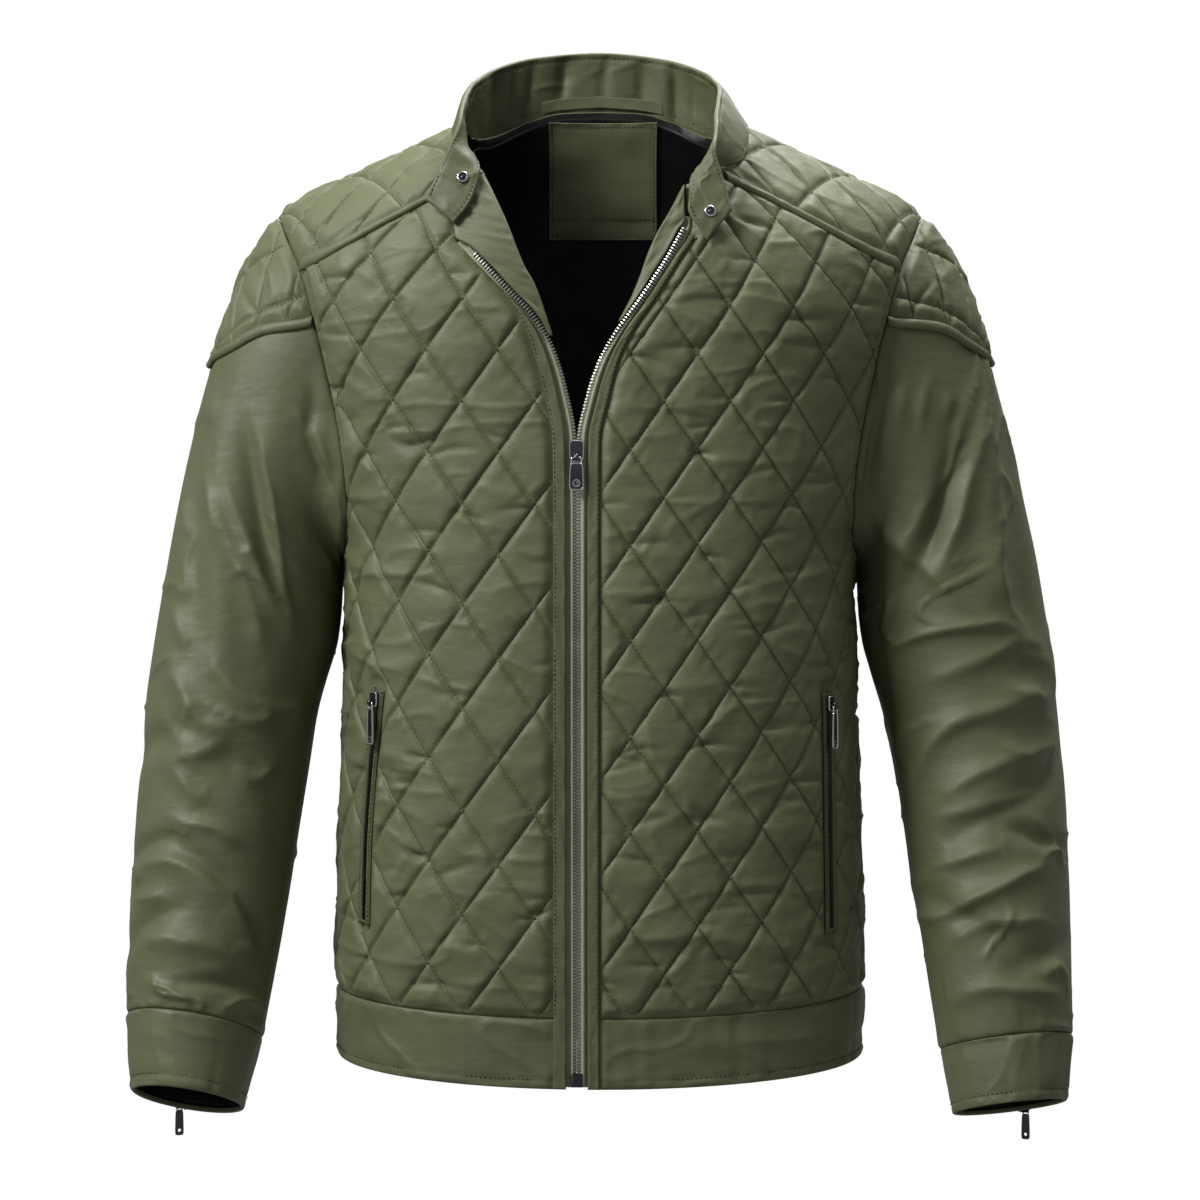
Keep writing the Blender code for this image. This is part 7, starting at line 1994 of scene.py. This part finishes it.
def make_inside():
    """Lining of the back, neck patch and neck tape."""
    x = np.linspace(-LINING_HALF, LINING_HALF, 64)
    seam = read([(row[0], row[1]) for row in NECK_BACK], 1, np.abs(x) / MM) * MM
    top = np.minimum(seam, shoulder_z(x) - 6 * MM) - 3 * MM
    share = np.linspace(0, 1, 74)[:, None] ** 1.15
    z = top + (LINING_LOW - top) * share
    x = np.broadcast_to(x, z.shape)

    def place(across, up, lift):
        return inside_back(across, up, LINING_WALL / 2 + lift)

    soft = noise(x / (26 * MM), z / (60 * MM), 221) * 0.9 * MM
    soft = soft + crumple(x / (30 * MM), z / (80 * MM), 222) * 1.2 * MM
    low = smoothstep(0.03, 0.09, -z)
    folded_cloth("back_lining_cloth", place, x, z, LINING_WALL / 2, np.maximum(soft, 0) * low,
                 np.zeros_like(z),
                 False, ["lining"], ["back_lining"])
    width, height = PATCH_SIZE
    near = LINING_WALL + SEAM_GAP + 1.0 * MM + PATCH_WALL / 2
    across = PATCH_MIDDLE + width * (edge_steps(width, 2.1 * MM, PATCH_WALL / 2) - 0.5)
    down = PATCH_TOP - height * edge_steps(height, 2.1 * MM, PATCH_WALL / 2)
    x, z = np.meshgrid(across, down)

    def patch_place(across, up, lift):
        return inside_back(across, up, near + lift)

    edge = np.minimum(width / 2 - np.abs(x - PATCH_MIDDLE), np.minimum(PATCH_TOP - z, z - PATCH_TOP + height))
    strip_seam = PATCH_TOP - height + 14 * MM
    rise = noise(x / (24 * MM), z / (17 * MM), 231) * 0.8 * MM
    rise = rise + noise(x / (7 * MM), z / (40 * MM), 232) * np.exp(-(PATCH_TOP - z) / (9 * MM)) * 0.9 * MM
    seam_fade = np.exp(-np.abs(z - strip_seam) / (7 * MM))
    rise = rise + noise(x / (11 * MM), z / (30 * MM), 233) * seam_fade * 0.9 * MM
    rise = rise - np.exp(-((edge - 2.6 * MM) / (0.9 * MM)) ** 2) * 0.5 * MM
    rise = rise - np.exp(-((z - strip_seam) / (0.8 * MM)) ** 2) * 0.7 * MM
    folded_cloth("neck_patch_cloth", patch_place, x, z, PATCH_WALL / 2, rise, np.zeros_like(rise), False,
                 ["patch"],
                 ["neck_patch"])
    corner_signs = np.array([(-1, 1), (1, 1), (1, -1), (-1, -1), (-1, 1)])
    corners = corner_signs * (width / 2 - 2.6 * MM, height / 2 - 2.6 * MM)
    corners = corners + (PATCH_MIDDLE, PATCH_TOP - height / 2)
    line = resample(corners, 2 * MM)
    seam_x = np.linspace(PATCH_MIDDLE - width / 2 + 2 * MM, PATCH_MIDDLE + width / 2 - 2 * MM, 60)
    seam_line = np.stack([seam_x, np.full(60, strip_seam + 1.6 * MM)], axis=1)
    runs = []
    for part in (line, seam_line):
        points = inside_back(part[:, 0], part[:, 1], near + PATCH_WALL / 2 - 0.1 * MM)
        runs.append((points, inside_back(part[:, 0], part[:, 1], near + 1) - points))
    add_thread("neck_patch_stitches", runs)
    along, up = np.meshgrid(0.452 + 0.1 * edge_steps(62 * MM, 1.6 * MM, 0.4 * MM),
                            0.04 + 0.2 * edge_steps(9 * MM, 1.0 * MM, 0.4 * MM))

    def tape_place(share, rising, lift):
        return collar_middle(share, rising) + collar_normals(share, rising) * (lift + COLLAR_WALL / 2
                                                                               + 1.4 * MM)[..., None]

    rise = noise(along * 90, up * 6, 241) * 0.2 * MM
    folded_cloth("neck_tape_cloth", tape_place, along, up, 0.4 * MM, rise, np.zeros_like(rise), False,
                 ["patch"],
                 ["neck_tape"])


# ---------------------------------------------------------------- pockets and cuff zips
def make_pockets():
    """The welts and zips of both pockets."""
    low, shoulder = LAID + 0.3 * MM, POCKET_LIP - 0.5 * MM
    shares = np.array([0, 0.02, 0.06, 0.12, 0.18, 0.22, 0.25, 0.262, 0.5, 0.738, 0.75, 0.78, 0.82, 0.88, 0.94,
                       0.98, 1])
    heights = np.array([low, shoulder - 0.4 * MM, shoulder, POCKET_LIP, POCKET_LIP, POCKET_LIP - 0.15 * MM,
                        POCKET_LIP - 0.5 * MM, POCKET_FLOOR, POCKET_FLOOR, POCKET_FLOOR,
                        POCKET_LIP - 0.5 * MM,
                        POCKET_LIP - 0.15 * MM, POCKET_LIP, POCKET_LIP, shoulder, shoulder - 0.4 * MM, low])
    for seed, side in enumerate(("right", "left")):
        line = pocket_line(side, 90)
        near, far = beside(line, POCKET_WELT_HALF), beside(line, -POCKET_WELT_HALF)
        flat = near[:, None] + (far - near)[:, None] * shares[None, :, None]
        run = np.linspace(0, 174 * MM, len(line))[:, None]
        on_lips = heights > POCKET_FLOOR + 0.3 * MM
        uneven = noise(run / (7 * MM), shares[None] * 3, 251 + seed) * 0.25 * MM * on_lips
        top = FRONT_CHART.place(flat, heights[None] + uneven)
        bottom = FRONT_CHART.place(flat, np.full(flat.shape[:2], low))
        slab("pocket_welt_" + side + "_cloth", top, bottom, False, ["plain"], ["pocket_welt_" + side], 0,
             cut_of(FRONT_CHART.place(flat, np.zeros(flat.shape[:2]))))
        line = trim(line, 2.5 * MM, 2.5 * MM)
        bottom_at, top_at = POCKET_FLOOR + 0.3 * MM, POCKET_FLOOR + 1.2 * MM
        zip_rows(("pocket_zip_" + side), FRONT_CHART, line, POCKET_ZIP_HALF, bottom_at, top_at)
        longer = pocket_line(side, 60)
        ends = [np.linspace(beside(longer, 4.6 * MM)[k], beside(longer, -4.6 * MM)[k], 8) for k in (0, -1)]
        runs = []
        for part in (beside(longer, 4.7 * MM), beside(longer, -4.7 * MM), *ends):
            a, b = FRONT_CHART.locate(part)
            normals = FRONT_CHART.normals(a, b)
            runs.append((FRONT_CHART.surface(a, b) + normals * (POCKET_LIP - 0.25 * MM), normals))
        add_thread("pocket_" + side + "_stitches", runs)


def zip_rows(node, chart, line, half, low, high):
    """Small teeth in two rows along a flat line."""
    run = np.concatenate([[0], np.cumsum(np.linalg.norm(np.diff(line, axis=0), axis=1))])
    pitch = 1.5 * MM
    vertices, faces = [], []
    for way in (-1, 1):
        at = np.arange(pitch, run[-1] - pitch, pitch) + (pitch / 2 if way > 0 else 0)
        middle = np.stack([np.interp(at, run, line[:, k]) for k in range(2)], axis=1)
        ahead = np.stack([np.interp(at + MM, run, line[:, k]) - np.interp(at - MM, run, line[:, k])
                          for k in range(2)], axis=1)
        ahead /= np.linalg.norm(ahead, axis=1, keepdims=True)
        across = np.stack([-ahead[:, 1], ahead[:, 0]], axis=1) * way
        for near, reach, height in ((-0.25, 0.30, low), (-0.25, 0.30, high), (0.9, 0.42, low),
                                    (0.9, 0.42, high - 0.2 * MM)):
            for turn in (-1, 1):
                flat = middle + across * (near * half) + ahead * (turn * reach * MM)
                vertices.append(chart.place(flat, np.full(len(flat), height)))
        block = np.stack(vertices[-8:], axis=1).reshape(-1, 3)
        quads = np.array([(0, 1, 3, 2), (4, 6, 7, 5), (2, 3, 7, 6), (0, 4, 5, 1), (0, 2, 6, 4), (1, 5, 7, 3)])
        faces.append((block, (quads[None] + np.arange(len(middle))[:, None, None] * 8).reshape(-1, 4)))
    points = np.concatenate([block for block, _ in faces])
    quads = np.concatenate([faces[0][1], faces[1][1] + len(faces[0][0])])
    made = add_piece(node + "_metal", points, [tuple(f) for f in quads.tolist()], ["metal"], [node])
    made.data.set_sharp_from_angle(angle=math.radians(30))


def make_cuff_zips():
    """The zips at the back of the cuffs."""
    bottom = LAID + 0.7 * MM
    for side, chart in SLEEVE_CHARTS.items():
        line = chart.flat(np.full(30, CUFF_ZIP_TURN[side]), np.linspace(CUFF_ROW + 0.12, RIM_ROW - 0.05, 30))
        zip_rows("cuff_zip_" + side, chart, line, CUFF_ZIP_HALF * 0.8, bottom, bottom + 1.0 * MM)


# ---------------------------------------------------------------- metal parts, floor, light, camera
METAL_POINTS = 40


def oval(width, length, middle=0.0, power=2.0, taper=0.0):
    """Points round an oval or, with a high power, a rectangle with round corners; taper narrows its top."""
    turn = np.arange(METAL_POINTS) * 2 * math.pi / METAL_POINTS
    x, z = (np.sign(wave) * np.abs(wave) ** (2 / power) for wave in (np.cos(turn), np.sin(turn)))
    return np.stack([x * width / 2 * (1 - taper * (z + 1) / 2), middle + z * length / 2], axis=1) * MM


def loft(loops, finishes, ring):
    """Faces over loops of one count: each loop is its x, z points and its height out (mm). A ring joins its
    last loop to its first; anything else has caps."""
    count = len(loops[0][0])
    points = np.concatenate([np.stack([flat[:, 0], np.full(count, out * MM), flat[:, 1]], axis=1)
                             for flat, out in loops])
    faces, finish = [], []
    for k in range(len(loops) if ring else len(loops) - 1):
        first, second = k * count, (k + 1) % len(loops) * count
        faces += [(first + i, first + (i + 1) % count, second + (i + 1) % count, second + i)
                  for i in range(count)]
        finish += [finishes[k]] * count
    if not ring:
        faces += [tuple(reversed(range(count))), tuple(range((len(loops) - 1) * count, len(loops) * count))]
        finish += [finishes[0], finishes[-1]]
    return points, faces, finish


def bent_bar(path, width, thick, finish):
    """A bar with an oval section that follows a path in the frame of its piece (mm)."""
    path = np.asarray(path, float)
    path = smooth_line(path, 4 * len(path)) * MM
    along = np.gradient(path, axis=0)
    along /= np.linalg.norm(along, axis=1, keepdims=True)
    side = np.array((1.0, 0, 0)) if np.ptp(path[:, 0]) < 1e-6 else np.array((0, 1.0, 0))
    other = np.cross(along, side)
    other /= np.linalg.norm(other, axis=1, keepdims=True)
    turn = np.arange(12) * math.pi / 6
    wide_way = np.cos(turn)[:, None, None] * side * width / 2
    ring = (wide_way + np.sin(turn)[:, None, None] * other * thick / 2) * MM
    points = (path[None] + ring).transpose(1, 0, 2)
    rows, columns = points.shape[:2]
    faces = grid_faces(rows, columns, True) + [tuple(range(columns)),
                                               tuple(range((rows - 1) * columns, rows * columns))]
    return points.reshape(-1, 3), faces, [finish] * len(faces)


def add_metal(node, placed, shapes, body="jacket"):
    """A metal piece from several shapes in one frame, its edges painted bright as a highlight."""
    points, faces, finish = [], [], []
    for shape_points, shape_faces, shape_finish in shapes:
        if enclosed(shape_points, shape_faces) < 0:
            shape_faces = [face[::-1] for face in shape_faces]
        first = sum(map(len, points))
        points.append(shape_points)
        faces += [tuple(first + i for i in face) for face in shape_faces]
        finish += shape_finish
    placed = np.array(placed)
    points = np.concatenate(points) @ placed[:3, :3].T + placed[:3, 3]
    made = add_piece(node + "_metal", points, faces, ["metal", "rim"], [node], finish, body=body)
    made.data.set_sharp_from_angle(angle=math.radians(40))


# finish slots of the metal pieces: the dark metal, and the bright rim finish painted on edges as a highlight
DARK, PAINTED_HIGHLIGHT = 0, 1
WIRE = 1.3                   # thickness of the pull's wire eye and of the bridge that it turns round, mm


def wire_reach(kind):
    """Distance of the eye's two sides from the middle of the pull."""
    return min(PULL[kind][0] / 2 - WIRE, 3.4)


def slider_shapes(kind):
    """The slider's body, wider where the zip is open, and the bridge that holds the pull: it stays within
    the turning circle of the pull's tab."""
    width, thick, height = SLIDER[kind]
    top = -AXIS_OVER / MM
    middle = height / 2 - AXIS_FROM_END / MM
    sizes = ((0.0, thick), (0.0, 0.5), (0.7, 0.0), (1.7, 0.0), (2.1, 0.35))
    loops = [(oval(width - inset, height - inset, middle, 5, -0.12), top - down) for inset, down in sizes]
    # the slider's bevelled top edges take the bright finish, a painted highlight
    body = loft(loops, (DARK, PAINTED_HIGHLIGHT, PAINTED_HIGHLIGHT, DARK, DARK), False)
    bridge_width = min(3.0, 2 * wire_reach(kind) - WIRE - 0.5)
    bridge = bent_bar(((0, top - 0.3, 3.3), (0, -0.9, 3.0), (0, 0.5, 2.3), (0, 1.4, 1.3), (0, 1.65, 0.2),
                       (0, 0.9, -1.3), (0, top - 0.3, -1.8)), bridge_width, WIRE, DARK)
    return [body, bridge]


def pull_shapes(kind):
    """The pull: a wire eye round the bridge and a tab with a raised rim and a hole, the rim and the eye
    painted bright as a highlight.
    """
    width, length, thick, hole, hole_height = PULL[kind]
    start = NECK_LENGTH / MM
    middle, low = -start - length / 2, -start - length + hole_height
    half = thick / 2
    eye, eye_rim = oval(2 * hole, 2 * hole, low), oval(2 * hole + 1.1, 2 * hole + 1.1, low)
    edge, top = oval(width, length, middle, 6, 0.14), oval(width - 0.5, length - 0.5, middle, 6, 0.14)
    inner = oval(width - 1.7, length - 1.7, middle, 6, 0.14)
    floor = oval(width - 2.2, length - 2.2, middle, 6, 0.14)
    loops = [(eye, -half), (eye, half - 0.15), (eye_rim, half - 0.15), (eye_rim, half - 0.4),
             (floor, half - 0.4),
             (inner, half), (top, half), (edge, half - 0.3), (edge, 0.3 - half), (top, -half)]
    # the ring round the hole, the raised rim and the tab's outer edge take the bright finish, a painted
    # highlight; the floor and back stay dark metal
    tab = loft(loops, (DARK, PAINTED_HIGHLIGHT, PAINTED_HIGHLIGHT, DARK, PAINTED_HIGHLIGHT, PAINTED_HIGHLIGHT, PAINTED_HIGHLIGHT, PAINTED_HIGHLIGHT, DARK, DARK), True)
    reach = wire_reach(kind)
    # the whole wire eye takes the bright finish, a painted highlight
    wire = bent_bar(((-reach, 0, -start - 0.6), (-reach, 0, -start + 1.2), (-reach, 0, -0.9),
                     (0.6 - reach, 0, 0.1),
                     (0, 0, 0.25), (reach - 0.6, 0, 0.1), (reach, 0, -0.9), (reach, 0, -start + 1.2),
                     (reach, 0, -start - 0.6)), WIRE, WIRE, PAINTED_HIGHLIGHT)
    return [tab, wire]


def snap_shapes():
    """A snap's socket half, lofted from its edge over its rim into its middle."""
    circles = ((8.4, 0.0), (8.4, 0.7), (7.8, 1.1), (6.0, 1.35), (5.2, 1.2), (4.7, 0.75), (3.0, 0.7),
               (2.4, 1.0), (1.0, 1.1))
    loops = [(oval(size, size), out) for size, out in circles]
    # one band on the snap's rim takes the bright finish, a painted highlight; the rest is dark metal
    return [loft(loops, (DARK, DARK, PAINTED_HIGHLIGHT, DARK, DARK, DARK, DARK, DARK), False)]


def make_metal():
    """Sliders, pulls and snaps, and the finish of the zip box."""
    add_metal("main_slider", main_metal_place(), slider_shapes("main"))
    add_metal("main_pull", main_metal_place(), pull_shapes("main"), "main_pull")
    for side in ("right", "left"):
        add_metal("pocket_slider_" + side, pocket_metal_place(side), slider_shapes("pocket"))
        add_metal("pocket_pull_" + side, pocket_metal_place(side), pull_shapes("pocket"),
                  "pocket_pull_" + side)
        slider_place, pull_place = cuff_metal_places(side)
        add_metal("cuff_slider_" + side, slider_place, slider_shapes("cuff"))
        add_metal("cuff_pull_" + side, pull_place, pull_shapes("cuff"), "cuff_pull_" + side)
        add_metal("snap_" + side, snap_place(side), snap_shapes())
    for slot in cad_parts["zip_box"].material_slots:
        slot.material = MATERIALS["metal"]


def plain_light(name, colour, strength):
    """A material that shines evenly and takes no shading."""
    made = bpy.data.materials.new(name)
    made.use_nodes = True
    tree = made.node_tree
    tree.nodes.remove(tree.nodes["Principled BSDF"])
    glow = tree.nodes.new("ShaderNodeEmission")
    glow.inputs["Color"].default_value = (*colour, 1)
    glow.inputs["Strength"].default_value = strength
    tree.links.new(glow.outputs["Emission"], tree.nodes["Material Output"].inputs["Surface"])
    return made


BACKDROP_RADIUS = 9.0        # metres
FLOOR_HALF = 4.0
FLOOR_Z = -0.86


def make_stage():
    """The pale backdrop and floor, which throw no light, reflection or shadow on the jacket."""
    body = bmesh.new()
    bmesh.ops.create_uvsphere(body, u_segments=48, v_segments=24, radius=BACKDROP_RADIUS)
    bmesh.ops.reverse_faces(body, faces=body.faces)
    mesh = bpy.data.meshes.new("backdrop")
    body.to_mesh(mesh)
    body.free()
    backdrop = bpy.data.objects.new("backdrop", mesh)
    mesh.materials.append(plain_light("backdrop_white", (1, 1, 1), 1.0))
    mesh = bpy.data.meshes.new("floor")
    corners = [(x * FLOOR_HALF, y * FLOOR_HALF, 0) for x, y in ((-1, -1), (1, -1), (1, 1), (-1, 1))]
    mesh.from_pydata(corners, [], [(0, 1, 2, 3)])
    mesh.materials.append(plain_light("floor_white", (1, 1, 1), 1.0))
    floor = bpy.data.objects.new("floor", mesh)
    floor.location.z = FLOOR_Z
    for stage in (backdrop, floor):
        bpy.context.scene.collection.objects.link(stage)
        stage.visible_diffuse = False
        stage.visible_glossy = False
        stage.visible_shadow = False


def area_light(name, place, target, size, energy, colour=(1, 1, 1)):
    """A rectangular lamp turned to a target."""
    light = bpy.data.lights.new(name, "AREA")
    light.shape = "RECTANGLE"
    light.size, light.size_y = size
    light.energy = energy
    light.color = colour
    made = bpy.data.objects.new(name, light)
    bpy.context.scene.collection.objects.link(made)
    made.location = place
    made.rotation_euler = (Vector(target) - Vector(place)).to_track_quat("-Z", "Y").to_euler()


WORLD_STRENGTH = 0.32
LIT_PLACE = (0, 0, -0.32)    # the middle of the jacket, where every lamp points
# name, place, width and height, energy in watts
LAMPS = (
    ("key", (-1.80, -1.36, 1.42), (1.0, 1.0), 98),
    ("top", (0.5, 0.35, 2.0), (1.4, 1.0), 90),
    ("back", (0.3, 2.6, 1.0), (1.5, 1.5), 25),
)


def make_light():
    """The pale world and the studio lamps."""
    world = bpy.data.worlds.new("studio")
    world.use_nodes = True
    world.node_tree.nodes["Background"].inputs["Color"].default_value = (1, 1, 1, 1)
    world.node_tree.nodes["Background"].inputs["Strength"].default_value = WORLD_STRENGTH
    bpy.context.scene.world = world
    for name, place, size, energy in LAMPS:
        area_light(name, place, LIT_PLACE, size, energy)


SENSOR = 36                  # millimetres
CAMERA_AWAY = 2.2            # guessed, from the jacket's middle plane
CAMERA_Z = -0.338
PHOTO_PIXELS = 1200
PIXEL = 0.00073              # size of a photo pixel in the jacket's middle plane


def make_camera():
    """The level camera at the photograph's view."""
    camera = bpy.data.cameras.new("camera")
    camera.sensor_width = SENSOR
    camera.lens = SENSOR * CAMERA_AWAY / (PHOTO_PIXELS * PIXEL)
    made = bpy.data.objects.new("camera", camera)
    bpy.context.scene.collection.objects.link(made)
    made.location = (0, -CAMERA_AWAY, CAMERA_Z)
    made.rotation_euler = (math.pi / 2, 0, 0)
    bpy.context.scene.camera = made


bpy.context.scene.view_settings.view_transform = "Standard"
make_camera()
make_quilted()
make_sleeves()
make_cuffs()
make_hem()
make_piping()
make_front_edges()
make_teeth()
make_collar()
make_inside()
make_pockets()
make_cuff_zips()
make_metal()
make_stage()
make_light()
